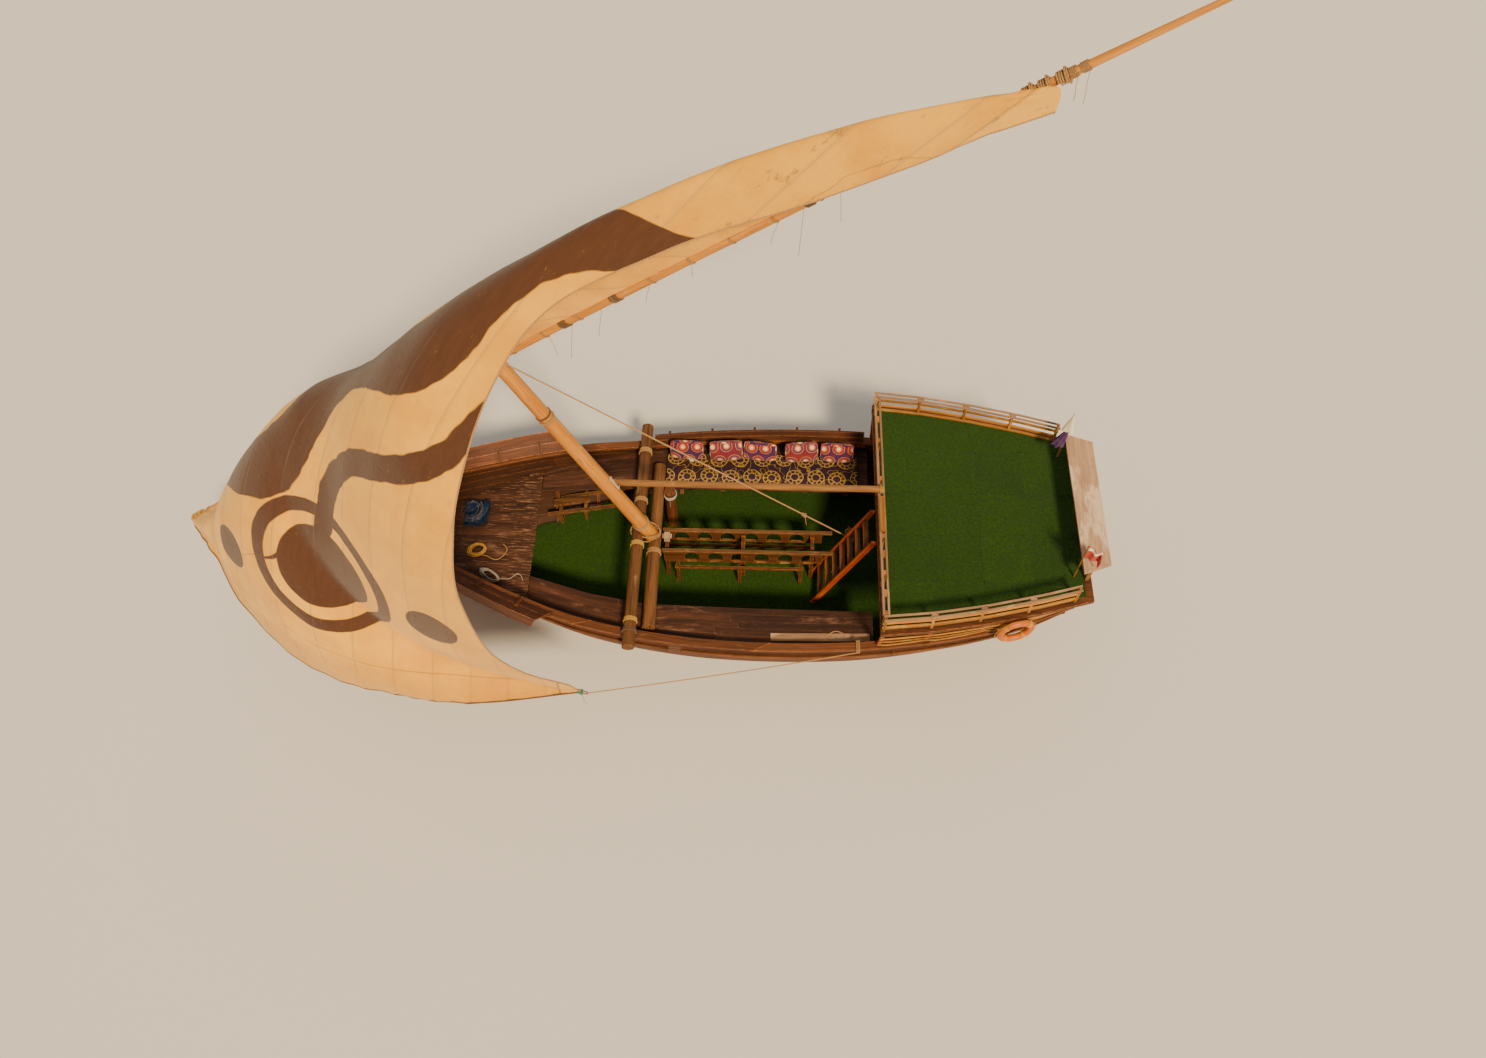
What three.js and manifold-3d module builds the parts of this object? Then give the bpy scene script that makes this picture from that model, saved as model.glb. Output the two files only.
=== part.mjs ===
// A wooden lateen-rigged dhow, afloat. Millimetres; +X to the bow, +Y to port, +Z up.
// The origin is on the waterline, on the centreline, amidships.
import * as THREE from 'three';
import { mergeVertices } from 'three/addons/utils/BufferGeometryUtils.js';
import Module from 'manifold-3d';

const wasm = await Module();
wasm.setup();

const boat = new THREE.Group();

// Clearances
const gap = 0.3;            // between pieces that touch
const ribClearance = 4;     // from a rib to the planks' flat facets
const floorClearance = 12;  // from the floor to the ribs' inner faces
const farOut = 3000;        // past the hull's side, for blanks that are cut to fit it

// Hull, stern to bow
const stations = [
  // x at sheer, x at keel, half beam, sheer height, keel height, fullness
  [-6250, -5450, 1400, 1330, -420, 1.5],
  [-5500, -4950, 1680, 1250, -520, 1.75],
  [-4500, -4150, 1930, 1180, -600, 2.0],
  [-3500, -3300, 2090, 1120, -650, 2.2],
  [-2400, -2300, 2195, 1080, -680, 2.35],
  [-1100, -1050, 2220, 1045, -700, 2.4],
  [200, 200, 2160, 1035, -700, 2.4],
  [1400, 1300, 2010, 1060, -700, 2.3],
  [2400, 2150, 1830, 1170, -690, 2.1],
  [3300, 2900, 1550, 1320, -670, 1.9],
  [4200, 3600, 1200, 1470, -640, 1.7],
  [5000, 4200, 860, 1610, -590, 1.5],
  [5700, 4600, 530, 1750, -530, 1.38],
  [6200, 4830, 265, 1860, -460, 1.28],
  [6500, 4950, 130, 1930, -400, 1.2],
];
const sectionSteps = 8;
const plankThickness = 45;
const keelHalf = 70;
const keelBottom = -950;
const keelTopAbove = 50;      // keel top above the planks' lower edge
const keelsonDepth = 120;
const transomThickness = 60;
const postDepth = 150;        // sternpost, fore and aft
const stemInner = 150;
const stemOuter = 150;
const stemBow = 70;
const capThickness = 55;
const capOverhang = 40;
const capInboard = 120;
const waleDrop = 210;         // below the sheer
const waleThickness = 50;
const waleHeight = 80;

// Decks
const sideDeckTop = 900;
const foredeckTop = 950;
const foredeckAft = 3250;
const foredeckFore = 5480;
const poopFront = -2850;
const boardThickness = 35;
const floorTop = -60;
const floorThickness = 40;
const turfThickness = 20;
const ribWidth = 70;
const ribDepth = 80;
const ribPositions = [-4880, -4100, -3300, -2500, -1700, -900, -100, 700, 1500, 2300, 3050, 3800, 4500];

// Poop, a raised after deck carried on stanchions
const poopTable = [
  // x, half width
  [-2850, 2330],
  [-3700, 2240],
  [-4600, 2080],
  [-5500, 1870],
  [-6420, 1610],
];
const poopBeamBottom = 1870;
const poopBeamDepth = 80;
const poopDeckThickness = 30;
const railHeight = 430;
const poopTop = poopBeamBottom + poopBeamDepth + poopDeckThickness + turfThickness + 2 * gap;

// Spars. The mast leans forward and its heel stands on the mast beam.
const mastHeel = new THREE.Vector3(1080, 0, 985);
const mastHead = new THREE.Vector3(3250, 0, 6472);
const mastRadius = [135, 112];
const mastAxis = mastHead.clone().sub(mastHeel).normalize();
const yardSide = 275;
const yardTack = new THREE.Vector3(9100, yardSide, 1750);
const yardTip = new THREE.Vector3(-5480, yardSide, 12240);
const yardBow = 190;          // the yard's middle stands this far above its ends' line
const yardRadii = [
  // share of the length, radius
  [0, 50],
  [0.1, 66],
  [0.22, 82],
  [0.4, 95],
  [0.55, 92],
  [0.7, 80],
  [0.85, 60],
  [0.95, 42],
  [1, 32],
];
const sailThickness = 15;
const laceDepth = 5;          // the luff is pressed this far into the yard's round
const sailFoot = 0.004;       // share of the yard where the tack is laced
const sailHead = 0.8835;      // share of the yard where the peak is laced

// Rudder, hung on the raked sternpost
const sternRake = Math.atan2(stations[0][1] - stations[0][0], stations[0][3] - stations[0][4]);
const hingeBehindPost = 45;
const rudderThickness = 70;
const rudderNose = 34;
const pinRadius = 14;

const colours = {
  plank: 0x5a3423,
  timber: 0x6b3d26,
  paleWood: 0xb98a5c,
  spar: 0xc98f4a,
  turf: 0x1f4a12,
  red: 0xa8381d,
  sail: 0xe8c68c,
  rope: 0xc8a468,
  iron: 0x4a4038,
  weathered: 0xcbb2a4,
  orange: 0xd9772b,
  purple: 0x4b2c5e,
  gold: 0x9a6a2c,
  blue: 0x23476b,
};

function finish(name, colour, roughness = 0.85, metalness = 0) {
  const material = new THREE.MeshStandardMaterial({ color: colours[colour], roughness, metalness });
  material.name = name;
  return material;
}

function put(name, geometry, colour, parent = boat) {
  const mesh = new THREE.Mesh(geometry, finish(name, colour));
  mesh.name = name;
  parent.add(mesh);
  return mesh;
}

function vec(x, y, z) {
  return new THREE.Vector3(x, y, z);
}

function mix(a, b, t) {
  return a + (b - a) * t;
}

function deckSteps(from, to, count) {
  return Array.from({ length: count + 1 }, (_, i) => mix(from, to, i / count));
}

// Reads a two-column table by straight interpolation; the first column rises or falls steadily
function readTable(table, x) {
  for (let i = 0; i < table.length - 1; i++) {
    const [x0, y0] = table[i];
    const [x1, y1] = table[i + 1];
    const t = (x - x0) / (x1 - x0);
    if (t >= 0 && t <= 1) return mix(y0, y1, t);
  }
  const first = Math.abs(x - table[0][0]) < Math.abs(x - table.at(-1)[0]);
  return first ? table[0][1] : table.at(-1)[1];
}

function closedBody(points, triangles) {
  let volume = 0;
  for (const [a, b, c] of triangles) {
    volume += points[a].dot(points[b].clone().cross(points[c]));
  }
  const index = triangles.flatMap(([a, b, c]) => (volume < 0 ? [a, c, b] : [a, b, c]));
  const geometry = new THREE.BufferGeometry();
  const coordinates = points.flatMap((p) => [p.x, p.y, p.z]);
  geometry.setAttribute('position', new THREE.Float32BufferAttribute(coordinates, 3));
  geometry.setIndex(index);
  return geometry;
}

// A closed sheet between two grids of points that match row by row
function slab(upper, lower) {
  const rows = upper.length;
  const columns = upper[0].length;
  const count = rows * columns;
  const points = [...upper.flat(), ...lower.flat()];
  const triangles = [];
  const quad = (a, b, c, d) => triangles.push([a, b, c], [a, c, d]);
  const at = (i, j) => i * columns + j;
  for (let i = 0; i < rows - 1; i++) {
    for (let j = 0; j < columns - 1; j++) {
      quad(at(i, j), at(i, j + 1), at(i + 1, j + 1), at(i + 1, j));
      quad(count + at(i, j), count + at(i + 1, j), count + at(i + 1, j + 1), count + at(i, j + 1));
    }
    quad(at(i, 0), at(i + 1, 0), count + at(i + 1, 0), count + at(i, 0));
    const near = at(i, columns - 1);
    const next = at(i + 1, columns - 1);
    quad(next, near, count + near, count + next);
  }
  for (let j = 0; j < columns - 1; j++) {
    quad(at(0, j + 1), at(0, j), count + at(0, j), count + at(0, j + 1));
    quad(at(rows - 1, j), at(rows - 1, j + 1), count + at(rows - 1, j + 1), count + at(rows - 1, j));
  }
  return closedBody(points, triangles);
}

// A round bar through points with a radius at each; flat ends
function roundBar(path, radii, sides = 10) {
  const along = path.at(-1).clone().sub(path[0]).normalize();
  const level = Math.abs(along.z) < 0.95 ? vec(0, 0, 1) : vec(1, 0, 0);
  const side = along.clone().cross(level).normalize();
  const over = side.clone().cross(along).normalize();
  const points = [];
  path.forEach((centre, i) => {
    for (let k = 0; k < sides; k++) {
      const angle = (2 * Math.PI * (k + 0.5)) / sides;
      const out = side.clone().multiplyScalar(Math.cos(angle)).addScaledVector(over, Math.sin(angle));
      points.push(centre.clone().addScaledVector(out, radii[i]));
    }
  });
  const triangles = [];
  for (let i = 0; i < path.length - 1; i++) {
    for (let k = 0; k < sides; k++) {
      const a = i * sides + k;
      const b = i * sides + ((k + 1) % sides);
      triangles.push([a, b, b + sides], [a, b + sides, a + sides]);
    }
  }
  const first = points.push(path[0].clone()) - 1;
  const last = points.push(path.at(-1).clone()) - 1;
  const end = (path.length - 1) * sides;
  for (let k = 0; k < sides; k++) {
    triangles.push([first, (k + 1) % sides, k], [last, end + k, end + ((k + 1) % sides)]);
  }
  return closedBody(points, triangles);
}

// A squared bar between two points; width lies level, depth stands up
function squareBar(from, to, width, depth) {
  const along = to.clone().sub(from).normalize();
  const level = Math.abs(along.z) < 0.95 ? vec(0, 0, 1) : vec(1, 0, 0);
  const side = along.clone().cross(level).normalize().multiplyScalar(width / 2);
  const over = side.clone().cross(along).normalize().multiplyScalar(depth / 2);
  const row = (p, s) => [
    p.clone().add(side).addScaledVector(over, s),
    p.clone().sub(side).addScaledVector(over, s),
  ];
  return slab([row(from, 1), row(to, 1)], [row(from, -1), row(to, -1)]);
}

function box(x0, x1, y0, y1, z0, z1) {
  const geometry = new THREE.BoxGeometry(Math.abs(x1 - x0), Math.abs(y1 - y0), Math.abs(z1 - z0));
  geometry.translate((x0 + x1) / 2, (y0 + y1) / 2, (z0 + z1) / 2);
  return geometry;
}

// A level strip that follows a path in plan, with its upper face at the path's height
function strip(path, width, depth) {
  const upper = path.map((point, i) => {
    const before = path[Math.max(i - 1, 0)];
    const after = path[Math.min(i + 1, path.length - 1)];
    const across = vec(after.y - before.y, before.x - after.x, 0).normalize().multiplyScalar(width / 2);
    return [point.clone().add(across), point.clone().sub(across)];
  });
  const lower = upper.map((row) => row.map((p) => vec(p.x, p.y, p.z - depth)));
  return slab(upper, lower);
}

function toManifold(geometry) {
  const bare = geometry.clone();
  bare.deleteAttribute('normal');
  bare.deleteAttribute('uv');
  const merged = mergeVertices(bare, 1e-4);
  return new wasm.Manifold(new wasm.Mesh({
    numProp: 3,
    vertProperties: new Float32Array(merged.attributes.position.array),
    triVerts: new Uint32Array(merged.index.array),
  }));
}

function toGeometry(manifold) {
  const mesh = manifold.getMesh();
  const geometry = new THREE.BufferGeometry();
  geometry.setAttribute('position', new THREE.Float32BufferAttribute(Array.from(mesh.vertProperties), 3));
  geometry.setIndex(Array.from(mesh.triVerts));
  return geometry;
}

function joined(parts) {
  return toGeometry(parts.map(toManifold).reduce((sum, part) => sum.add(part)));
}

function cut(geometry, tools) {
  return toGeometry(tools.map(toManifold).reduce((rest, tool) => rest.subtract(tool), toManifold(geometry)));
}

function shared(geometry, room) {
  return toGeometry(toManifold(geometry).intersect(toManifold(room)));
}

function mirrored(geometry) {
  const copy = geometry.clone();
  copy.scale(1, -1, 1);
  const index = copy.index.array;
  for (let i = 0; i < index.length; i += 3) [index[i], index[i + 1]] = [index[i + 1], index[i]];
  return copy;
}

function bothSides(name, geometry, colour) {
  put(`${name}_port`, geometry, colour);
  put(`${name}_starboard`, mirrored(geometry), colour);
}

// Hull surfaces: each station is a rounded section whose points lean with the stem and the transom
function sectionPoint([xSheer, xKeel, half, sheer, keel, fullness], step) {
  const angle = (step / sectionSteps) * (Math.PI / 2);
  const height = 1 - Math.cos(angle) ** (2 / fullness);
  const out = Math.sin(angle) ** (2 / fullness);
  return vec(mix(xKeel, xSheer, height), mix(keelHalf + gap, half, out), mix(keel, sheer, height));
}

const outerRows = stations.map((station) => {
  const row = [];
  for (let step = 0; step <= sectionSteps; step++) row.push(sectionPoint(station, step));
  return row;
});

function insetRow(row, depth) {
  return row.map((point, j) => {
    const before = row[Math.max(j - 1, 0)];
    const after = row[Math.min(j + 1, row.length - 1)];
    const tangent = new THREE.Vector2(after.y - before.y, after.z - before.z).normalize();
    const y = Math.max(point.y - tangent.y * depth, keelHalf + gap);
    const z = j === row.length - 1 ? point.z : point.z + tangent.x * depth;
    return vec(point.x, y, z);
  });
}

const innerRows = outerRows.map((row) => insetRow(row, plankThickness));

const sheerLine = outerRows.map((row) => row.at(-1));

function sheerAt(x) {
  return {
    half: readTable(sheerLine.map((p) => [p.x, p.y]), x),
    z: readTable(sheerLine.map((p) => [p.x, p.z]), x),
  };
}

bothSides('planking', slab(outerRows, innerRows), 'plank');

// Transom: closes the planks' after ends
const transomFace = outerRows[0];

function transomGrid(offset) {
  return transomFace.map((p) => [p.y, 0, -p.y].map((y) => vec(p.x - offset, y, p.z)));
}
put('transom', slab(transomGrid(gap), transomGrid(transomThickness)), 'plank');

// Keel: a straight timber whose top follows the garboards
const keelAftSlope = (stations[0][1] - stations[0][0]) / (stations[0][3] - stations[0][4]);
const keelAftX = (z) => stations[0][1] - (z - stations[0][4]) * keelAftSlope;
const keelForeX = 4650;
const keelTopPoints = stations
  .filter((s) => s[1] < keelForeX && s[1] > stations[0][1])
  .map((s) => [s[1], s[4] + keelTopAbove]);

function sidePlate(outline, halfThickness) {
  const shape = new THREE.Shape(outline.map(([x, z]) => new THREE.Vector2(x, z)));
  const geometry = new THREE.ExtrudeGeometry(shape, { depth: 2 * halfThickness, bevelEnabled: false });
  geometry.rotateX(Math.PI / 2);
  geometry.translate(0, halfThickness, 0);
  return geometry;
}

const keelAftTop = stations[0][4] + keelTopAbove;
put('keel', sidePlate([
  [keelAftX(keelBottom) - transomThickness, keelBottom],
  [keelForeX, keelBottom],
  [keelForeX, stations[11][4] + keelTopAbove],
  ...keelTopPoints.toReversed(),
  [keelAftX(keelAftTop) + 2 * gap, keelAftTop],
  [keelAftX(stations[0][4] - gap) + 2 * gap, stations[0][4] - gap],
  [keelAftX(stations[0][4] - gap) - transomThickness, stations[0][4] - gap],
], keelHalf), 'timber');

// Stem: follows the raked bow from the keel to above the sheer
const stemLow = outerRows.at(-1)[0];
const stemHigh = outerRows.at(-1).at(-1);
const stemDirection = new THREE.Vector2(stemHigh.x - stemLow.x, stemHigh.z - stemLow.z).normalize();
const stemSide = new THREE.Vector2(stemDirection.y, -stemDirection.x);
const stemPoints = [];
const stemHeadRise = 330;
const stemSteps = 6;
for (let i = 0; i <= stemSteps; i++) {
  const share = i / stemSteps;
  const length = mix(0, stemHigh.distanceTo(stemLow) + stemHeadRise, share);
  const out = stemOuter + stemBow * Math.sin(Math.PI * share);
  stemPoints.push([
    stemLow.x + stemDirection.x * length + stemSide.x * out,
    stemLow.z + stemDirection.y * length + stemSide.y * out,
  ]);
}
const stemTop = stemPoints.at(-1);
const stemInnerTop = [
  stemTop[0] - stemSide.x * (stemOuter + stemInner),
  stemTop[1] - stemSide.y * (stemOuter + stemInner) - 60,
];
put('stem', sidePlate([
  [keelForeX + gap, keelBottom],
  [4950, keelBottom + 90],
  ...stemPoints,
  stemInnerTop,
  [keelForeX + 260, stations[12][4] + keelTopAbove + 160],
  [keelForeX + gap, stations[11][4] + keelTopAbove + 60],
], keelHalf), 'timber');

// Sternpost: abaft the transom and the keel
const postTop = 1420;
const postFront = (z) => keelAftX(z) - transomThickness - gap;
put('sternpost', sidePlate([
  [postFront(keelBottom), keelBottom],
  [postFront(postTop), postTop],
  [postFront(postTop) - postDepth, postTop],
  [postFront(keelBottom) - postDepth, keelBottom],
], keelHalf), 'timber');

// The space inside the planks, drawn in by a depth from their outer face
function hullRoom(depth) {
  const port = outerRows.map((row) => insetRow(row, depth));
  const starboard = port.map((row) => row.map((p) => vec(p.x, -p.y, p.z)));
  return slab(port, starboard);
}
const roomAtPlanks = hullRoom(plankThickness + 1);
const roomAtRibs = hullRoom(plankThickness + ribClearance);
const roomInsideRibs = hullRoom(plankThickness + ribClearance + ribDepth);

// Frames: keelson, ribs and floor beams, fastened into one skeleton
function ribTop(x) {
  if (x > foredeckAft) return foredeckTop - boardThickness - gap;
  if (x > poopFront + 100) return sideDeckTop - boardThickness - gap;
  return sheerAt(x).z - 60;
}

function ribBlank(x) {
  return box(x - ribWidth / 2, x + ribWidth / 2, -3000, 3000, keelBottom, ribTop(x));
}

const floorBeamTop = floorTop - floorThickness - gap;
const floorBeamDepth = 80;

function floorBeam(x) {
  return box(x - ribWidth / 2, x + ribWidth / 2, -3000, 3000, floorBeamTop - floorBeamDepth, floorBeamTop);
}

const keelsonLine = stations
  .filter((s) => s[1] > -5000 && s[1] < 4700)
  .map((s) => [s[1], s[4] + keelTopAbove + gap]);
const keelson = sidePlate([
  ...keelsonLine,
  ...keelsonLine.toReversed().map(([x, z]) => [x, z + keelsonDepth]),
], keelHalf - 5);
const keelRoom = sidePlate([
  ...keelsonLine,
  ...keelsonLine.toReversed().map(([x]) => [x, keelBottom]),
], keelHalf + 10);
const ribs = cut(shared(joined(ribPositions.map(ribBlank)), roomAtRibs), [roomInsideRibs, keelRoom]);
const floorBeams = shared(joined(ribPositions.filter((x) => x < 4000).map(floorBeam)), roomAtRibs);
put('frames', joined([keelson, ribs, floorBeams]), 'timber');

// Cap rails on the sheer, and wales along the planks
function capRail() {
  const upper = sheerLine.map((p) => [
    vec(p.x, Math.max(p.y - capInboard, keelHalf + 5), p.z + capThickness),
    vec(p.x, p.y + capOverhang, p.z + capThickness),
  ]);
  const lower = upper.map((row) => row.map((p) => vec(p.x, p.y, p.z - capThickness + gap)));
  return slab(upper, lower);
}
put('gunwale_port', capRail(), 'timber');

// Low board on the starboard cap rail, behind the seat
const backBoard = { fore: 1170, aft: -2760, height: 200, lean: 70, thickness: 40, inset: 95, sunk: 10 };

function seatBackBoard() {
  const inside = deckSteps(backBoard.fore, backBoard.aft, 6).map((x) => {
    const { half, z } = sheerAt(x);
    const foot = vec(x, half - backBoard.inset, z + capThickness - backBoard.sunk);
    return [foot, vec(x, foot.y + backBoard.lean, z + capThickness + backBoard.height)];
  });
  return slab(inside, inside.map((row) => row.map((p) => vec(p.x, p.y + backBoard.thickness, p.z))));
}
put('gunwale_starboard', joined([mirrored(capRail()), mirrored(seatBackBoard())]), 'timber');

// The wale is a band of even height that follows the sheer on the planks' outer face
const waleGrid = (drop) => sheerLine.slice(0, -1).map((p) => [
  vec(p.x, keelHalf + 40, p.z - drop),
  vec(p.x, farOut, p.z - drop),
]);
const waleBand = slab(waleGrid(waleDrop), waleGrid(waleDrop + waleHeight));

function acrossTransom(offset) {
  const ends = [transomFace[0], transomFace.at(-1)];
  return ends.map((p) => [vec(p.x + offset, -farOut, p.z), vec(p.x + offset, farOut, p.z)]);
}
const abaftTransom = slab(acrossTransom(5), acrossTransom(-400));
bothSides('wale', cut(shared(waleBand, hullRoom(-waleThickness)), [hullRoom(-1), abaftTransom]), 'timber');

// Bow bulwarks: wash boards that lean far out above the cap rail, each with a board hung from its
// outer edge. The after end is cut on a slant.
const bulwark = { aft: 2690, fore: 6450, height: 260, leanPort: 320, leanStarboard: 240, steps: 9 };
const footRise = gap + 0.3;
const bulwarkSection = [
  // beyond the sheer, share of the lean, above the cap rail, aft end further forward
  { face: [-60, 0, footRise, 0], back: [-5, 0, footRise, 0] },
  { face: [0, 1, bulwark.height, 240], back: [-22, 1, bulwark.height - 55, 240] },
  { face: [34, 1, -45, 350], back: [-8, 1, -45, 350] },
];

function bulwarkBoards(lean) {
  const row = (share, side) => bulwarkSection.map((corner) => {
    const [out, leaning, rise, cutBack] = corner[side];
    const x = mix(bulwark.aft + cutBack, bulwark.fore, share);
    const { half, z } = sheerAt(x);
    const y = half + out + lean * leaning * (1 - share ** 2 * 0.75);
    return vec(x, y, z + capThickness + rise);
  });
  const shares = Array.from({ length: bulwark.steps + 1 }, (_, i) => i / bulwark.steps);
  return slab(shares.map((share) => row(share, 'face')), shares.map((share) => row(share, 'back')));
}
put('bulwark_port', bulwarkBoards(bulwark.leanPort), 'plank');
put('bulwark_starboard', mirrored(bulwarkBoards(bulwark.leanStarboard)), 'plank');

// Decks
function flatDeck(xs, inner, outer, top, thickness) {
  const upper = xs.map((x) => [vec(x, inner(x), top), vec(x, outer(x), top)]);
  const lower = upper.map((row) => row.map((p) => vec(p.x, p.y, top - thickness)));
  return slab(upper, lower);
}

// A side deck: its inner edge follows a table, its outer edge is fitted to the planks
function sideDeck(innerTable) {
  const between = innerTable.map(([x]) => x).filter((x) => x < sideDeckFore && x > sideDeckAft);
  const xs = [sideDeckFore, ...between, sideDeckAft];
  const blank = flatDeck(xs, (x) => readTable(innerTable, x), () => farOut, sideDeckTop, boardThickness);
  return shared(blank, roomAtPlanks);
}

put('foredeck', shared(
  box(foredeckAft, foredeckFore, -farOut, farOut, foredeckTop - boardThickness, foredeckTop),
  roomAtPlanks,
), 'plank');

const sideDeckInner = [
  // x, distance from the centreline
  [3245, 800],
  [2150, 1130],
  [1100, 1310],
  [-700, 1350],
  [-2900, 1370],
];
const benchInner = [
  // x, distance from the centreline
  [3245, 1000],
  [1200, 1120],
  [-2900, 1120],
];
const sideDeckFore = foredeckAft - 5;
const sideDeckAft = poopFront + 10;

put('side_deck_port', sideDeck(sideDeckInner), 'plank');
put('side_deck_starboard', mirrored(sideDeck(benchInner)), 'plank');

const roomForFloor = hullRoom(plankThickness + ribClearance + ribDepth + floorClearance);
const floorBlank = box(-4900, 4000, -farOut, farOut, floorTop - floorThickness, floorTop);
put('floor_boards', shared(floorBlank, roomForFloor), 'plank');
const turfTop = floorTop + gap + turfThickness;
const turfBlank = box(-4850, 3950, -farOut, farOut, floorTop + gap, turfTop);
put('hold_turf', shared(turfBlank, roomForFloor), 'turf');

// Low slatted bench along the starboard side of the forward hold
const bench = { top: 360, slatDepth: 30, bearerDepth: 60, bearerEnd: 230, postHalf: 30 };
const benchSlats = [
  // fore x, fore y, aft x, aft y, width
  [3180, -830, 1480, -1130, 64],
  [3100, -1085, 2440, -1200, 150],
  [2900, -1225, 1480, -1500, 64],
];
const benchTrestles = [
  // x, y of the inner post, y of the outer post
  [2960, -890, -1020],
  [2500, -975, -1150],
  [1620, -1130, -1370],
];

function benchBody() {
  const bearerTop = bench.top - bench.slatDepth + 5;
  const slats = benchSlats.map(([x0, y0, x1, y1, width]) => strip(
    [vec(x0, y0, bench.top), vec(x1, y1, bench.top)],
    width,
    bench.slatDepth,
  ));
  const trestles = benchTrestles.flatMap(([x, inner, outer]) => [
    box(x - 30, x + 30, inner + 60, outer - bench.bearerEnd, bearerTop - bench.bearerDepth, bearerTop),
    ...[inner, outer].map((y) => box(
      x - bench.postHalf, x + bench.postHalf, y - bench.postHalf, y + bench.postHalf,
      turfTop + gap, bearerTop - 10,
    )),
  ]);
  return joined([...slats, ...trestles]);
}
put('hold_bench', benchBody(), 'timber');

// Mast, and the two beams that hold it
const mastBody = roundBar([mastHeel, mastHead], mastRadius, 16);
const mastRoom = roundBar(
  [mastHeel.clone().addScaledVector(mastAxis, -gap), mastHead],
  [mastRadius[0] + gap, mastRadius[1] + gap],
  16,
);
put('mast', mastBody, 'spar');

const capTopAt = (x) => sheerAt(x).z + capThickness;
const crossX = 1345;
const crossRadius = 110;
const crossSkew = 20;
const beamFlat = Math.cos(Math.PI / 12);
const crossSeatX = crossX + crossSkew + crossRadius * Math.sin(Math.PI / 12);
const crossZ = capTopAt(crossSeatX) + crossRadius * beamFlat + gap;
const crossEnds = [vec(crossX - crossSkew, -2320, crossZ), vec(crossX + crossSkew, 2340, crossZ)];
put('crossbeam', cut(roundBar(crossEnds, [crossRadius, crossRadius], 12), [mastRoom]), 'timber');

const mastBeamRadius = 115;
const mastBeamX = 1060;
const mastBeamZ = sideDeckTop + mastBeamRadius * beamFlat + gap;
const mastBeam = roundBar(
  [vec(mastBeamX, -1560, mastBeamZ), vec(mastBeamX, 1860, mastBeamZ)],
  [mastBeamRadius, mastBeamRadius],
  12,
);
put('mast_beam', cut(mastBeam, [mastRoom]), 'timber');

// Short bitt post standing on the floor, against the mast beam
const bitt = { radius: 105, y: -930, top: 1130 };
const bittX = mastBeamX - mastBeamRadius - bitt.radius - 2;
put('bitt_post', roundBar(
  [vec(bittX, bitt.y, turfTop + gap), vec(bittX, bitt.y, bitt.top)],
  [bitt.radius * 1.05, bitt.radius],
  12,
), 'timber');

// Long pole from the mast to the poop's front rail
const frontRailTop = poopTop + railHeight;
const poleRadius = 58;
const poleAftX = -2960;
const poleHeight = frontRailTop + poleRadius + gap;
const mastSideAt = (z) => mastHeel.clone().addScaledVector(mastAxis, (z - mastHeel.z) / mastAxis.z);
const poleForeX = mastSideAt(poleHeight).x + 180;
put('pole', roundBar(
  [vec(poleForeX, -mastRadius[0] - poleRadius - 2, poleHeight), vec(poleAftX, -170, poleHeight)],
  [poleRadius, poleRadius],
  10,
), 'paleWood');

// Seat pad and pillows along the starboard side deck
const seat = { fore: 930, aft: -2640, inner: 1150, depth: 720, thickness: 90 };
const seatTop = sideDeckTop + gap + seat.thickness;
const seatOuter = seat.inner + seat.depth;
put('seat_pad', box(seat.aft, seat.fore, -seatOuter, -seat.inner, sideDeckTop + gap, seatTop), 'gold');

const pillowCount = 5;
const pillow = { width: 620, thickness: 150, height: 400, lean: 18, seated: 78 };
for (let i = 0; i < pillowCount; i++) {
  const pitch = (seat.fore - seat.aft - 60) / pillowCount;
  const centre = seat.aft + 30 + pitch * (i + 0.5);
  const shape = new THREE.BoxGeometry(pillow.width, pillow.thickness, pillow.height);
  shape.rotateX(THREE.MathUtils.degToRad(pillow.lean));
  shape.computeBoundingBox();
  shape.translate(centre, pillow.seated - seatOuter, seatTop + gap - shape.boundingBox.min.z);
  put(`pillow_${i + 1}`, shape, 'purple');
}

// Centre rack: two boards with rows of arches between rails, on three pairs of legs
const rack = { fore: 900, aft: -1980, railAft: -2160, half: 215, top: 880, boardHeight: 330, thickness: 28 };
const arches = { count: 7, pitch: 424, width: 270, edge: 60 };

function archedBoard(y, shift) {
  const bottom = rack.top - rack.boardHeight;
  const outline = new THREE.Shape([
    new THREE.Vector2(rack.aft, bottom),
    new THREE.Vector2(rack.fore, bottom),
    new THREE.Vector2(rack.fore, rack.top),
    new THREE.Vector2(rack.aft, rack.top),
  ]);
  const radius = arches.width / 2;
  for (let i = 0; i < arches.count; i++) {
    const x = rack.fore - 300 - shift - i * arches.pitch;
    if (x - radius < rack.aft + 40) continue;
    const arch = new THREE.Path();
    arch.moveTo(x - radius, bottom + arches.edge);
    arch.absarc(x, rack.top - arches.edge - radius, radius, Math.PI, 0, true);
    arch.lineTo(x + radius, bottom + arches.edge);
    arch.closePath();
    outline.holes.push(arch);
  }
  const board = { depth: rack.thickness, bevelEnabled: false, curveSegments: 6 };
  const geometry = new THREE.ExtrudeGeometry(outline, board);
  geometry.rotateX(Math.PI / 2);
  geometry.translate(0, y + rack.thickness / 2, 0);
  return joined([geometry, box(rack.railAft, rack.fore + 30, y - 35, y + 35, rack.top - 8, rack.top + 40)]);
}
put('rack_board_port', archedBoard(rack.half, arches.pitch / 2), 'timber');
put('rack_board_starboard', archedBoard(-rack.half, 0), 'timber');

const lowRail = { y: 330, top: 520, posts: [650, -480, -1600] };
const trestleXs = [850, -540, -1800];
const rackInner = rack.half - rack.thickness / 2 - gap;

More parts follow.
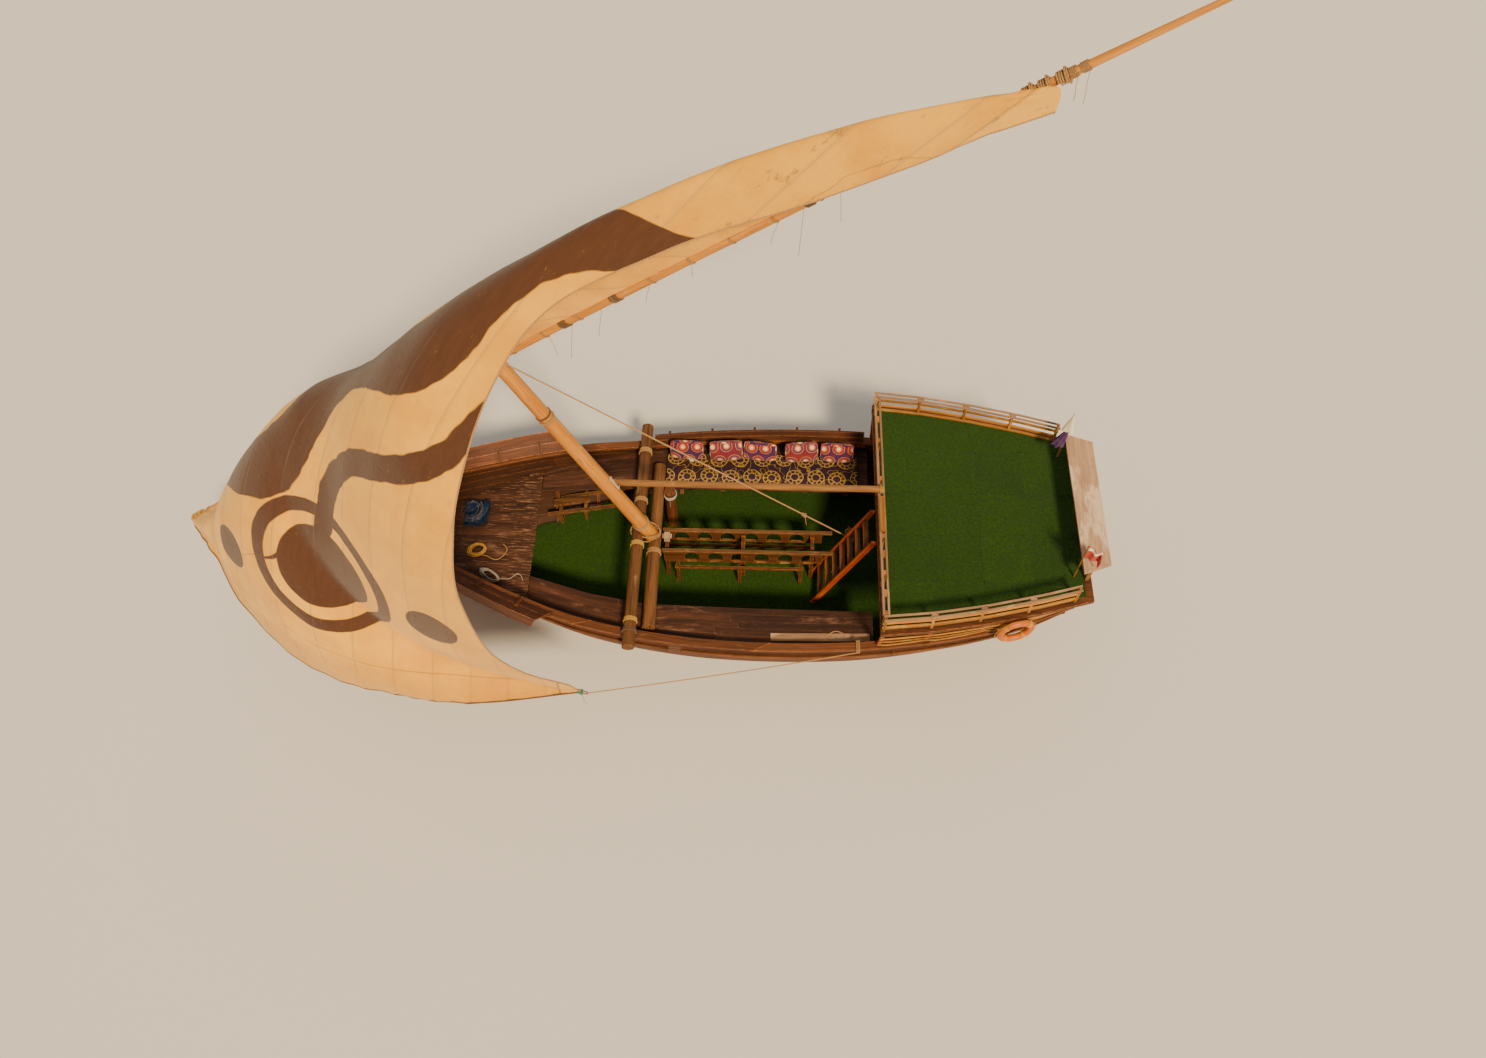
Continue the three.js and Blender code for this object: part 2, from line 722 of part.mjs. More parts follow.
function trestle(x) {
  const legTop = rack.top - 30;
  const leg = (s) => box(x - 35, x + 35, s * (rackInner - 60), s * rackInner, turfTop + gap, legTop);
  const legs = [-1, 1].map(leg);
  const tieHalf = rackInner - 10;
  const ties = [200, rack.top - 130].map((z) => box(x - 30, x + 30, -tieHalf, tieHalf, z, z + 70));
  return [...legs, ...ties];
}

function railPost(x) {
  const { y, top } = lowRail;
  return [
    box(x - 28, x + 28, rackInner - 40, y + 20, top - 70, top - 20),
    box(x - 28, x + 28, y - 20, y + 20, turfTop + gap, top - 20),
  ];
}
put('rack_frame', joined([
  ...trestleXs.flatMap(trestle),
  box(trestleXs.at(-1), trestleXs[0], rackInner - 60, rackInner - 20, 430, 500),
  box(trestleXs.at(-1), trestleXs[0], -rackInner + 20, -rackInner + 60, 430, 500),
  box(-1650, 700, lowRail.y - 25, lowRail.y + 25, lowRail.top - 40, lowRail.top),
  ...lowRail.posts.flatMap(railPost),
]), 'timber');

const tieTop = rack.top - 60;
put('cleat_block', joined([
  box(800, 900, -130, -10, tieTop + gap, tieTop + 150),
  box(765, 935, -110, -30, tieTop + 90, tieTop + 120),
]), 'weathered');

// Ladder from the hold to the poop
const ladder = { topX: -2797.5, footX: -1850, port: 590, starboard: -40, shift: 150 };
const ladderSide = { width: 40, depth: 110, treads: 7 };

function ladderBody() {
  const head = (y) => vec(ladder.topX, y, poopTop - 20);
  const foot = (y) => vec(ladder.footX, y + ladder.shift, turfTop + 55);
  const sides = [ladder.starboard, ladder.port];
  const stringers = sides.map((y) => squareBar(foot(y), head(y), ladderSide.width, ladderSide.depth));
  const treads = [];
  for (let i = 1; i <= ladderSide.treads; i++) {
    const t = i / (ladderSide.treads + 1);
    const [a, b] = sides.map((y) => foot(y).lerp(head(y), t));
    treads.push(squareBar(a, b, 95, 30));
  }
  return joined([...stringers, ...treads]);
}
put('ladder', ladderBody(), 'red');

// Halyard: a taut rope from the masthead to a bitt abaft the rack
const post = { x: -2470, y: -150, top: 1080, radii: [62, 58] };
const halyardFoot = vec(post.x + 67.8, post.y, 930);
const halyardRadius = 14;
put('halyard_bitt', joined([
  roundBar([vec(post.x, post.y, turfTop + gap), vec(post.x, post.y, post.top)], post.radii, 10),
  roundBar([vec(post.x, post.y - 180, 960), vec(post.x, post.y + 180, 960)], [28, 28], 8),
]), 'timber');
const halyardBar = roundBar([mastSideAt(6050), halyardFoot], [halyardRadius, halyardRadius], 8);
put('halyard', cut(halyardBar, [mastRoom]), 'rope');

// Poop frame: cross beams and edge beams under the deck
const poopHalf = (x) => readTable(poopTable, x);
const poopXs = deckSteps(poopTable[0][0], poopTable.at(-1)[0], 8);
const beamTop = poopBeamBottom + poopBeamDepth;

function edgePath(inset, z, xs = poopXs) {
  return xs.map((x) => vec(x, poopHalf(x) - inset, z));
}

const poopBeams = poopTable.map(([x]) => x).map((x, i, all) => {
  const at = i === 0 ? x - 45 : i === all.length - 1 ? x + 45 : x;
  return box(at - 45, at + 45, -poopHalf(at) + 40, poopHalf(at) - 40, poopBeamBottom, beamTop);
});
const edgeBeam = strip(edgePath(50, beamTop), 90, poopBeamDepth);
put('poop_frame', joined([...poopBeams, edgeBeam, mirrored(edgeBeam)]), 'timber');
const deckBase = beamTop + gap;
const poopEdge = (inset) => (x) => poopHalf(x) - inset;
put('poop_deck', flatDeck(
  poopXs,
  (x) => -poopEdge(-10)(x),
  poopEdge(-10),
  deckBase + poopDeckThickness,
  poopDeckThickness,
), 'paleWood');
put('poop_turf', flatDeck(
  deckSteps(poopTable[0][0] - 110, poopTable.at(-1)[0] + 130, 8),
  (x) => -poopEdge(110)(x),
  poopEdge(110),
  poopTop,
  turfThickness,
), 'turf');

// Poop rails: twin battens over spacer posts, with a plank below
const railTop = poopTop + railHeight;
const battenWidth = 42;
const battenDepth = 45;
const battenPitch = 84;
const deckTop = deckBase + poopDeckThickness;

function sideRail() {
  const xs = deckSteps(poopTable[0][0] - 10, -6120, 8);
  const batten = (inset) => strip(edgePath(inset, railTop, xs), battenWidth, battenDepth);
  const battens = [20, 20 + battenPitch].map(batten);
  const planks = [150, 330].map((drop) => strip(edgePath(62, railTop - drop, xs), 30, 95));
  const posts = [0, 2, 4, 6, 8].map((i) => {
    const x = mix(xs[i], xs[4], 0.012);
    const y = poopHalf(x) - 62;
    return box(x - 35, x + 35, y - 34, y + 34, deckTop + gap, railTop - 10);
  });
  return joined([...battens, ...planks, ...posts]);
}
bothSides('poop_rail', sideRail(), 'paleWood');

function frontRail() {
  const half = poopHalf(poopFront) - 150;
  const x = poopFront - 50;
  const battens = [-1, 1].map((s) => {
    const aft = x + (s * battenPitch) / 2 - battenWidth / 2;
    return box(aft, aft + battenWidth, -half, half, railTop - battenDepth, railTop);
  });
  const postYs = [-half + 40, -1250, -450, 700, 1400, half - 40];
  const posts = postYs.map((y) => box(x - 34, x + 34, y - 45, y + 45, deckTop + gap, railTop - 10));
  const board = box(x - 50, x + 50, -60, 640, railTop - 30, railTop + 22);
  const toe = box(x - 14, x + 14, -half, half, poopTop + 60, poopTop + 180);
  return joined([...battens, ...posts, board, toe]);
}
put('poop_rail_front', frontRail(), 'paleWood');

// Stern board on its own posts, level with the rails
const sternBoard = { fore: -6150, aft: -6610, foreHalf: 1390, aftHalf: 1230, thickness: 45 };
const sternTop = railTop + sternBoard.thickness + 40;
const sternHalf = (x) => (x === sternBoard.fore ? sternBoard.foreHalf : sternBoard.aftHalf);
put('stern_board', flatDeck(
  [sternBoard.fore, sternBoard.aft],
  (x) => -sternHalf(x),
  sternHalf,
  sternTop,
  sternBoard.thickness,
), 'weathered');
const sternUnder = sternTop - sternBoard.thickness - gap;
put('stern_rail', joined([
  box(-6360, -6300, -1290, 1290, sternUnder - 80, sternUnder),
  ...[-1200, -400, 400, 1200].map((y) => box(-6360, -6300, y - 40, y + 40, deckTop + gap, sternUnder - 20)),
]), 'paleWood');

// Quarter frames: stanchions from the cap rail up to the poop, with level rails between
const quarterXs = [-2900, -3700, -4600, -5500, -6150];

function quarterFrame() {
  const seatPoint = (x) => vec(x, sheerAt(x).half - 40, sheerAt(x).z + capThickness);
  const headPoint = (x) => vec(x, poopHalf(x) - 50, poopBeamBottom - gap);
  const posts = quarterXs.map((x) => {
    const foot = seatPoint(x);
    const head = headPoint(x);
    const seatZ = Math.max(capTopAt(x - 38), capTopAt(x + 38)) + gap;
    const upper = [vec(x - 38, foot.y, seatZ), vec(x + 38, foot.y, seatZ)];
    const width = 60;
    const rowsIn = [
      upper.map((p) => vec(p.x, p.y - width / 2, p.z)),
      upper.map((p) => vec(p.x, head.y - width / 2, head.z)),
    ];
    const rowsOut = rowsIn.map((row) => row.map((p) => vec(p.x, p.y + width, p.z)));
    return slab(rowsIn, rowsOut);
  });
  const xs = deckSteps(quarterXs[0] + 38, quarterXs.at(-1) - 38, 8);
  const rails = [0.3, 0.62].map((share) => strip(xs.map((x) => {
    const p = seatPoint(x).lerp(headPoint(x), share);
    return vec(p.x, p.y + 22, p.z + 30);
  }), 36, 60));
  return joined([...posts, ...rails]);
}
bothSides('quarter_frame', quarterFrame(), 'red');

// Life ring hung outside the port quarter
const ring = { radius: 265, tube: 62, x: -5150, z: 1590 };
const ringSides = 10;
const ringReach = ring.tube * Math.cos(Math.PI / ringSides) + gap;
const ringTurn = Math.atan2(poopHalf(ring.x + 300) - poopHalf(ring.x - 300), 600);
const ringGeometry = new THREE.TorusGeometry(ring.radius, ring.tube, ringSides, 20);
ringGeometry.rotateX(Math.PI / 2);
ringGeometry.rotateZ(ringTurn);
ringGeometry.translate(ring.x, poopHalf(ring.x) - 4 + ringReach / Math.cos(ringTurn), ring.z);
put('life_ring', ringGeometry, 'orange');

// Flag staffs at the poop's after corners
const staffX = -6118;

function staff(name, y, height) {
  const ends = [vec(staffX, y, poopTop + gap), vec(staffX, y, sternTop + height)];
  put(name, roundBar(ends, [16, 12], 8), 'paleWood');
}
staff('staff_port', 1180, 520);
staff('staff_starboard', -1260, 760);

// Rudder assembly, built upright and leaned with the sternpost
const hinge = new THREE.Group();
const hingeFoot = vec(postFront(0) - postDepth, 0, 0);
hinge.rotation.y = -sternRake;
hinge.position.copy(hingeFoot);
boat.add(hinge);
const axisOffset = -hingeBehindPost;
const rudderLow = keelBottom / Math.cos(sternRake) + 60;
const rudderHigh = 1650 / Math.cos(sternRake);
const gudgeonHeights = [-650, 1050];
const gudgeonHalf = 30;
const notchHalf = gudgeonHalf + 8;

function rudderBlade() {
  const blade = sidePlate([
    [axisOffset, rudderLow],
    [axisOffset, rudderHigh],
    [axisOffset - 190, rudderHigh],
    [axisOffset - 230, 900],
    [axisOffset - 420, 350],
    [axisOffset - 700, -250],
    [axisOffset - 760, rudderLow + 120],
    [axisOffset - 700, rudderLow],
  ], rudderThickness / 2);
  const nose = new THREE.CylinderGeometry(rudderNose, rudderNose, rudderHigh - rudderLow, 12);
  nose.rotateX(Math.PI / 2);
  nose.translate(axisOffset, 0, (rudderHigh + rudderLow) / 2);
  const notch = (z) => box(axisOffset - 60, axisOffset + 60, -60, 60, z - notchHalf, z + notchHalf);
  const notches = gudgeonHeights.map(notch);
  const pins = gudgeonHeights.map((z) => {
    const pin = new THREE.CylinderGeometry(pinRadius, pinRadius, 2 * notchHalf + 20, 10);
    pin.rotateX(Math.PI / 2);
    pin.translate(axisOffset, 0, z);
    return pin;
  });
  return joined([cut(joined([blade, nose]), notches), ...pins]);
}

// Tiller: level, through the rudder head, over the sternpost and under the poop
const tiller = { z: 1600, length: 1750, radii: [30, 24], tail: 90 };

function tillerBar(extra) {
  const level = vec(Math.cos(sternRake), 0, -Math.sin(sternRake));
  const middle = vec(axisOffset, 0, tiller.z / Math.cos(sternRake));
  const tail = middle.clone().addScaledVector(level, -tiller.tail - extra);
  const grip = middle.clone().addScaledVector(level, tiller.length);
  return roundBar([tail, grip], tiller.radii.map((radius) => radius + extra), 10);
}
put('rudder', cut(rudderBlade(), [tillerBar(gap)]), 'timber', hinge);
put('tiller', tillerBar(0), 'timber', hinge);

// A gudgeon: an eye on a strap that wraps the sternpost
const strap = { thickness: 8, reach: 130 };

function gudgeon(z) {
  const low = z - gudgeonHalf;
  const high = z + gudgeonHalf;
  const eye = new THREE.CylinderGeometry(30, 30, 2 * gudgeonHalf, 14);
  eye.rotateX(Math.PI / 2);
  eye.translate(axisOffset, 0, z);
  const tongue = box(axisOffset, -gap, -24, 24, low, high);
  const outerSide = keelHalf + gap + strap.thickness;
  const back = box(-gap - strap.thickness, -gap, -outerSide, outerSide, low, high);
  const arms = [-1, 1].map((s) => box(-gap - 2, strap.reach, s * (keelHalf + gap), s * outerSide, low, high));
  const bore = new THREE.CylinderGeometry(pinRadius + 0.6, pinRadius + 0.6, 4 * gudgeonHalf, 14);
  bore.rotateX(Math.PI / 2);
  bore.translate(axisOffset, 0, z);
  return cut(joined([eye, tongue, back, ...arms]), [bore]);
}
put('gudgeon_lower', gudgeon(gudgeonHeights[0]), 'iron', hinge);
put('gudgeon_upper', gudgeon(gudgeonHeights[1]), 'iron', hinge);

// Yard and sail
const yardDirection = yardTip.clone().sub(yardTack).normalize();
const yardUp = vec(yardDirection.z, 0, -yardDirection.x);

function yardPoint(share) {
  return yardTack.clone().lerp(yardTip, share).addScaledVector(yardUp, yardBow * Math.sin(Math.PI * share));
}
const yardRadiusList = yardRadii.map(([, radius]) => radius);
const yardPath = yardRadii.map(([share]) => yardPoint(share));
put('yard', roundBar(yardPath, yardRadiusList, 12), 'spar');
const yardRoom = roundBar(yardPath, yardRadiusList.map((radius) => radius + gap), 12);

// Parrel: a collar that turns about the mast, bound to a sleeve on the yard
const parrel = { share: 0.4205, height: 90, wall: 30, room: 0.5, sleeve: 190, opening: 500, boreSides: 32 };
const luffDirection = yardUp.clone().add(vec(0, 1, 0)).normalize();

function tube(from, to, inner, outer, sides, boreSides = sides) {
  const along = to.clone().sub(from).normalize();
  const bore = [from.clone().addScaledVector(along, -5), to.clone().addScaledVector(along, 5)];
  return cut(roundBar([from, to], [outer, outer], sides), [roundBar(bore, [inner, inner], boreSides)]);
}

function parrelBody() {
  const onYard = yardPoint(parrel.share);
  const nearYard = yardPoint(parrel.share + 0.01).sub(onYard).normalize().multiplyScalar(parrel.sleeve / 2);
  const yardRadius = readTable(yardRadii, parrel.share);
  const height = onYard.clone().sub(mastHeel).dot(mastAxis);
  const collarHeights = [height - parrel.height / 2, height + parrel.height / 2];
  const collarEnds = collarHeights.map((up) => mastHeel.clone().addScaledVector(mastAxis, up));
  const mastShare = collarHeights[0] / mastHeel.distanceTo(mastHead);
  const mastHere = mix(mastRadius[0], mastRadius[1], mastShare);
  const boreRadius = (mastHere + parrel.room) / Math.cos(Math.PI / parrel.boreSides);
  const collar = tube(...collarEnds, boreRadius, yardSide - yardRadius - 5, 16, parrel.boreSides);
  const sleeveEnds = [-1, 1].map((s) => onYard.clone().addScaledVector(nearYard, s));
  const sleeve = roundBar(sleeveEnds, sleeveEnds.map(() => yardRadius + parrel.wall), 12);
  const luffSide = [-2, 2].map((s) => onYard.clone().addScaledVector(nearYard, s)
    .addScaledVector(luffDirection, parrel.opening));
  const saddle = cut(sleeve, [yardRoom, roundBar(luffSide, [parrel.opening, parrel.opening], 24)]);
  return joined([collar, saddle]);
}
put('parrel', parrelBody(), 'rope');

// Sail sections run from the luff, on the yard, to the free edge: the foot as far as the clew, then
// the leech. Each is a cubic curve, and its two handles give it its belly.
const sailSections = [
  // share of the luff; x, y, z of the free edge; rise and outward draw at the luff;
  // rise, forward draw and pull along the chord at the edge
  [0.00, 9020, 430, 1790, 30, 60, 0, 0, 0.30],
  [0.06, 8430, 1100, 2000, 450, 950, 0, -200, 0.27],
  [0.12, 7780, 1950, 1820, 1050, 1150, 200, 50, 0.23],
  [0.18, 6980, 2680, 1700, 2100, 1150, 500, 450, 0.18],
  [0.24, 6000, 3220, 1760, 3000, 1080, 750, 850, 0.14],
  [0.30, 4850, 3600, 2080, 3500, 800, 1250, 1750, 0.10],
  [0.35, 3550, 3770, 2220, 3700, 500, 2200, 2600, 0.07],
  [0.40, 1920, 3500, 2100, 3650, 450, 3800, 3900, 0.06],
  [0.44, 2880, 3720, 3700, 3500, 500, 1650, 2500, 0.08],
  [0.48, 3130, 3650, 5300, 3300, 570, 1200, 1400, 0.10],
  [0.53, 2990, 3320, 6720, 3080, 580, 1100, 800, 0.13],
  [0.58, 2750, 2860, 7540, 2850, 580, 1100, 700, 0.16],
  [0.64, 2370, 2280, 8280, 2550, 570, 920, 450, 0.20],
  [0.72, 1620, 1610, 8980, 2200, 450, 700, -50, 0.25],
  [0.80, 250, 1160, 9470, 1850, 180, 550, -450, 0.28],
  [0.90, -1450, 840, 9980, 1150, 120, 450, -680, 0.32],
  [1.00, -3850, 420, 10840, 50, 150, 200, -300, 0.37],
];
const clewSection = sailSections.findIndex(([share]) => share === 0.40);
const sailSteps = { foot: 13, leech: 20, across: 14 };

function slopeBetween(from, to) {
  return to.map((value, k) => (value - from[k]) / (to[0] - from[0]));
}

function rowSlope(table, i) {
  const [before, here, after] = [table[i - 1], table[i], table[i + 1]];
  if (!before) return slopeBetween(here, after);
  if (!after) return slopeBetween(before, here);
  const weight = (here[0] - before[0]) / (after[0] - before[0]);
  const ahead = slopeBetween(here, after);
  return slopeBetween(before, here).map((slope, k) => mix(slope, ahead[k], weight));
}

// Reads every column of a table at a share, on a smooth curve through the rows
function smoothRow(table, share) {
  let i = 0;
  while (i < table.length - 2 && table[i + 1][0] < share) i += 1;
  const width = table[i + 1][0] - table[i][0];
  const t = (share - table[i][0]) / width;
  const slopes = [rowSlope(table, i), rowSlope(table, i + 1)];
  return table[i].map((value, k) => {
    const along = mix(value, table[i + 1][k], t * t * (3 - 2 * t));
    return along + width * (slopes[0][k] * t * (1 - t) ** 2 - slopes[1][k] * t * t * (1 - t));
  });
}

const footSections = sailSections.slice(0, clewSection + 1);
const leechSections = sailSections.slice(clewSection);
const sailRows = [];
for (let i = 0; i <= sailSteps.foot; i++) {
  sailRows.push(smoothRow(footSections, mix(0, footSections.at(-1)[0], i / sailSteps.foot)));
}
for (let i = 1; i <= sailSteps.leech; i++) {
  sailRows.push(smoothRow(leechSections, mix(leechSections[0][0], 1, (i / sailSteps.leech) ** 1.25)));
}

function sailCurve([share, x, y, z, rise, out, edgeRise, edgeFore, pull]) {
  const along = mix(sailFoot, sailHead, share);
  const radius = readTable(yardRadii, along);
  const luff = yardPoint(along).addScaledVector(luffDirection, radius + sailThickness / 2 - laceDepth);
  const edge = vec(x, y, z);
  const chord = edge.clone().sub(luff);
  const near = luff.clone().addScaledVector(yardUp, rise).add(vec(0, out, 0));
  const far = edge.clone().addScaledVector(yardUp, edgeRise)
    .addScaledVector(yardDirection, -edgeFore)
    .addScaledVector(chord, -pull);
  return new THREE.CubicBezierCurve3(luff, near, far, edge).getPoints(sailSteps.across);
}

const sailMiddle = sailRows.map(sailCurve);

function sailFace(side) {
  return sailMiddle.map((row, i) => row.map((point, j) => {
    const before = sailMiddle[Math.max(i - 1, 0)][j];
    const after = sailMiddle[Math.min(i + 1, sailMiddle.length - 1)][j];
    const left = row[Math.max(j - 1, 0)];
    const right = row[Math.min(j + 1, row.length - 1)];
    const normal = after.clone().sub(before).cross(right.clone().sub(left)).normalize();
    return point.clone().addScaledVector(normal, (side * sailThickness) / 2);
  }));
}
put('sail', cut(slab(sailFace(1), sailFace(-1)), [yardRoom]), 'sail');

// Gear on the foredeck: two rope coils and a folded sheet
function coil(name, x, y, ringRadius, tube, colour) {
  const profile = Array.from({ length: 9 }, (_, i) => {
    const angle = (2 * Math.PI * (i % 8)) / 8;
    return new THREE.Vector2(ringRadius + tube * Math.cos(angle), tube * Math.sin(angle));
  });
  const geometry = new THREE.LatheGeometry(profile, 20);
  geometry.rotateX(Math.PI / 2);
  geometry.translate(x, y, foredeckTop + tube * Math.sin(Math.PI / 2) + gap);
  put(name, geometry, colour);
}
coil('rope_coil_yellow', 4250, 330, 150, 45, 'gold');
coil('rope_coil_grey', 3950, 850, 170, 48, 'rope');
put('folded_tarp', box(4080, 4640, -720, -60, foredeckTop + gap, foredeckTop + 150), 'blue');

export default boat;
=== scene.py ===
# Dhow sailing boat: the finish of every surface, the ropes and the cloth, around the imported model.
import math
import random

import bpy
import numpy as np
from mathutils import Matrix, Vector, noise
from mathutils.bvhtree import BVHTree


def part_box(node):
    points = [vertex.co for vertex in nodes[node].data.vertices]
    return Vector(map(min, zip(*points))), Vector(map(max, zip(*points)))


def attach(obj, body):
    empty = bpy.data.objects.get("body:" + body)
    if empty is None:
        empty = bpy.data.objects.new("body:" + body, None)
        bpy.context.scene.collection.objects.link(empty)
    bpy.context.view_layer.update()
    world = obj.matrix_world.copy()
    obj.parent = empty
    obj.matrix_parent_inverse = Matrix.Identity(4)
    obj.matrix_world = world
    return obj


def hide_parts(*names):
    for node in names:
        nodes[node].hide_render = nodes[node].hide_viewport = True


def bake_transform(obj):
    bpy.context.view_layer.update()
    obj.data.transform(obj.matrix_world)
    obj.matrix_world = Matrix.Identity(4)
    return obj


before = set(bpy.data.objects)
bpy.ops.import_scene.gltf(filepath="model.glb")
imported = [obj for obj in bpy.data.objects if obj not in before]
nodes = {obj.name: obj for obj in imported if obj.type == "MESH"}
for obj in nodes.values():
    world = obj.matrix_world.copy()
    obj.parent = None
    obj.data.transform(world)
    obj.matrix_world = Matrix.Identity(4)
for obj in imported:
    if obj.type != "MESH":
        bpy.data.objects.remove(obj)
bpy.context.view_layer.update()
collection = bpy.context.scene.collection
chance = random.Random(7)

# Camera
cameraView = {
    "place": (-0.8, 10.536, 19.1),
    "tilt": 30.7,  # degrees from straight down
    "turn": 181.44,
    "lens": 28.0,  # mm, on a 36 mm sensor
}


def makeCamera():
    lens = bpy.data.cameras.new("camera")
    lens.lens = cameraView["lens"]
    lens.sensor_width = 36.0
    lens.clip_end = 200.0
    camera = bpy.data.objects.new("camera", lens)
    camera.location = cameraView["place"]
    camera.rotation_euler = (math.radians(cameraView["tilt"]), 0, math.radians(cameraView["turn"]))
    collection.objects.link(camera)
    bpy.context.scene.camera = camera


makeCamera()
print("camera made")


# Shader helpers: a socket or a plain number can be given for each input
def newNode(tree, kind, inputs=None, **settings):
    node = tree.nodes.new(kind)
    for key, value in settings.items():
        setattr(node, key, value)
    for key, value in (inputs or {}).items():
        if isinstance(value, bpy.types.NodeSocket):
            tree.links.new(value, node.inputs[key])
        else:
            node.inputs[key].default_value = value
    return node


def calc(tree, operation, a, b=0.0):
    return newNode(tree, "ShaderNodeMath", {0: a, 1: b, 2: 0.0}, operation=operation).outputs[0]


def times(tree, a, b):
    return calc(tree, "MULTIPLY", a, b)


def plus(tree, a, b):
    return calc(tree, "ADD", a, b)


def minus(tree, a, b):
    return calc(tree, "SUBTRACT", a, b)


def absolute(tree, value):
    return calc(tree, "ABSOLUTE", value)


def soften(tree, value, low, high, outLow=0.0, outHigh=1.0):
    inputs = {"Value": value, "From Min": low, "From Max": high, "To Min": outLow, "To Max": outHigh}
    node = newNode(tree, "ShaderNodeMapRange", inputs, interpolation_type="SMOOTHSTEP")
    return node.outputs[0]


def blendColour(tree, share, a, b, mode="MIX"):
    node = newNode(tree, "ShaderNodeMix", data_type="RGBA", blend_type=mode)
    for index, value in ((0, share), (6, a), (7, b)):
        if isinstance(value, bpy.types.NodeSocket):
            tree.links.new(value, node.inputs[index])
        elif index == 0:
            node.inputs[index].default_value = value
        else:
            node.inputs[index].default_value = (*value, 1.0)
    return node.outputs[2]


def noiseOn(tree, vector, scale, detail=4.0, roughness=0.55):
    inputs = {"Vector": vector, "Scale": scale, "Detail": detail, "Roughness": roughness}
    return newNode(tree, "ShaderNodeTexNoise", inputs).outputs["Fac"]


def stretched(tree, vector, scale, shift=(0.0, 0.0, 0.0)):
    inputs = {"Vector": vector, "Location": shift, "Scale": scale}
    return newNode(tree, "ShaderNodeMapping", inputs).outputs[0]


def objectSpot(tree):
    return newNode(tree, "ShaderNodeTexCoord").outputs["Object"]


def mapSpot(tree, name="grain"):
    return newNode(tree, "ShaderNodeUVMap", uv_map=name).outputs[0]


def axesOf(tree, vector):
    return newNode(tree, "ShaderNodeSeparateXYZ", {0: vector}).outputs


def toneOf(tree):
    return newNode(tree, "ShaderNodeAttribute", attribute_name="tone").outputs["Fac"]


def shaded(tree, colour, shade):
    grey = newNode(tree, "ShaderNodeCombineColor", {0: shade, 1: shade, 2: shade}).outputs[0]
    return blendColour(tree, 1.0, colour, grey, "MULTIPLY")


def vectorBy(tree, vector, scale):
    return newNode(tree, "ShaderNodeVectorMath", {0: vector, "Scale": scale}, operation="SCALE").outputs[0]


def distanceOf(tree, x, y):
    return calc(tree, "SQRT", plus(tree, times(tree, x, x), times(tree, y, y)))


def newGroup(name, inputs, outputs):
    group = bpy.data.node_groups.new(name, "ShaderNodeTree")
    for label, kind, value in inputs:
        socket = group.interface.new_socket(label, in_out="INPUT", socket_type=kind)
        if value is not None:
            socket.default_value = value
    for label, kind in outputs:
        group.interface.new_socket(label, in_out="OUTPUT", socket_type=kind)
    entry = group.nodes.new("NodeGroupInput")
    leave = group.nodes.new("NodeGroupOutput")
    return group, entry.outputs, leave.inputs


def place(tree, group, inputs):
    node = tree.nodes.new("ShaderNodeGroup")
    node.node_tree = group
    for key, value in inputs.items():
        if isinstance(value, bpy.types.NodeSocket):
            tree.links.new(value, node.inputs[key])
        else:
            node.inputs[key].default_value = value
    return node.outputs


floatIn, vectorIn = "NodeSocketFloat", "NodeSocketVector"


# Grain: streaks and drying cracks along X of the vector, in metres
def makeGrain():
    sockets = [("Vector", vectorIn, None), ("Fineness", floatIn, 1.0), ("Tone", floatIn, 0.5)]
    tree, ins, outs = newGroup("woodGrain", sockets, [
        ("Streaks", floatIn), ("Cracks", floatIn), ("Patches", floatIn), ("Height", floatIn)])
    shift = newNode(tree, "ShaderNodeCombineXYZ", {0: times(tree, ins["Tone"], 37.0),
                                                   1: times(tree, ins["Tone"], 91.0)})
    moved = newNode(tree, "ShaderNodeVectorMath", {0: ins["Vector"], 1: shift.outputs[0]}, operation="ADD")
    scaled = vectorBy(tree, moved.outputs[0], ins["Fineness"])
    broad = noiseOn(tree, stretched(tree, scaled, (0.9, 14.0, 14.0)), 1.0, 5.0)
    fine = noiseOn(tree, stretched(tree, scaled, (2.5, 75.0, 75.0)), 1.0, 3.0)
    crack = noiseOn(tree, stretched(tree, scaled, (1.1, 42.0, 42.0), (3.0, 5.0, 1.0)), 1.0, 2.0, 0.4)
    patch = noiseOn(tree, stretched(tree, scaled, (1.2, 3.4, 3.4), (7.0, 2.0, 9.0)), 1.0, 6.0, 0.65)
    streaks = plus(tree, times(tree, broad, 0.65), times(tree, fine, 0.35))
    thin = absolute(tree, minus(tree, crack, 0.5))
    cracks = soften(tree, thin, 0.0, 0.022, 1.0, 0.0)
    some = soften(tree, broad, 0.47, 0.6)
    cracks = times(tree, cracks, some)
    tree.links.new(streaks, outs["Streaks"])
    tree.links.new(cracks, outs["Cracks"])
    tree.links.new(patch, outs["Patches"])
    height = minus(tree, times(tree, streaks, 0.6), times(tree, cracks, 0.8))
    tree.links.new(height, outs["Height"])
    return tree


# Edge wear and painted highlight: 1 on edges that are rubbed and that catch the sun, broken up by a noise
def makeEdgeWearAndHighlight():
    sockets = [("Vector", vectorIn, None), ("Width", floatIn, 0.012)]
    tree, ins, outs = newGroup("edgeWearAndHighlight", sockets, [("WearAndHighlight", floatIn)])
    rounded = newNode(tree, "ShaderNodeBevel", {"Radius": ins["Width"]}, samples=4)
    flat = newNode(tree, "ShaderNodeNewGeometry")
    dot = newNode(tree, "ShaderNodeVectorMath", {0: rounded.outputs[0], 1: flat.outputs["Normal"]},
                  operation="DOT_PRODUCT").outputs["Value"]
    edge = soften(tree, dot, 0.86, 0.99, 1.0, 0.0)
    broken = soften(tree, noiseOn(tree, ins["Vector"], 9.0, 5.0), 0.36, 0.6)
    tree.links.new(times(tree, edge, broken), outs["WearAndHighlight"])
    return tree


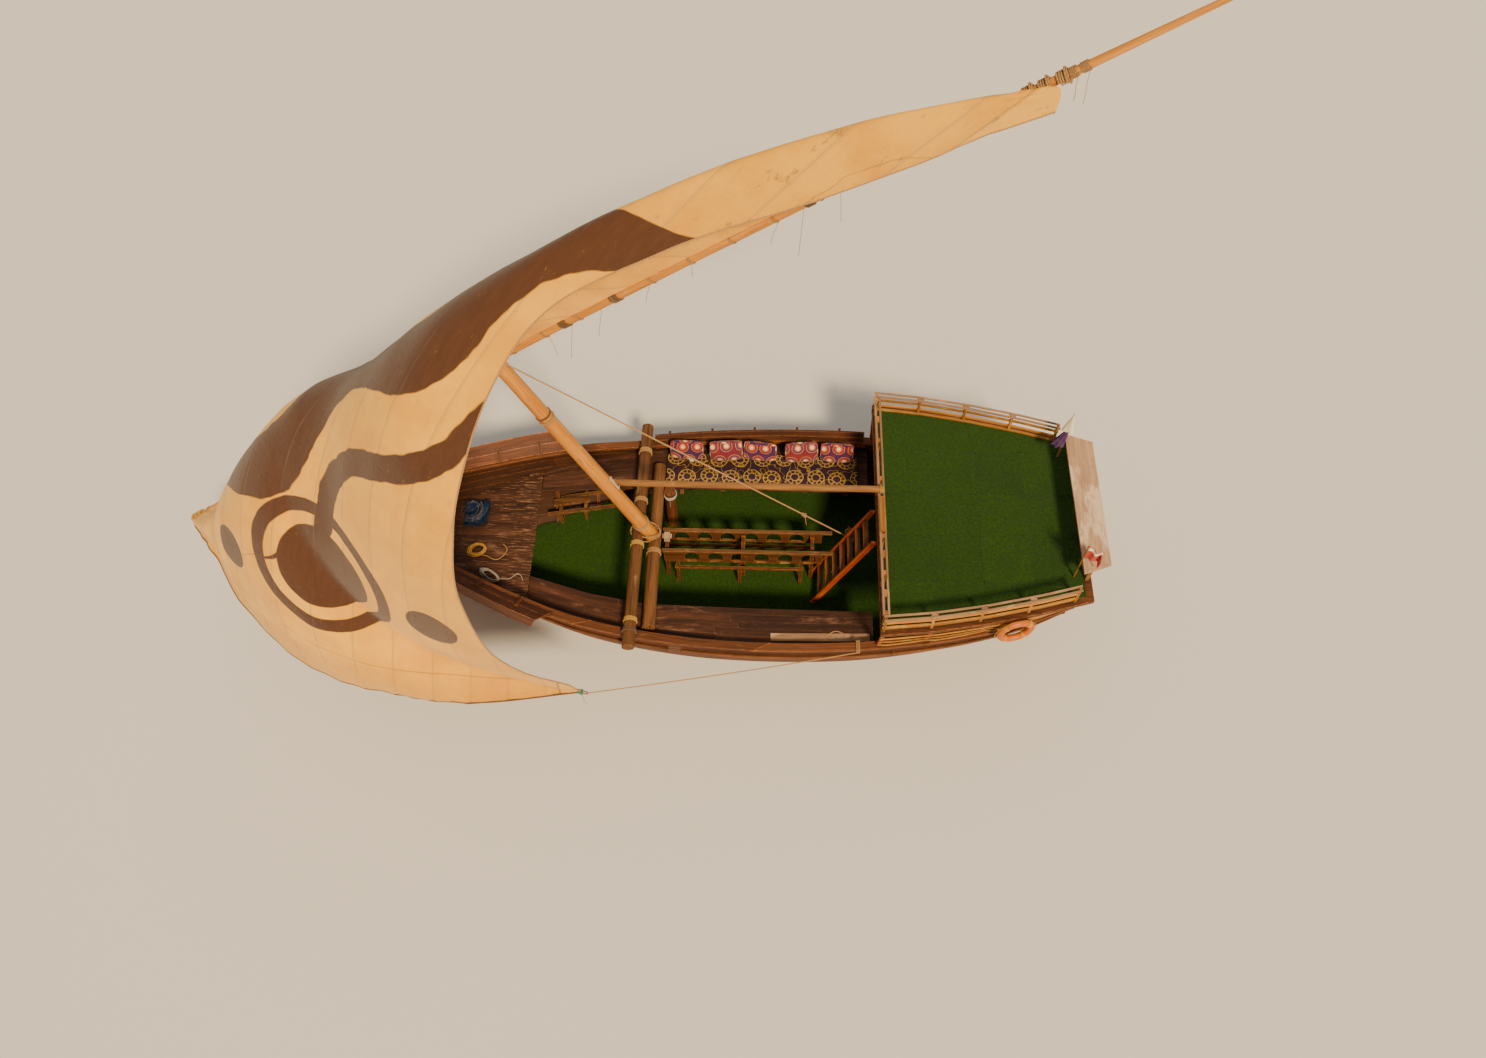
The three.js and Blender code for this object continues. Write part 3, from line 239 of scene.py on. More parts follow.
# Weave: crossing threads on a vector in metres, with a count for each metre
def makeWeave():
    sockets = [("Vector", vectorIn, None), ("Threads", floatIn, 220.0)]
    tree, ins, outs = newGroup("weave", sockets, [("Height", floatIn)])
    parts = axesOf(tree, ins["Vector"])
    waves = []
    for axis in range(3):
        turn = times(tree, times(tree, parts[axis], ins["Threads"]), math.tau)
        waves.append(calc(tree, "SINE", turn))
    pair = calc(tree, "MAXIMUM", waves[0], waves[1])
    tree.links.new(calc(tree, "MAXIMUM", pair, waves[2]), outs["Height"])
    return tree


grainGroup = makeGrain()
wearHighlightGroup = makeEdgeWearAndHighlight()
weaveGroup = makeWeave()


def newMaterial(name, roughness, **sockets):
    material = bpy.data.materials.new(name)
    material.use_nodes = True
    shader = material.node_tree.nodes["Principled BSDF"]
    shader.inputs["Roughness"].default_value = roughness
    for key, value in sockets.items():
        shader.inputs[key.replace("_", " ")].default_value = value
    return material, material.node_tree, shader


def paint(shader, colour):
    shader.id_data.links.new(colour, shader.inputs["Base Color"])


def bump(tree, shader, height, strength, distance):
    inputs = {"Height": height, "Strength": strength, "Distance": distance}
    tree.links.new(newNode(tree, "ShaderNodeBump", inputs).outputs[0], shader.inputs["Normal"])


# Wood: the vector runs along the grain, from a mesh's own map or from an axis of the boat
def grainVector(tree, along):
    if along == "map":
        return mapSpot(tree)
    coordinates = objectSpot(tree)
    turns = {"x": (0, 0, 0), "y": (0, 0, math.pi / 2), "z": (0, math.pi / 2, 0)}
    inputs = {"Vector": coordinates, "Rotation": turns[along]}
    return newNode(tree, "ShaderNodeMapping", inputs).outputs[0]


def woodMaterial(name, kind, along="map"):
    look = {**woodBase, **woodLooks[kind]}
    material, tree, shader = newMaterial(name, look["roughness"], Specular_IOR_Level=0.3)
    vector = grainVector(tree, along)
    tone = toneOf(tree)
    grain = place(tree, grainGroup, {"Vector": vector, "Fineness": look["fineness"], "Tone": tone})
    colour = blendColour(tree, soften(tree, grain["Streaks"], 0.3, 0.72), look["dark"], look["light"])
    shade = soften(tree, tone, 0.0, 1.0, 1.0 - look["boardShade"], 1.0)
    colour = shaded(tree, colour, shade)
    bleached = soften(tree, grain["Patches"], look["bleachFrom"], look["bleachFrom"] + 0.12)
    bleached = times(tree, bleached, look["bleachShare"])
    colour = blendColour(tree, bleached, colour, look["bleach"])
    # Edges take a brighter colour: partly real wear, partly a painted highlight of sunlit edges
    wearAndHighlight = place(tree, wearHighlightGroup, {"Vector": vector, "Width": look["wearHighlightWidth"]})["WearAndHighlight"]
    colour = blendColour(tree, times(tree, wearAndHighlight, look["wearHighlightShare"]), colour, look["wearAndHighlight"])
    # Occlusion darkens corners, recesses and faces under other parts: painted shade, in the same dark colour
    # as the cracks
    dirt = newNode(tree, "ShaderNodeAmbientOcclusion", {"Distance": 0.12}, samples=4).outputs["AO"]
    shadeAndCracks = soften(tree, dirt, 0.35, 0.95, 0.5, 0.0)
    colour = blendColour(tree, shadeAndCracks, colour, look["shadeAndCracks"])
    colour = blendColour(tree, times(tree, grain["Cracks"], 0.75), colour, look["shadeAndCracks"])
    paint(shader, colour)
    bump(tree, shader, grain["Height"], look["bump"], 0.006)
    return material


# Opens a finished wood again, for marks of its own over it
def reopened(material):
    tree = material.node_tree
    shader = tree.nodes["Principled BSDF"]
    return tree, shader, shader.inputs["Base Color"].links[0].from_socket


# Shared by the woods, unless a wood says otherwise
woodBase = {"roughness": 0.6, "fineness": 1.0, "boardShade": 0.3, "bleachFrom": 0.56, "bleachShare": 0.5,
            "wearHighlightWidth": 0.012, "wearHighlightShare": 0.9, "bump": 0.6}
# Each wood's edge colour is partly real wear, partly a painted highlight of sunlit edges; its darkest colour
# paints both the cracks and the shade in corners
woodLooks = {
    "planks": {"dark": (0.060, 0.019, 0.009), "light": (0.20, 0.062, 0.025), "bleach": (0.27, 0.13, 0.085),
               "wearAndHighlight": (0.85, 0.27, 0.040), "shadeAndCracks": (0.016, 0.008, 0.006), "boardShade": 0.45,
               "bleachFrom": 0.60, "bleachShare": 0.40, "wearHighlightWidth": 0.013, "bump": 0.5},
    "deck": {"dark": (0.036, 0.014, 0.008), "light": (0.130, 0.047, 0.025), "bleach": (0.26, 0.130, 0.080),
             "wearAndHighlight": (0.46, 0.20, 0.085), "shadeAndCracks": (0.014, 0.008, 0.006), "roughness": 0.68,
             "boardShade": 0.5, "bleachShare": 0.6, "wearHighlightWidth": 0.009, "wearHighlightShare": 0.7},
    "timber": {"dark": (0.075, 0.024, 0.009), "light": (0.26, 0.088, 0.026), "bleach": (0.36, 0.17, 0.080),
               "wearAndHighlight": (0.80, 0.28, 0.045), "shadeAndCracks": (0.020, 0.010, 0.006), "roughness": 0.62,
               "fineness": 1.1, "boardShade": 0.35, "bleachFrom": 0.60, "bleachShare": 0.4,
               "wearHighlightWidth": 0.014},
    "log": {"dark": (0.075, 0.030, 0.012), "light": (0.30, 0.130, 0.042), "bleach": (0.46, 0.27, 0.13),
            "wearAndHighlight": (0.70, 0.35, 0.09), "shadeAndCracks": (0.022, 0.011, 0.007), "roughness": 0.72, "fineness": 0.9,
            "bleachShare": 0.55, "wearHighlightWidth": 0.014, "wearHighlightShare": 0.7, "bump": 0.8},
    "spar": {"dark": (0.46, 0.155, 0.016), "light": (0.78, 0.340, 0.045), "bleach": (0.84, 0.49, 0.15),
             "wearAndHighlight": (0.86, 0.52, 0.18), "shadeAndCracks": (0.12, 0.050, 0.016), "roughness": 0.52, "fineness": 0.8,
             "boardShade": 0.15, "bleachFrom": 0.58, "bleachShare": 0.45, "wearHighlightWidth": 0.01,
             "wearHighlightShare": 0.5, "bump": 0.4},
    "paleWood": {"dark": (0.23, 0.088, 0.022), "light": (0.56, 0.265, 0.072), "bleach": (0.72, 0.43, 0.16),
                 "wearAndHighlight": (0.80, 0.48, 0.17), "shadeAndCracks": (0.062, 0.030, 0.016), "fineness": 1.1,
                 "wearHighlightWidth": 0.008, "wearHighlightShare": 0.8, "bump": 0.45},
    "weathered": {"dark": (0.44, 0.25, 0.150), "light": (0.74, 0.48, 0.300), "bleach": (0.82, 0.62, 0.44),
                  "wearAndHighlight": (0.90, 0.70, 0.46), "shadeAndCracks": (0.12, 0.070, 0.050), "roughness": 0.72,
                  "boardShade": 0.2, "bleachFrom": 0.5, "bleachShare": 0.7, "wearHighlightShare": 0.6},
    "greyed": {"dark": (0.24, 0.128, 0.074), "light": (0.50, 0.290, 0.170), "bleach": (0.60, 0.40, 0.25),
               "wearAndHighlight": (0.72, 0.50, 0.30), "shadeAndCracks": (0.070, 0.036, 0.022), "roughness": 0.7,
               "fineness": 1.1, "bleachFrom": 0.52, "bleachShare": 0.6, "wearHighlightWidth": 0.006,
               "wearHighlightShare": 0.6, "bump": 0.5},
    "gold": {"dark": (0.30, 0.105, 0.018), "light": (0.74, 0.33, 0.055), "bleach": (0.80, 0.50, 0.17),
             "wearAndHighlight": (0.92, 0.56, 0.15), "shadeAndCracks": (0.060, 0.024, 0.010), "roughness": 0.58, "fineness": 1.1,
             "boardShade": 0.45, "bleachShare": 0.55, "wearHighlightWidth": 0.008, "wearHighlightShare": 0.8, "bump": 0.45},
    "redWood": {"dark": (0.25, 0.034, 0.010), "light": (0.66, 0.115, 0.020), "bleach": (0.66, 0.26, 0.08),
                "wearAndHighlight": (0.70, 0.36, 0.15), "shadeAndCracks": (0.040, 0.012, 0.006), "roughness": 0.5,
                "bleachFrom": 0.57, "wearHighlightShare": 0.95, "bump": 0.4},
}
woods = {}


def wood(kind, along="map"):
    key = kind if along == "map" else f"{kind}_{along}"
    if key not in woods:
        woods[key] = woodMaterial(key, kind, along)
    return woods[key]


def ropeMaterial(name, dark, light):
    material, tree, shader = newMaterial(name, 0.85, Specular_IOR_Level=0.2, Sheen_Weight=0.25)
    vector = objectSpot(tree)
    fibres = noiseOn(tree, vector, 160.0, 3.0)
    soil = noiseOn(tree, vector, 3.0, 4.0)
    colour = blendColour(tree, soften(tree, fibres, 0.3, 0.7), dark, light)
    colour = blendColour(tree, soften(tree, soil, 0.5, 0.75, 0.0, 0.45), colour, dark)
    paint(shader, colour)
    bump(tree, shader, fibres, 0.6, 0.002)
    return material


ropes = {
    "pale": ropeMaterial("ropePale", (0.26, 0.125, 0.045), (0.60, 0.34, 0.13)),
    "yellow": ropeMaterial("ropeYellow", (0.34, 0.16, 0.02), (0.76, 0.45, 0.07)),
    "grey": ropeMaterial("ropeGrey", (0.20, 0.18, 0.16), (0.62, 0.58, 0.52)),
    "dull": ropeMaterial("ropeDull", (0.09, 0.075, 0.06), (0.30, 0.26, 0.21)),
    "dark": ropeMaterial("ropeDark", (0.06, 0.028, 0.014), (0.23, 0.115, 0.050)),
}


def newObject(name, data):
    piece = bpy.data.objects.new(name, data)
    collection.objects.link(piece)
    return piece


# A part holds points, faces, a place along the grain for each corner of a face, and a tone
def newPart(tone=None):
    return {"points": [], "faces": [], "places": [], "tone": chance.random() if tone is None else tone}


# The level direction across a bar
def sideOf(direction, steep=0.9):
    level = Vector((0, 0, 1)) if abs(direction.z) < steep else Vector((1, 0, 0))
    return direction.cross(level).normalized()


def distances(points):
    steps = [0.0]
    for a, b in zip(points, points[1:]):
        steps.append(steps[-1] + (b - a).length)
    return steps


# A closed board between two grids of points; rows run along the grain
def slabPart(upper, lower, tone=None):
    part = newPart(tone)
    upper, lower = [[[Vector(p) for p in row] for row in face] for face in (upper, lower)]
    rows, columns = len(upper), len(upper[0])
    along = distances([row[0] for row in upper])
    across = distances(upper[rows // 2])
    depth = (upper[0][0] - lower[0][0]).length
    part["points"] = [p for row in upper + lower for p in row]
    count = rows * columns

    def add(corners, places):
        part["faces"].append(corners)
        part["places"].append(places)

    for i in range(rows - 1):
        for j in range(columns - 1):
            a, d = i * columns + j, (i + 1) * columns + j
            b, c = a + 1, d + 1
            flat = [(along[i], across[j]), (along[i], across[j + 1]), (along[i + 1], across[j + 1]),
                    (along[i + 1], across[j])]
            add((a, b, c, d), flat)
            add((count + a, count + d, count + c, count + b), [flat[0], flat[3], flat[2], flat[1]])
        for j, flip in ((0, False), (columns - 1, True)):
            a, d = i * columns + j, (i + 1) * columns + j
            corners = (a, d, count + d, count + a)
            places = [(along[i], across[j]), (along[i + 1], across[j]),
                      (along[i + 1], across[j] + depth), (along[i], across[j] + depth)]
            add(corners[::-1] if flip else corners, places[::-1] if flip else places)
    for i, flip in ((0, True), (rows - 1, False)):
        for j in range(columns - 1):
            a, b = i * columns + j, i * columns + j + 1
            corners = (a, b, count + b, count + a)
            places = [(along[i], across[j]), (along[i], across[j + 1]),
                      (along[i] + depth, across[j + 1]), (along[i] + depth, across[j])]
            add(corners if flip else corners[::-1], places if flip else places[::-1])
    return part


def stripPart(rows, depth):
    return slabPart(rows, [[p - Vector((0, 0, depth)) for p in row] for row in rows])


# A squared bar between two points; width lies level, depth stands up
def barPart(start, end, width, depth, tone=None, rows=2):
    start, end = Vector(start), Vector(end)
    direction = (end - start).normalized()
    side = sideOf(direction, 0.95) * (width / 2)
    over = side.cross(direction).normalized() * (depth / 2)
    steps = [start.lerp(end, i / (rows - 1)) for i in range(rows)]
    upper = [[p + side + over, p - side + over] for p in steps]
    lower = [[p + side - over, p - side - over] for p in steps]
    return slabPart(upper, lower, tone)


# Directions across a path that turn as little as they can
def sectionFrames(path):
    tangents = []
    for i in range(len(path)):
        tangents.append((path[min(i + 1, len(path) - 1)] - path[max(i - 1, 0)]).normalized())
    side = sideOf(tangents[0])
    result = []
    for tangent in tangents:
        side = (side - tangent * side.dot(tangent)).normalized()
        result.append((side, tangent.cross(side).normalized()))
    return result


# Faces round a bar from ring to ring, and its two ends
def addTube(part, along, sides, width, endReach):
    for i, (low, high) in enumerate(zip(along, along[1:])):
        for k in range(sides):
            a, b = i * sides + k, i * sides + (k + 1) % sides
            part["faces"].append((a, a + sides, b + sides, b))
            part["places"].append([(low, k * width), (high, k * width), (high, (k + 1) * width),
                                   (low, (k + 1) * width)])
    end = (len(along) - 1) * sides
    for corners in (tuple(range(sides)), tuple(end + k for k in reversed(range(sides)))):
        part["faces"].append(corners)
        part["places"].append([(endReach * math.cos(k), endReach * math.sin(k)) for k in range(sides)])


endRings = [(0.0, 0.8425), (0.5, 0.45)]  # reach past the end and radius, as shares


# A round bar through points with a radius at each and rounded ends; wobble is a share of the radius
def roundPart(path, radii, sides=16, wobble=0.0, tone=None, roundEnds=0.35):
    part = newPart(tone)
    path = [Vector(p) for p in path]
    crossings = sectionFrames(path)
    along = distances(path)
    width = math.tau * max(radii) / sides
    rings = []
    for i, (centre, radius, (side, over)) in enumerate(zip(path, radii, crossings)):
        rings.append((centre, radius, side, over, along[i]))
    first, last = rings[0], rings[-1]
    ahead = (path[1] - path[0]).normalized()
    behind = (path[-1] - path[-2]).normalized()
    for reach, shrink in endRings[::-1]:
        rings.insert(0, (first[0] - ahead * first[1] * roundEnds * reach, first[1] * shrink, *first[2:]))
    for reach, shrink in endRings:
        rings.append((last[0] + behind * last[1] * roundEnds * reach, last[1] * shrink, *last[2:]))
    seed = part["tone"] * 50.0
    for centre, radius, side, over, distance in rings:
        for k in range(sides):
            angle = math.tau * k / sides
            out = side * math.cos(angle) + over * math.sin(angle)
            bulge = noise.noise(Vector((distance * 2.0 + seed, out.x * 1.4, out.y * 1.4 + out.z * 1.4)))
            part["points"].append(centre + out * radius * (1 + wobble * bulge))
    addTube(part, [ring[4] for ring in rings], sides, width, 0.02)
    return part


# Laid rope: a three-lobed section that turns along the path
def ropePart(path, diameter, lay=4.5, tone=None, sides=9, steps=7):
    part = newPart(tone)
    path = resampled([Vector(p) for p in path], diameter * lay / steps)
    crossings = sectionFrames(path)
    along = distances(path)
    for centre, distance, (side, over) in zip(path, along, crossings):
        turn = math.tau * distance / (diameter * lay)
        for k in range(sides):
            angle = math.tau * k / sides
            radius = diameter / 2 * (0.88 + 0.12 * math.cos(3 * angle))
            out = side * math.cos(angle + turn) + over * math.sin(angle + turn)
            part["points"].append(centre + out * radius)
    addTube(part, along, sides, 0.01, 0.0)
    part["path"] = path
    return part


# Points round a loop, from a function of the angle
def loopPath(steps, spot, turns=1):
    return [spot(math.tau * k / steps) for k in range(steps * turns + 1)]


# A grid of points, from a function of two shares
def drawnGrid(rows, columns, spot):
    return [[spot(i / rows, j / columns) for j in range(columns + 1)] for i in range(rows + 1)]


def thinRope(path, diameter):
    return ropePart(path, diameter, sides=7, steps=5)


def resampled(path, step):
    along = distances(path)
    count = max(2, int(along[-1] / step) + 1)
    result = []
    for i in range(count):
        target = along[-1] * i / (count - 1)
        j = min(int(np.searchsorted(along, target, side="right")) - 1, len(path) - 2)
        share = (target - along[j]) / max(along[j + 1] - along[j], 1e-9)
        result.append(path[j].lerp(path[j + 1], share))
    return result


# A smooth curve through a few points
def smoothPath(points, steps=8):
    points = [Vector(p) for p in points]
    result = []
    for i in range(len(points) - 1):
        p0, p1 = points[max(i - 1, 0)], points[i]
        p2, p3 = points[i + 1], points[min(i + 2, len(points) - 1)]
        for s in range(steps):
            t = s / steps
            result.append(0.5 * (2 * p1 + (p2 - p0) * t + (2 * p0 - 5 * p1 + 4 * p2 - p3) * t * t
                                 + (3 * p1 - p0 - 3 * p2 + p3) * t ** 3))
    result.append(points[-1])
    return result


# Turns of rope round a bar: centre line, radius of the bar, turns side by side
def wrapPath(centre, direction, radius, diameter, turns, steps=22, squash=1.0):
    centre, direction = Vector(centre), Vector(direction).normalized()
    side = sideOf(direction)
    over = side.cross(direction).normalized()
    result = []
    for i in range(int(turns * steps) + 1):
        angle = math.tau * i / steps
        along = (i / steps - turns / 2) * diameter * 1.02
        reach = radius + diameter * 0.5
        result.append(centre + direction * along + side * math.cos(angle) * reach
                      + over * math.sin(angle) * reach * squash)
    return result


# Joins parts into one piece, with its grain map and a tone for each part
def makePiece(name, parts, material, body="hull", replaces=(), bevel=0.0, smooth=35):
    points, faces, places, tones = [], [], [], []
    for part in parts:
        base = len(points)
        points.extend(part["points"])
        for corners, spots in zip(part["faces"], part["places"]):
            faces.append(tuple(base + k for k in corners))
            places.extend(spots)
            tones.append(part["tone"])
    mesh = bpy.data.meshes.new(name)
    mesh.from_pydata(points, [], faces)
    layer = mesh.uv_layers.new(name="grain")
    layer.data.foreach_set("uv", [value for spot in places for value in spot])
    tone = mesh.attributes.new("tone", "FLOAT", "FACE")
    tone.data.foreach_set("value", tones)
    mesh.materials.append(material)
    mesh.shade_smooth()
    mesh.set_sharp_from_angle(angle=math.radians(smooth))
    piece = newObject(name, mesh)
    if bevel:
        addBevel(piece, bevel)
    if replaces:
        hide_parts(*replaces)
    if body:
        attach(piece, body)
    return piece


def ropePiece(name, parts, colour, body="hull", replaces=()):
    return makePiece(name, parts, ropes[colour], body=body, replaces=replaces)


def addBevel(piece, width):
    modifier = piece.modifiers.new("bevel", "BEVEL")
    modifier.width = width
    modifier.segments = 2
    modifier.limit_method = "ANGLE"
    modifier.angle_limit = math.radians(40)
    modifier.harden_normals = False


# Rope coils on the foredeck: cords of their own, lying free
coils = {
    "yellowCoil": {"node": "rope_coil_yellow", "diameter": 0.014, "turns": 10.25, "colour": "yellow",
                   "centre": (4.25, 0.33), "ring": 0.138, "tube": 0.030, "shape": (1.0, 0.80), "turn": 0.3,
                   "length": 9.0,
                   "tail": [(4.07, 0.46), (3.90, 0.52), (3.78, 0.44), (3.72, 0.30), (3.80, 0.20)]},
    "greyCoil": {"node": "rope_coil_grey", "diameter": 0.016, "turns": 9.5, "colour": "grey",
                 "centre": (3.95, 0.85), "ring": 0.160, "tube": 0.030, "shape": (1.12, 0.46), "turn": -0.6,
                 "length": 8.5,
                 "tail": [(3.74, 0.92), (3.60, 0.90), (3.48, 0.80), (3.40, 0.84), (3.36, 0.93)]},
}
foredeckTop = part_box("foredeck")[1].z


def coilRoute(look):
    x, y = look["centre"]
    radius = look["diameter"] / 2
    path = []
    steps = 26
    layers = [-1.0, 0.5, -0.4, 0.9, 0.1, -0.8, 0.7, -0.2, 0.6, -0.6, 0.3, 0.0]
    swirl, squash = Matrix.Rotation(look["turn"], 2), look["shape"]
    for i in range(int(look["turns"] * steps) + 1):
        angle = math.tau * i / steps
        turn = i / steps
        k = min(int(turn), len(layers) - 2)
        share = turn - k
        ease = share * share * (3 - 2 * share)
        offset = (layers[k] + (layers[k + 1] - layers[k]) * ease) * look["tube"]
        reach = look["ring"] + offset
        lift = radius * (1 + 0.85 * turn) + 0.0015
        drift = Vector((math.cos(turn * 2.1), math.sin(turn * 2.7))) * 0.017 * min(1, turn)
        flat = Vector((reach * math.cos(angle) * squash[0], reach * math.sin(angle) * squash[1]))
        spot = swirl @ flat + drift
        path.append(Vector((x + spot.x, y + spot.y, foredeckTop + lift)))
    end = path[-1]
    drop = foredeckTop + radius + 0.0015
    tail = [end, Vector((*look["tail"][0], max(drop, end.z - 0.03)))]
    tail += [Vector((*spot, drop)) for spot in look["tail"][1:]]
    return path[:-1] + smoothPath(tail, 10)


def makeCoils():
    for name, look in coils.items():
        part = ropePart(coilRoute(look), look["diameter"], sides=8, steps=5)
        piece = ropePiece(name, [part], look["colour"], replaces=[look["node"]])
        length = distances(part["path"])[-1]
        print(f"{name}: {length:.2f} m of rope")
        tuple(part["path"][0])
        [tuple(p) for p in part["path"]]


makeCoils()
print("coils laid")


# Hull shape: the stations of the model, in metres
stations = [
    # x at sheer, x at keel, half beam, sheer height, keel height, fullness
    (-6.25, -5.45, 1.400, 1.330, -0.42, 1.50),
    (-5.50, -4.95, 1.680, 1.250, -0.52, 1.75),
    (-4.50, -4.15, 1.930, 1.180, -0.60, 2.00),
    (-3.50, -3.30, 2.090, 1.120, -0.65, 2.20),
    (-2.40, -2.30, 2.195, 1.080, -0.68, 2.35),
    (-1.10, -1.05, 2.220, 1.045, -0.70, 2.40),
    (0.20, 0.20, 2.160, 1.035, -0.70, 2.40),
    (1.40, 1.30, 2.010, 1.060, -0.70, 2.30),
    (2.40, 2.15, 1.830, 1.170, -0.69, 2.10),
    (3.30, 2.90, 1.550, 1.320, -0.67, 1.90),
    (4.20, 3.60, 1.200, 1.470, -0.64, 1.70),
    (5.00, 4.20, 0.860, 1.610, -0.59, 1.50),
    (5.70, 4.60, 0.530, 1.750, -0.53, 1.38),
    (6.20, 4.83, 0.265, 1.860, -0.46, 1.28),
    (6.50, 4.95, 0.130, 1.930, -0.40, 1.20),
]
hullLook = {"plank": 0.045, "keelHalf": 0.0703}


def mix(a, b, t):
    return a + (b - a) * t


def sectionPoint(station, share, inset=0.0):
    xSheer, xKeel, half, sheer, keel, fullness = station
    angle = share * math.pi / 2

    def spot(turn):
        turn = min(max(turn, 1e-4), math.pi / 2)
        height = 1 - max(math.cos(turn), 0.0) ** (2 / fullness)
        out = math.sin(turn) ** (2 / fullness)
        return Vector((mix(xKeel, xSheer, height), mix(hullLook["keelHalf"], half, out),
                       mix(keel, sheer, height)))

    point = spot(angle)
    if not inset:
        return point
    ahead, back = spot(angle + 0.04), spot(angle - 0.04)
    tangent = Vector((ahead.y - back.y, ahead.z - back.z)).normalized()
    y = max(point.y - tangent.y * inset, hullLook["keelHalf"])
    return Vector((point.x, y, point.z + tangent.x * inset))


# Where a station's side passes a height, as a share of its curve
def shareAt(station, z):
    sheer, keel, fullness = station[3:]
    height = (z - keel) / (sheer - keel)
    return math.acos(max(0.0, 1 - height) ** (fullness / 2)) / (math.pi / 2)


def stationAt(place):
    i = min(int(place), len(stations) - 2)
    t = place - i
    rows = [stations[max(i - 1, 0)], stations[i], stations[i + 1], stations[min(i + 2, len(stations) - 1)]]
    values = []
    for a, b, c, d in zip(*rows):
        values.append(0.5 * (2 * b + (c - a) * t + (2 * a - 5 * b + 4 * c - d) * t * t
                             + (3 * b - a - 3 * c + d) * t ** 3))
    return values


# Sail: sections from the luff, on the yard, to the free edge. Each is a cubic curve with two handles.
sailSections = [
    # share of the luff; x, y, z of the free edge; rise and outward draw at the luff;
    # rise, forward draw and pull along the chord at the edge
    (0.00, 9.02, 0.43, 1.79, 0.03, 0.06, 0.00, 0.00, 0.30),
    (0.06, 8.43, 1.10, 2.00, 0.45, 0.95, 0.00, -0.20, 0.27),
    (0.12, 7.78, 1.95, 1.82, 1.05, 1.15, 0.20, 0.05, 0.23),
    (0.18, 6.98, 2.68, 1.70, 2.10, 1.15, 0.50, 0.45, 0.18),
    (0.24, 6.00, 3.22, 1.76, 3.00, 1.08, 0.75, 0.85, 0.14),
    (0.30, 4.85, 3.60, 2.08, 3.50, 0.80, 1.25, 1.75, 0.10),
    (0.35, 3.55, 3.77, 2.22, 3.70, 0.50, 2.20, 2.60, 0.07),
    (0.40, 1.92, 3.50, 2.10, 3.65, 0.45, 3.80, 3.90, 0.06),
    (0.44, 2.88, 3.72, 3.70, 3.50, 0.50, 1.65, 2.50, 0.08),
    (0.48, 3.13, 3.65, 5.30, 3.30, 0.57, 1.20, 1.40, 0.10),
    (0.53, 2.99, 3.32, 6.72, 3.08, 0.58, 1.10, 0.80, 0.13),
    (0.58, 2.75, 2.86, 7.54, 2.85, 0.58, 1.10, 0.70, 0.16),
    (0.64, 2.37, 2.28, 8.28, 2.55, 0.57, 0.92, 0.45, 0.20),
    (0.72, 1.62, 1.61, 8.98, 2.20, 0.45, 0.70, -0.05, 0.25),
    (0.80, 0.25, 1.16, 9.47, 1.85, 0.18, 0.55, -0.45, 0.28),
    (0.90, -1.45, 0.84, 9.98, 1.15, 0.12, 0.45, -0.68, 0.32),
    (1.00, -3.85, 0.42, 10.84, 0.05, 0.15, 0.20, -0.30, 0.37),
]
clewRow = 7
yardTack, yardTip = Vector((9.1, 0.275, 1.75)), Vector((-5.48, 0.275, 12.24))
yardDirection = (yardTip - yardTack).normalized()
yardUp = Vector((yardDirection.z, 0, -yardDirection.x))
luffDirection = (yardUp + Vector((0, 1, 0))).normalized()
yardRadii = [
    # share of the length, radius
    (0.00, 0.050), (0.10, 0.066), (0.22, 0.082), (0.40, 0.095), (0.55, 0.092),
    (0.70, 0.080), (0.85, 0.060), (0.95, 0.042), (1.00, 0.032),
]
sailLook = {
    "thickness": 0.006, "offset": 0.0025, "foot": 0.004, "head": 0.8835,
    "rows": 150, "columns": 84, "panel": 0.62,
}


def yardWay(share, step=0.004):
    return yardPoint(share + step) - yardPoint(share - step)


def readTable(table, x):
    return float(np.interp(x, [row[0] for row in table], [row[1] for row in table]))


def yardPoint(share):
    return yardTack.lerp(yardTip, share) + yardUp * 0.19 * math.sin(math.pi * share)


def smoothRow(table, share):
    def slope(i):
        before, here, after = table[max(i - 1, 0)], table[i], table[min(i + 1, len(table) - 1)]
        if before is here or after is here:
            return [(b - a) / (after[0] - before[0]) for a, b in zip(before, after)]
        weight = (here[0] - before[0]) / (after[0] - before[0])
        return [mix((b - a) / (here[0] - before[0]), (c - b) / (after[0] - here[0]), weight)
                for a, b, c in zip(before, here, after)]

    i = 0
    while i < len(table) - 2 and table[i + 1][0] < share:
        i += 1
    width = table[i + 1][0] - table[i][0]
    t = (share - table[i][0]) / width
    first, second = slope(i), slope(i + 1)
    return [mix(a, b, t * t * (3 - 2 * t)) + width * (s0 * t * (1 - t) ** 2 - s1 * t * t * (1 - t))
            for a, b, s0, s1 in zip(table[i], table[i + 1], first, second)]


def sailRow(share):
    table = sailSections[:clewRow + 1] if share <= sailSections[clewRow][0] else sailSections[clewRow:]
    return smoothRow(table, share)


def sailHandles(share):
    row = sailRow(share)
    along = mix(sailLook["foot"], sailLook["head"], share)
    luff = yardPoint(along) + luffDirection * (readTable(yardRadii, along) + sailLook["offset"])
    edge = Vector(row[1:4])
    near = luff + yardUp * row[4] + Vector((0, row[5], 0))
    far = edge + yardUp * row[6] - yardDirection * row[7] - (edge - luff) * row[8]
    return luff, near, far, edge


def sailPoint(share, t):
    a, b, c, d = sailHandles(share)
    return a * (1 - t) ** 3 + b * 3 * t * (1 - t) ** 2 + c * 3 * t * t * (1 - t) + d * t ** 3


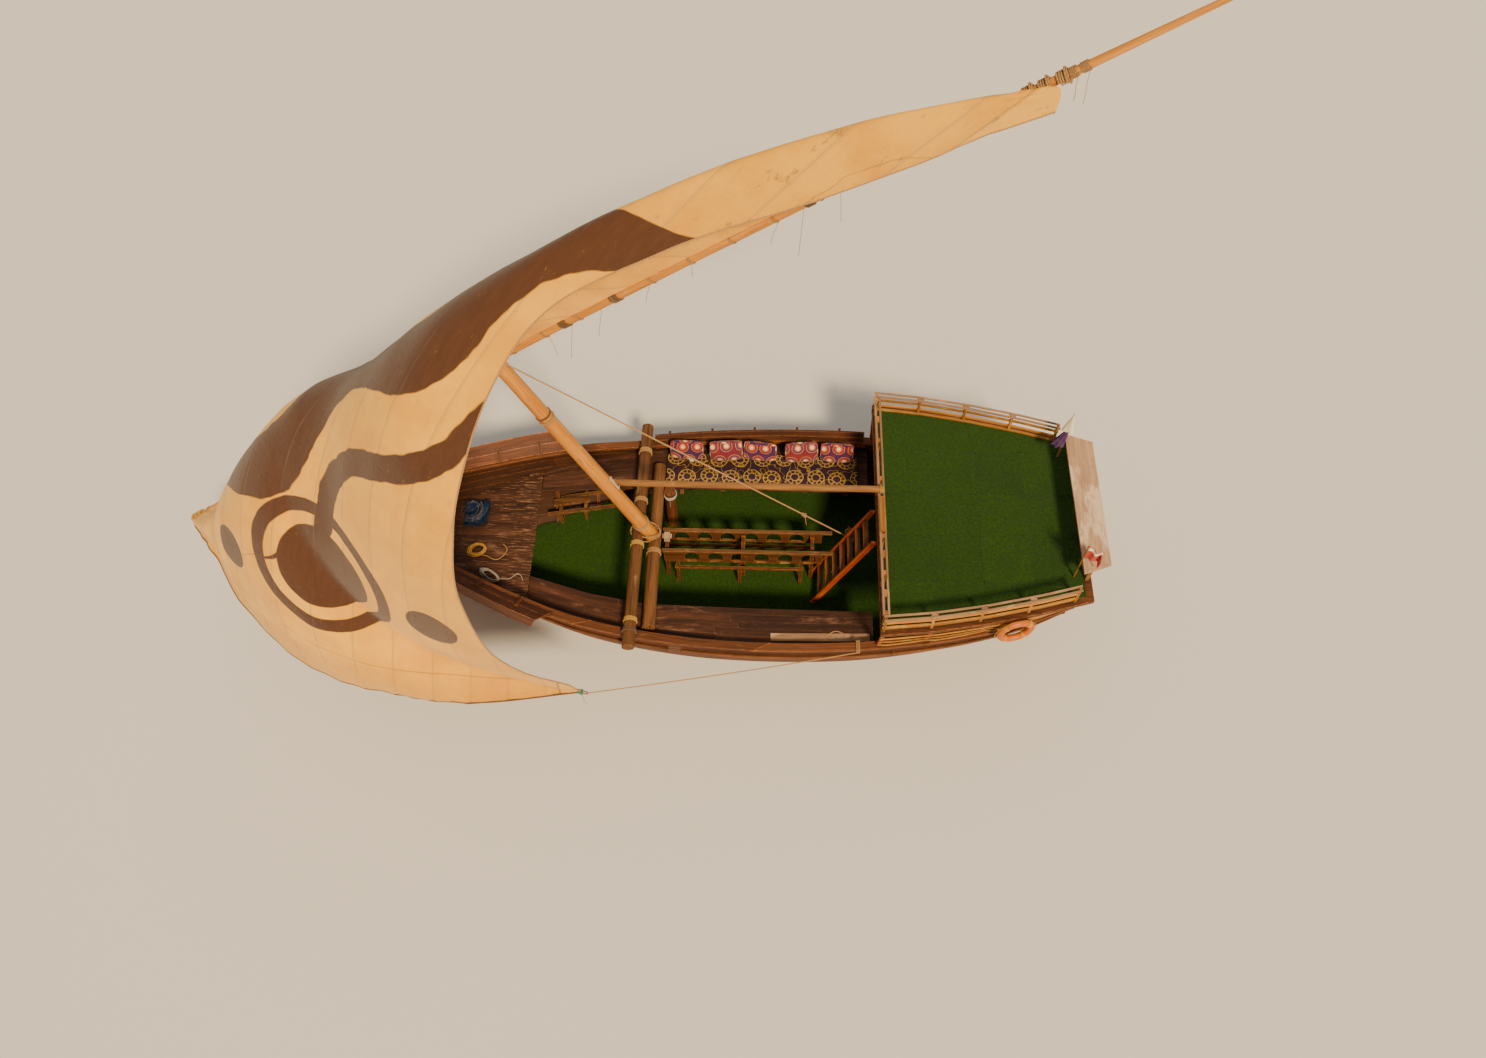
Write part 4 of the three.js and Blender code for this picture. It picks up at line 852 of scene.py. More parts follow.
# The cloth's flat cut: the unwrapped sail in metres, with the clew at the origin and the leech along Y
def flattenSail(piece, clew, head):
    mesh = piece.data
    mesh.uv_layers.new(name="cut")
    bpy.context.view_layer.objects.active = piece
    piece.select_set(True)
    bpy.ops.object.mode_set(mode="EDIT")
    bpy.ops.mesh.select_all(action="SELECT")
    bpy.ops.uv.unwrap(method="ANGLE_BASED", margin=0)
    bpy.ops.object.mode_set(mode="OBJECT")
    piece.select_set(False)
    spots = np.zeros(len(mesh.loops) * 2)
    mesh.uv_layers["cut"].data.foreach_get("uv", spots)
    owners = np.zeros(len(mesh.loops), int)
    mesh.loops.foreach_get("vertex_index", owners)
    flat = np.zeros((len(mesh.vertices), 2))
    flat[owners] = spots.reshape(-1, 2)
    area = sum(face.area for face in mesh.polygons)
    corners = np.array([face.vertices[:] for face in mesh.polygons])
    x, y = flat[corners, 0], flat[corners, 1]
    flatArea = 0.5 * np.abs((x * np.roll(y, -1, 1) - y * np.roll(x, -1, 1)).sum(1)).sum()
    flat = (flat - flat[clew]) * math.sqrt(area / flatArea)
    turn = math.atan2(flat[head][0], flat[head][1])
    cosine, sine = math.cos(turn), math.sin(turn)
    flat = np.stack([flat[:, 0] * cosine - flat[:, 1] * sine, flat[:, 0] * sine + flat[:, 1] * cosine], 1)
    if flat[:, 0].mean() > 0:
        flat[:, 0] *= -1
    return flat, area


def gridNormals(points):
    along = np.gradient(points, axis=0)
    across = np.gradient(points, axis=1)
    normals = np.cross(along, across)
    return normals / np.linalg.norm(normals, axis=2, keepdims=True)


# Wrinkles and puffs of the cloth along its normal, in metres
def sailRelief(flat, share, t):
    x, y = flat[..., 0], flat[..., 1]
    edge = np.minimum(1, t / 0.05) * np.minimum(1, share / 0.03) * np.minimum(1, (1 - share) / 0.03)
    puff = 0.007 * np.abs(np.sin(math.pi * x / sailLook["panel"]))
    laced = 0.022 * np.cos(math.tau * (share * 15.6 / 0.62)) * np.exp(-t * 16)
    clewGap = np.hypot(x, y)
    fromClew = np.arctan2(y, -x)
    pull = 0.028 * np.sin(fromClew * 34 + 2 * np.sin(clewGap)) * np.exp(-clewGap / 1.4)
    footFold = 0.016 * np.sin((x * 0.8 + y * 0.9) * 13 + 1.6 * np.sin(x * 2.3)) * np.exp(-np.abs(y) / 0.55)
    footFold *= (share < 0.41)
    tackGap = np.hypot(x + 8.9, y - 0.8)
    tackPull = 0.02 * np.sin(np.arctan2(y - 0.8, x + 8.9) * 26) * np.exp(-tackGap / 1.3)
    headGap = np.hypot(x + 0.4, y - 13.3)
    headPull = 0.014 * np.sin(np.arctan2(x + 0.4, 13.3 - y) * 30) * np.exp(-headGap / 1.6)
    slow = np.zeros_like(x)
    for i in np.ndindex(x.shape):
        slow[i] = noise.noise(Vector((x[i] * 0.9, y[i] * 0.55, 3.0))) * 0.03
        slow[i] += noise.noise(Vector((x[i] * 2.6 + y[i] * 1.1, y[i] * 1.2 - x[i] * 0.7, 9.0))) * 0.009
    leechRoll = 0.045 * np.maximum(0, 1 - ((x + 0.17) / 0.19) ** 2) ** 0.5
    leechRoll *= np.minimum(1, np.maximum(0, share - 0.42) / 0.06)
    loose = puff + pull + footFold + tackPull + headPull + slow + leechRoll
    return loose * edge + laced * np.minimum(1, t / 0.02)


def makeSailPrint():
    tree, ins, outs = newGroup("sailPrint", [("Vector", vectorIn, None)],
                               [("Mask", floatIn), ("Fine", floatIn)])
    parts = axesOf(tree, ins["Vector"])
    waver = noiseOn(tree, ins["Vector"], 0.9, 3.0)
    x = plus(tree, parts[0], 8.93)
    y = minus(tree, parts[1], 0.82)
    u = plus(tree, times(tree, x, 0.54), times(tree, y, 0.842))
    v = minus(tree, times(tree, x, 0.842), times(tree, y, 0.54))
    v = plus(tree, v, times(tree, minus(tree, waver, 0.5), 0.35))
    masks = []

    def band(offset, swing, wave, phase, width, start, end):
        swell = times(tree, calc(tree, "SINE", plus(tree, times(tree, u, wave), phase)), swing)
        gap = absolute(tree, minus(tree, minus(tree, v, offset), swell))
        taper = times(tree, soften(tree, u, start, start + 2.2), soften(tree, u, end - 2.4, end, 1.0, 0.0))
        reach = times(tree, taper, width)
        masks.append(soften(tree, minus(tree, gap, reach), -0.015, 0.015, 1.0, 0.0))

    band(1.35, 0.34, 1.7, 0.4, 0.46, 1.6, 12.5)
    band(2.60, 0.30, 1.7, 1.1, 0.20, 2.6, 9.8)

    def disc(cx, cy, inner, outer):
        dx = minus(tree, parts[0], cx)
        dy = minus(tree, parts[1], cy)
        reach = distanceOf(tree, dx, dy)
        reach = plus(tree, reach, times(tree, minus(tree, waver, 0.5), 0.12))
        out = soften(tree, reach, outer - 0.012, outer + 0.012, 1.0, 0.0)
        if inner:
            out = times(tree, out, soften(tree, reach, inner - 0.012, inner + 0.012))
        masks.append(out)

    for spot in ((-4.1, 2.2, 0, 0.78), (-4.1, 2.2, 1.0, 1.24), (-2.15, 2.3, 0, 0.42), (-5.95, 1.6, 0, 0.34)):
        disc(*spot)
    mask = masks[0]
    for other in masks[1:]:
        mask = calc(tree, "MAXIMUM", mask, other)
    tree.links.new(mask, outs["Mask"])
    tree.links.new(waver, outs["Fine"])
    return tree


def makeSailMaterial():
    material, tree, shader = newMaterial("sailcloth", 0.88, Specular_IOR_Level=0.15, Sheen_Weight=0.2)
    cut = mapSpot(tree, "cut")
    parts = axesOf(tree, cut)
    mottled = noiseOn(tree, cut, 1.1, 7.0, 0.62)
    colour = blendColour(tree, soften(tree, mottled, 0.3, 0.7), (0.82, 0.375, 0.022), (0.98, 0.505, 0.042))
    fine = noiseOn(tree, stretched(tree, cut, (14.0, 3.0, 1.0)), 1.0, 5.0)
    colour = blendColour(tree, soften(tree, fine, 0.5, 0.8, 0.0, 0.30), colour, (0.62, 0.27, 0.028))
    panel = calc(tree, "FRACT", calc(tree, "DIVIDE", parts[0], sailLook["panel"]))
    seam = absolute(tree, minus(tree, panel, 0.5))
    seamLine = soften(tree, seam, 0.470, 0.492)
    lap = soften(tree, seam, 0.455, 0.462)
    panelId = calc(tree, "FLOOR", calc(tree, "DIVIDE", parts[0], sailLook["panel"]))
    stray = newNode(tree, "ShaderNodeTexWhiteNoise", {"W": panelId}, noise_dimensions="1D").outputs["Value"]
    shade = soften(tree, stray, 0.0, 1.0, 0.88, 1.05)
    colour = shaded(tree, colour, shade)
    colour = blendColour(tree, times(tree, seamLine, 0.45), colour, (0.36, 0.23, 0.12))
    # A bright band along the rolled leech: painted highlight where the roll faces the sun
    leechHighlight = soften(tree, parts[0], -0.36, -0.32)
    colour = blendColour(tree, times(tree, leechHighlight, 0.5), colour, (1.0, 0.56, 0.065))
    # A dark line along the inner edge of the leech's roll, stronger low on the sail: painted shade under the
    # fold; the same line dents the bump
    fold = absolute(tree, plus(tree, parts[0], 0.37))
    foldShadeLine = soften(tree, fold, 0.004, 0.020, 1.0, 0.0)
    lowHalf = soften(tree, parts[1], 5.5, 8.0, 0.85, 0.35)
    colour = blendColour(tree, times(tree, foldShadeLine, lowHalf), colour, (0.20, 0.11, 0.05))
    high = soften(tree, parts[1], 8.4, 10.5)
    scuff = noiseOn(tree, stretched(tree, cut, (3.4, 1.7, 1.0), (2.0, 5.0, 0.0)), 1.4, 8.0, 0.72)
    scuff = soften(tree, scuff, 0.56, 0.66)
    colour = blendColour(tree, times(tree, times(tree, high, scuff), 0.75), colour,
                         (0.22, 0.115, 0.06))
    spots = soften(tree, noiseOn(tree, cut, 2.6, 8.0, 0.7), 0.62, 0.74, 0.0, 0.50)
    colour = blendColour(tree, spots, colour, (0.50, 0.22, 0.045))
    footSoil = soften(tree, parts[1], 0.05, 0.55, 0.35, 0.0)
    colour = blendColour(tree, footSoil, colour, (0.56, 0.26, 0.045))
    fromFoot = plus(tree, parts[1], times(tree, parts[0], 0.09))
    hem = soften(tree, absolute(tree, minus(tree, fromFoot, 0.11)), 0.004, 0.016, 0.5, 0.0)
    colour = blendColour(tree, hem, colour, (0.26, 0.12, 0.03))
    mark = place(tree, sailPrintGroup, {"Vector": cut})
    rubbed = noiseOn(tree, stretched(tree, cut, (9.0, 3.0, 1.0)), 1.5, 8.0, 0.75)
    rubbed = soften(tree, rubbed, 0.60, 0.72, 1.0, 0.72)
    inkColour = blendColour(tree, fine, (0.066, 0.026, 0.013), (0.110, 0.045, 0.022))
    colour = blendColour(tree, times(tree, mark["Mask"], rubbed), colour, inkColour)
    paint(shader, colour)
    threads = place(tree, weaveGroup, {"Vector": cut, "Threads": 90.0})["Height"]
    crease = noiseOn(tree, stretched(tree, cut, (2.0, 6.0, 1.0)), 3.0, 5.0, 0.6)
    height = plus(tree, times(tree, threads, 0.10), times(tree, crease, 0.8))
    height = plus(tree, height, times(tree, lap, 0.5))
    height = plus(tree, height, times(tree, foldShadeLine, -0.8))
    bump(tree, shader, height, 0.6, 0.02)
    return material


def makeSail():
    rows, columns = sailLook["rows"], sailLook["columns"]
    shares = np.array([i / rows for i in range(rows + 1)])
    points = np.array([[sailPoint(share, j / columns) for j in range(columns + 1)] for share in shares])
    width = columns + 1
    faces = [(i * width + j, i * width + j + 1, (i + 1) * width + j + 1, (i + 1) * width + j)
             for i in range(rows) for j in range(columns)]
    draft = bpy.data.meshes.new("sailDraft")
    draft.from_pydata(points.reshape(-1, 3).tolist(), [], faces)
    draftPiece = newObject("sailDraft", draft)
    clew = round(sailSections[clewRow][0] * rows) * width + columns
    flat, area = flattenSail(draftPiece, clew, rows * width + columns)
    bpy.data.objects.remove(draftPiece)
    grid = flat.reshape(rows + 1, width, 2)
    share, t = np.meshgrid(shares, np.linspace(0, 1, width), indexing="ij")
    points = points + gridNormals(points) * sailRelief(grid, share, t)[..., None]
    normals = gridNormals(points) * sailLook["thickness"] / 2
    part = slabPart((points + normals).tolist(), (points - normals).tolist(), 0.5)
    piece = makePiece("sailSheet", [part], makeSailMaterial(), body=None, smooth=80)
    mesh = piece.data
    layer = mesh.uv_layers.new(name="cut")
    owners = np.zeros(len(mesh.loops), int)
    mesh.loops.foreach_get("vertex_index", owners)
    both = np.concatenate([flat, flat])
    layer.data.foreach_set("uv", both[owners].ravel())
    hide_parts("sail")
    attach(piece, "yard")
    print(f"sail: {area:.1f} square metres, flat cut {flat[:, 0].min():.2f} by {flat[:, 1].max():.2f}")
    return points


sailPrintGroup = makeSailPrint()
sailGrid = makeSail()
print("sail set")

# Hull planking: strakes that follow the frames, in lengths with staggered butts
hullPlanks = {"strakes": 15, "seam": 0.005, "steps": 72, "butts": (0.30, 0.63), "bevel": 0.005}
stationRows = [stationAt(i * (len(stations) - 1) / hullPlanks["steps"])
               for i in range(hullPlanks["steps"] + 1)]


def girthShares(station):
    fine = [sectionPoint(station, i / 60) for i in range(61)]
    along = distances(fine)
    return lambda share: float(np.interp(share * along[-1], along, np.linspace(0, 1, 61)))


def hullStrakes(side):
    parts = []
    count = hullPlanks["strakes"]
    readers = [girthShares(row) for row in stationRows]
    for strake in range(count):
        cuts = [0.0] + [share + 0.17 * ((strake * 7 % 3) - 1) for share in hullPlanks["butts"]] + [1.0]
        for first, last in zip(cuts, cuts[1:]):
            start = round(first * hullPlanks["steps"])
            stop = round(last * hullPlanks["steps"])
            upper, lower = [], []
            for i in range(start, stop + 1):
                station, reader = stationRows[i], readers[i]
                outer = []
                inner = []
                for k in range(4):
                    share = (strake + k / 3) / count
                    outer.append(sectionPoint(station, reader(share), 0.0006))
                    inner.append(sectionPoint(station, reader(share), hullLook["plank"]))
                for row in (outer, inner):
                    trim = hullPlanks["seam"] / 2
                    lowEdge = (row[1] - row[0]).normalized() * (trim if strake else 0.0)
                    highEdge = (row[2] - row[3]).normalized() * (trim if strake < count - 1 else 0.0)
                    row[0] = row[0] + lowEdge
                    row[3] = row[3] + highEdge
                if i == start and start > 0:
                    ahead = sectionPoint(stationRows[i + 1], 0.5) - sectionPoint(station, 0.5)
                    shift = ahead.normalized() * 0.003
                    outer, inner = [p + shift for p in outer], [p + shift for p in inner]
                upper.append([Vector((p.x, p.y * side, p.z)) for p in outer])
                lower.append([Vector((p.x, p.y * side, p.z)) for p in inner])
            if side > 0:
                parts.append(slabPart(lower, upper))
            else:
                parts.append(slabPart(upper, lower))
    return parts


def makePlankMaterial():
    material = woodMaterial("hullPlanks", "planks")
    tree, shader, colour = reopened(material)
    position = objectSpot(tree)
    height = axesOf(tree, position)[2]
    ragged = noiseOn(tree, stretched(tree, position, (1.2, 1.2, 6.0)), 1.0, 5.0, 0.65)
    level = plus(tree, height, times(tree, minus(tree, ragged, 0.5), 0.30))
    facing = newNode(tree, "ShaderNodeNewGeometry").outputs["Normal"]
    side = newNode(tree, "ShaderNodeVectorMath", {0: facing, 1: position}, operation="MULTIPLY").outputs[0]
    outside = soften(tree, axesOf(tree, side)[1], -0.02, 0.02)
    # Inboard faces of the planking are darkened: painted shade inside the hull
    colour = blendColour(tree, soften(tree, outside, 0.0, 1.0, 0.7, 0.0), colour, (0.030, 0.012, 0.006))
    wet = times(tree, soften(tree, level, -0.02, 0.06, 0.85, 0.0), outside)
    colour = blendColour(tree, wet, colour, (0.030, 0.034, 0.020))
    scum = times(tree, soften(tree, level, 0.0, 0.05), soften(tree, level, 0.08, 0.26, 0.5, 0.0))
    scum = times(tree, scum, outside)
    colour = blendColour(tree, scum, colour, (0.24, 0.20, 0.15))
    low = times(tree, soften(tree, level, -0.62, -0.35, 0.5, 0.0), outside)
    colour = blendColour(tree, low, colour, (0.10, 0.11, 0.07))
    paint(shader, colour)
    return material


hullWood = makePlankMaterial()
for sideName, side in (("port", 1), ("starboard", -1)):
    makePiece(f"strakes_{sideName}", hullStrakes(side), hullWood,
              replaces=[f"planking_{sideName}"], bevel=hullPlanks["bevel"])
print("hull planked")

# Sheer line, and the caps, wales and bow bulwarks that follow it
sheerPoints = [sectionPoint(row, 1.0) for row in stationRows]


def sheerAt(x):
    return readTable([(p.x, p.y) for p in sheerPoints], x), readTable([(p.x, p.z) for p in sheerPoints], x)


caps = {"thickness": 0.055, "overhang": 0.040, "inboard": 0.120, "joints": (-3.9, -0.9, 2.2, 4.6),
        "scarf": 0.30}
wales = {"drop": 0.210, "thickness": 0.050, "height": 0.080, "joints": (-3.2, 0.6, 3.6)}
bulwarks = {"aft": 2.690, "fore": 6.450, "port": 0.320, "starboard": 0.240}
backBoard = {"fore": 1.170, "aft": -2.760, "height": 0.200, "lean": 0.070, "thickness": 0.038,
             "inset": 0.095}


def capParts(side):
    parts = []
    cuts = [sheerPoints[0].x, *caps["joints"], sheerPoints[-1].x]
    for k, (start, stop) in enumerate(zip(cuts, cuts[1:])):
        upper, lower = [], []
        steps = max(8, int((stop - start) / 0.16))
        for i in range(steps + 1):
            share = i / steps
            inner, outer = [], []
            for across in range(4):
                lean = caps["scarf"] * (across / 3 - 0.5)
                shift = lean * ((k > 0) * (1 - share) + (k < len(cuts) - 2) * share)
                x = mix(start, stop, share) + shift + (0.002 if share == 0 else -0.002 if share == 1 else 0)
                half, z = sheerAt(min(max(x, sheerPoints[0].x), sheerPoints[-1].x))
                y = mix(max(half - caps["inboard"], 0.075), half + caps["overhang"], across / 3)
                outer.append(Vector((x, y * side, z + caps["thickness"] - 0.0005)))
                inner.append(Vector((x, y * side, z + 0.0005)))
            upper.append(outer)
            lower.append(inner)
        parts.append(slabPart(lower, upper) if side < 0 else slabPart(upper, lower))
    return parts


def hullSide(station, z, out):
    share = shareAt(station, z)
    return sectionPoint(station, share, 0.0005), sectionPoint(station, share, -out)


def waleParts(side):
    parts = []
    rows = [row for row in stationRows if row[0] < 6.15]
    cuts = [rows[0][0], *wales["joints"], rows[-1][0]]
    for start, stop in zip(cuts, cuts[1:]):
        upper, lower = [], []
        for row in [r for r in rows if start - 1e-6 <= r[0] <= stop + 0.1]:
            near, far = [], []
            for k in range(3):
                z = row[3] - wales["drop"] - wales["height"] * k / 2
                inner, outer = hullSide(row, z, wales["thickness"])
                near.append(Vector((inner.x, inner.y * side, z)))
                far.append(Vector((inner.x, (outer.y + (0.006 if k == 1 else 0)) * side, z)))
            upper.append(far)
            lower.append(near)
        for face in (upper, lower):
            first = (Vector(face[1][0]) - Vector(face[0][0])).normalized() * 0.003
            face[0] = [p + first for p in face[0]]
        parts.append(slabPart(upper, lower) if side < 0 else slabPart(lower, upper))
    return parts


# Wash boards: two boards lean far out from the cap, and a third hangs from their outer edge
def bulwarkParts(side):
    parts = []
    reach = bulwarks["port" if side > 0 else "starboard"]
    steps = 32

    def spot(share, out, leaning, rise, cutBack):
        x = mix(bulwarks["aft"] + cutBack, bulwarks["fore"], share)
        half, z = sheerAt(x)
        y = half + out + reach * leaning * (1 - share ** 2 * 0.75)
        return Vector((x, y * side, z + caps["thickness"] + rise))

    def board(low, high, across=4):
        face, back = [], []
        for i in range(steps + 1):
            ends = [spot(i / steps, *corner) for corner in (low[0], high[0], low[1], high[1])]
            face.append([ends[0].lerp(ends[1], k / across) for k in range(across + 1)])
            back.append([ends[2].lerp(ends[3], k / across) for k in range(across + 1)])
        parts.append(slabPart(face, back) if side > 0 else slabPart(back, face))

    foot = ((-0.060, 0.0, 0.0012, 0.0), (-0.006, 0.0, 0.0012, 0.0))
    edge = ((0.0, 1.0, 0.260, 0.240), (-0.020, 1.0, 0.206, 0.240))

    def between(share):
        return tuple(tuple(mix(a, b, share) for a, b in zip(low, high)) for low, high in zip(foot, edge))

    board(foot, between(0.46))
    board(between(0.475), between(1.0))
    board(((0.004, 1.0, 0.262, 0.236), (-0.018, 1.0, 0.200, 0.236)),
          ((0.034, 1.0, -0.044, 0.350), (-0.006, 1.0, -0.044, 0.350)), 3)
    for x in (3.25, 3.95, 4.65, 5.35, 5.95):
        half, z = sheerAt(x)
        share = (x - bulwarks["aft"]) / (bulwarks["fore"] - bulwarks["aft"])
        out = reach * (1 - share ** 2 * 0.75)
        base = Vector((x, (half - 0.085) * side, z + caps["thickness"] + 0.004))
        parts.append(barPart(base, base + Vector((0.03, (out + 0.06) * 0.62 * side, 0.175)), 0.060, 0.045))
    return parts


# Low board behind the seat, on the starboard cap
def backBoardParts():
    parts = []
    for low, high in ((0.0, 0.47), (0.485, 1.0)):
        inside, outside = [], []
        for i in range(25):
            x = mix(backBoard["fore"], backBoard["aft"], i / 24)
            half, z = sheerAt(x)
            foot = Vector((x, half - backBoard["inset"], z + caps["thickness"] + 0.001))
            head = foot + Vector((0, backBoard["lean"], backBoard["height"] - 0.001))
            row = [foot.lerp(head, mix(low, high, k / 3)) for k in range(4)]
            inside.append([Vector((p.x, -p.y, p.z)) for p in row])
            outside.append([Vector((p.x, -(p.y + backBoard["thickness"]), p.z)) for p in row])
        parts.append(slabPart(inside, outside))
    for x in (0.9, 0.1, -0.7, -1.5, -2.3):
        half, z = sheerAt(x)
        base = Vector((x, -(half + 0.018), z + caps["thickness"] + 0.002))
        parts.append(barPart(base, base + Vector((0, -0.050, 0.16)), 0.055, 0.035))
    return parts


for sideName, side in (("port", 1), ("starboard", -1)):
    makePiece(f"cap_{sideName}", capParts(side), wood("timber"),
              replaces=[f"gunwale_{sideName}"], bevel=0.010)
    makePiece(f"rubbingStrake_{sideName}", waleParts(side), wood("timber"),
              replaces=[f"wale_{sideName}"], bevel=0.012)
    makePiece(f"washBoards_{sideName}", bulwarkParts(side), wood("planks"),
              replaces=[f"bulwark_{sideName}"], bevel=0.006)
makePiece("seatBackBoard", backBoardParts(), wood("planks"), bevel=0.006)

# Inner face of the planks at a height
def innerHalf(x, z, inset):
    spots = []
    for row in stationRows:
        if row[4] < z < row[3]:
            point = sectionPoint(row, shareAt(row, z), inset)
            spots.append((point.x, point.y))
    return readTable(spots, x)


def innerTable(z, inset):
    xs = [-6.2 + i * 0.1 for i in range(126)]
    return [(x, innerHalf(x, z, inset)) for x in xs]


# Painted plank on the inside of the starboard sheer, behind the seat
def seatPlankParts():
    upper, lower = [], []
    for i in range(29):
        x = mix(1.16, -2.80, i / 28)
        rim = sheerAt(x)[1]
        row = [Vector((x, -innerHalf(x, z, 0.050), z)) for z in (0.955, rim - 0.09, rim - 0.012)]
        upper.append([p + Vector((0, 0.020, 0)) for p in row])
        lower.append(row)
    return [slabPart(upper, lower)]


makePiece("seatBackPlank", seatPlankParts(), wood("redWood"), bevel=0.004)
print("sheer finished")

nails = []


def nailRow(x, y0, y1, z):
    for y in (y0, y1):
        nails.append((x + chance.uniform(-0.012, 0.012), y + chance.uniform(-0.004, 0.004), z))


# Boards laid fore and aft between two edges; edges are functions of x
def layBoards(edgeA, edgeB, start, stop, count, top, depth, lengths, gap=0.005, nailXs=(), trimmed=0.02):
    parts = []
    for k in range(count):
        joints = [start]
        while stop - joints[-1] > lengths[1] * 1.3:
            joints.append(joints[-1] + chance.uniform(*lengths))
        joints.append(stop)
        for first, last in zip(joints, joints[1:]):
            rise = chance.uniform(-0.0022, 0.0)
            upper, lower = [], []
            steps = max(2, int((last - first) / 0.12))
            for i in range(steps + 1):
                x = mix(first + 0.0015, last - 0.0015, i / steps)
                a, b = edgeA(x), edgeB(x)
                left, right = mix(a, b, k / count), mix(a, b, (k + 1) / count)
                if abs(right - left) < trimmed:
                    continue
                side = math.copysign(gap / 2, right - left)
                row = [mix(left + side, right - side, j / 2) for j in range(3)]
                upper.append([Vector((x, y, top + rise)) for y in row])
                lower.append([Vector((x, y, top - depth)) for y in row])
            if len(upper) < 2:
                continue
            down = upper[0][0].y > upper[0][2].y
            parts.append(slabPart(lower, upper) if down else slabPart(upper, lower))
            onRibs = [x for x in nailXs if first + 0.03 < x < last - 0.03]
            for x in (*onRibs, first + 0.025, last - 0.025):
                a, b = edgeA(x), edgeB(x)
                left, right = mix(a, b, k / count), mix(a, b, (k + 1) / count)
                if abs(right - left) > 0.06:
                    nailRow(x, mix(left, right, 0.24), mix(left, right, 0.76), top + rise)
    return parts


ribXs = [-4.88, -4.10, -3.30, -2.50, -1.70, -0.90, -0.10, 0.70, 1.50, 2.30, 3.05, 3.80, 4.50]
decks = {
    "sideTop": 0.900, "foreTop": 0.950, "depth": 0.035, "foreAft": 3.250, "foreFore": 5.480,
    "sideFore": 3.245, "sideAft": -2.840, "board": 0.145,
    "portInner": [(-2.90, 1.370), (-0.70, 1.350), (1.10, 1.310), (2.15, 1.130), (3.245, 0.800)],
    "starboardInner": [(-2.90, 1.120), (1.20, 1.120), (3.245, 1.000)],
}
sideOuter = innerTable(decks["sideTop"] - 0.018, 0.049)
foreOuter = innerTable(decks["foreTop"] - 0.018, 0.049)


def makeDecks():
    for sideName, side in (("port", 1), ("starboard", -1)):
        table = decks[f"{sideName}Inner"]
        parts = layBoards(lambda x: readTable(table, x) * side, lambda x: readTable(sideOuter, x) * side,
                          decks["sideAft"], decks["sideFore"], 6, decks["sideTop"], decks["depth"],
                          (1.7, 2.9), nailXs=ribXs)
        makePiece(f"deckBoards_{sideName}", parts, wood("deck"),
                  replaces=[f"side_deck_{sideName}"], bevel=0.004)
    parts = []
    half = 1.75
    count = round(2 * half / decks["board"])
    for k in range(count):
        low, high = -half + 2 * half * k / count, -half + 2 * half * (k + 1) / count

        def clamp(y):
            return lambda x: max(-readTable(foreOuter, x), min(readTable(foreOuter, x), y))

        parts += layBoards(clamp(low), clamp(high), decks["foreAft"], decks["foreFore"], 1, decks["foreTop"],
                           decks["depth"], (2.6, 3.2), nailXs=(3.30, 3.80, 4.50, 5.15))
    makePiece("foredeckBoards", parts, deckWoodWorn, replaces=["foredeck"], bevel=0.004)
    floorOuter = innerTable(-0.08, 0.143)
    parts = layBoards(lambda x: -readTable(floorOuter, x), lambda x: readTable(floorOuter, x),
                      -4.895, 3.995, 18, -0.062, 0.038, (2.5, 4.0))
    makePiece("holdFloor", parts, wood("deck"), replaces=["floor_boards"], bevel=0.004)


# A paler board patches the port side deck
def makeDeckPatch():
    board = barPart((-2.78, 1.875, 0.9075), (-1.06, 1.905, 0.9075), 0.150, 0.013, rows=14)
    makePiece("deckPatch", [board], wood("greyed"), bevel=0.002)


# The foredeck is rubbed pale near its after edge
def makeWornDeck():
    material = woodMaterial("deckWorn", "deck")
    tree, shader, colour = reopened(material)
    position = objectSpot(tree)
    x = axesOf(tree, position)[0]
    streaks = noiseOn(tree, stretched(tree, position, (3.0, 44.0, 1.0)), 1.0, 6.0, 0.7)
    near = soften(tree, x, 3.25, 4.9, 0.085, 0.0)
    rubbed = soften(tree, plus(tree, streaks, near), 0.615, 0.69, 0.0, 0.70)
    colour = blendColour(tree, rubbed, colour, (0.38, 0.200, 0.115))
    paint(shader, colour)
    return material


def makeNails():
    parts = []
    for spot in nails:
        part = newPart(0.5)
        for k in range(7):
            angle = math.tau * k / 7
            out = Vector((0.0065 * math.cos(angle), 0.0065 * math.sin(angle), 0.0004))
            part["points"].append(Vector(spot) + out)
        part["points"].append(Vector(spot) + Vector((0, 0, 0.0022)))
        for k in range(7):
            part["faces"].append((k, (k + 1) % 7, 7))
            part["places"].append([(0.0, 0.0)] * 3)
        parts.append(part)
    iron, tree, shader = newMaterial("nailIron", 0.6, Metallic=0.7)
    rust = noiseOn(tree, objectSpot(tree), 60.0, 3.0)
    colour = blendColour(tree, soften(tree, rust, 0.35, 0.6), (0.030, 0.016, 0.011), (0.085, 0.034, 0.016))
    paint(shader, colour)
    makePiece("deckNails", parts, iron, smooth=60)


deckWoodWorn = makeWornDeck()
makeDecks()
makeDeckPatch()
makeNails()
print("decks laid")


# Turf: a mat of tiles with blades standing on it
turfLook = {"tile": 0.90, "seam": 0.004, "blade": 0.014, "width": 0.007}


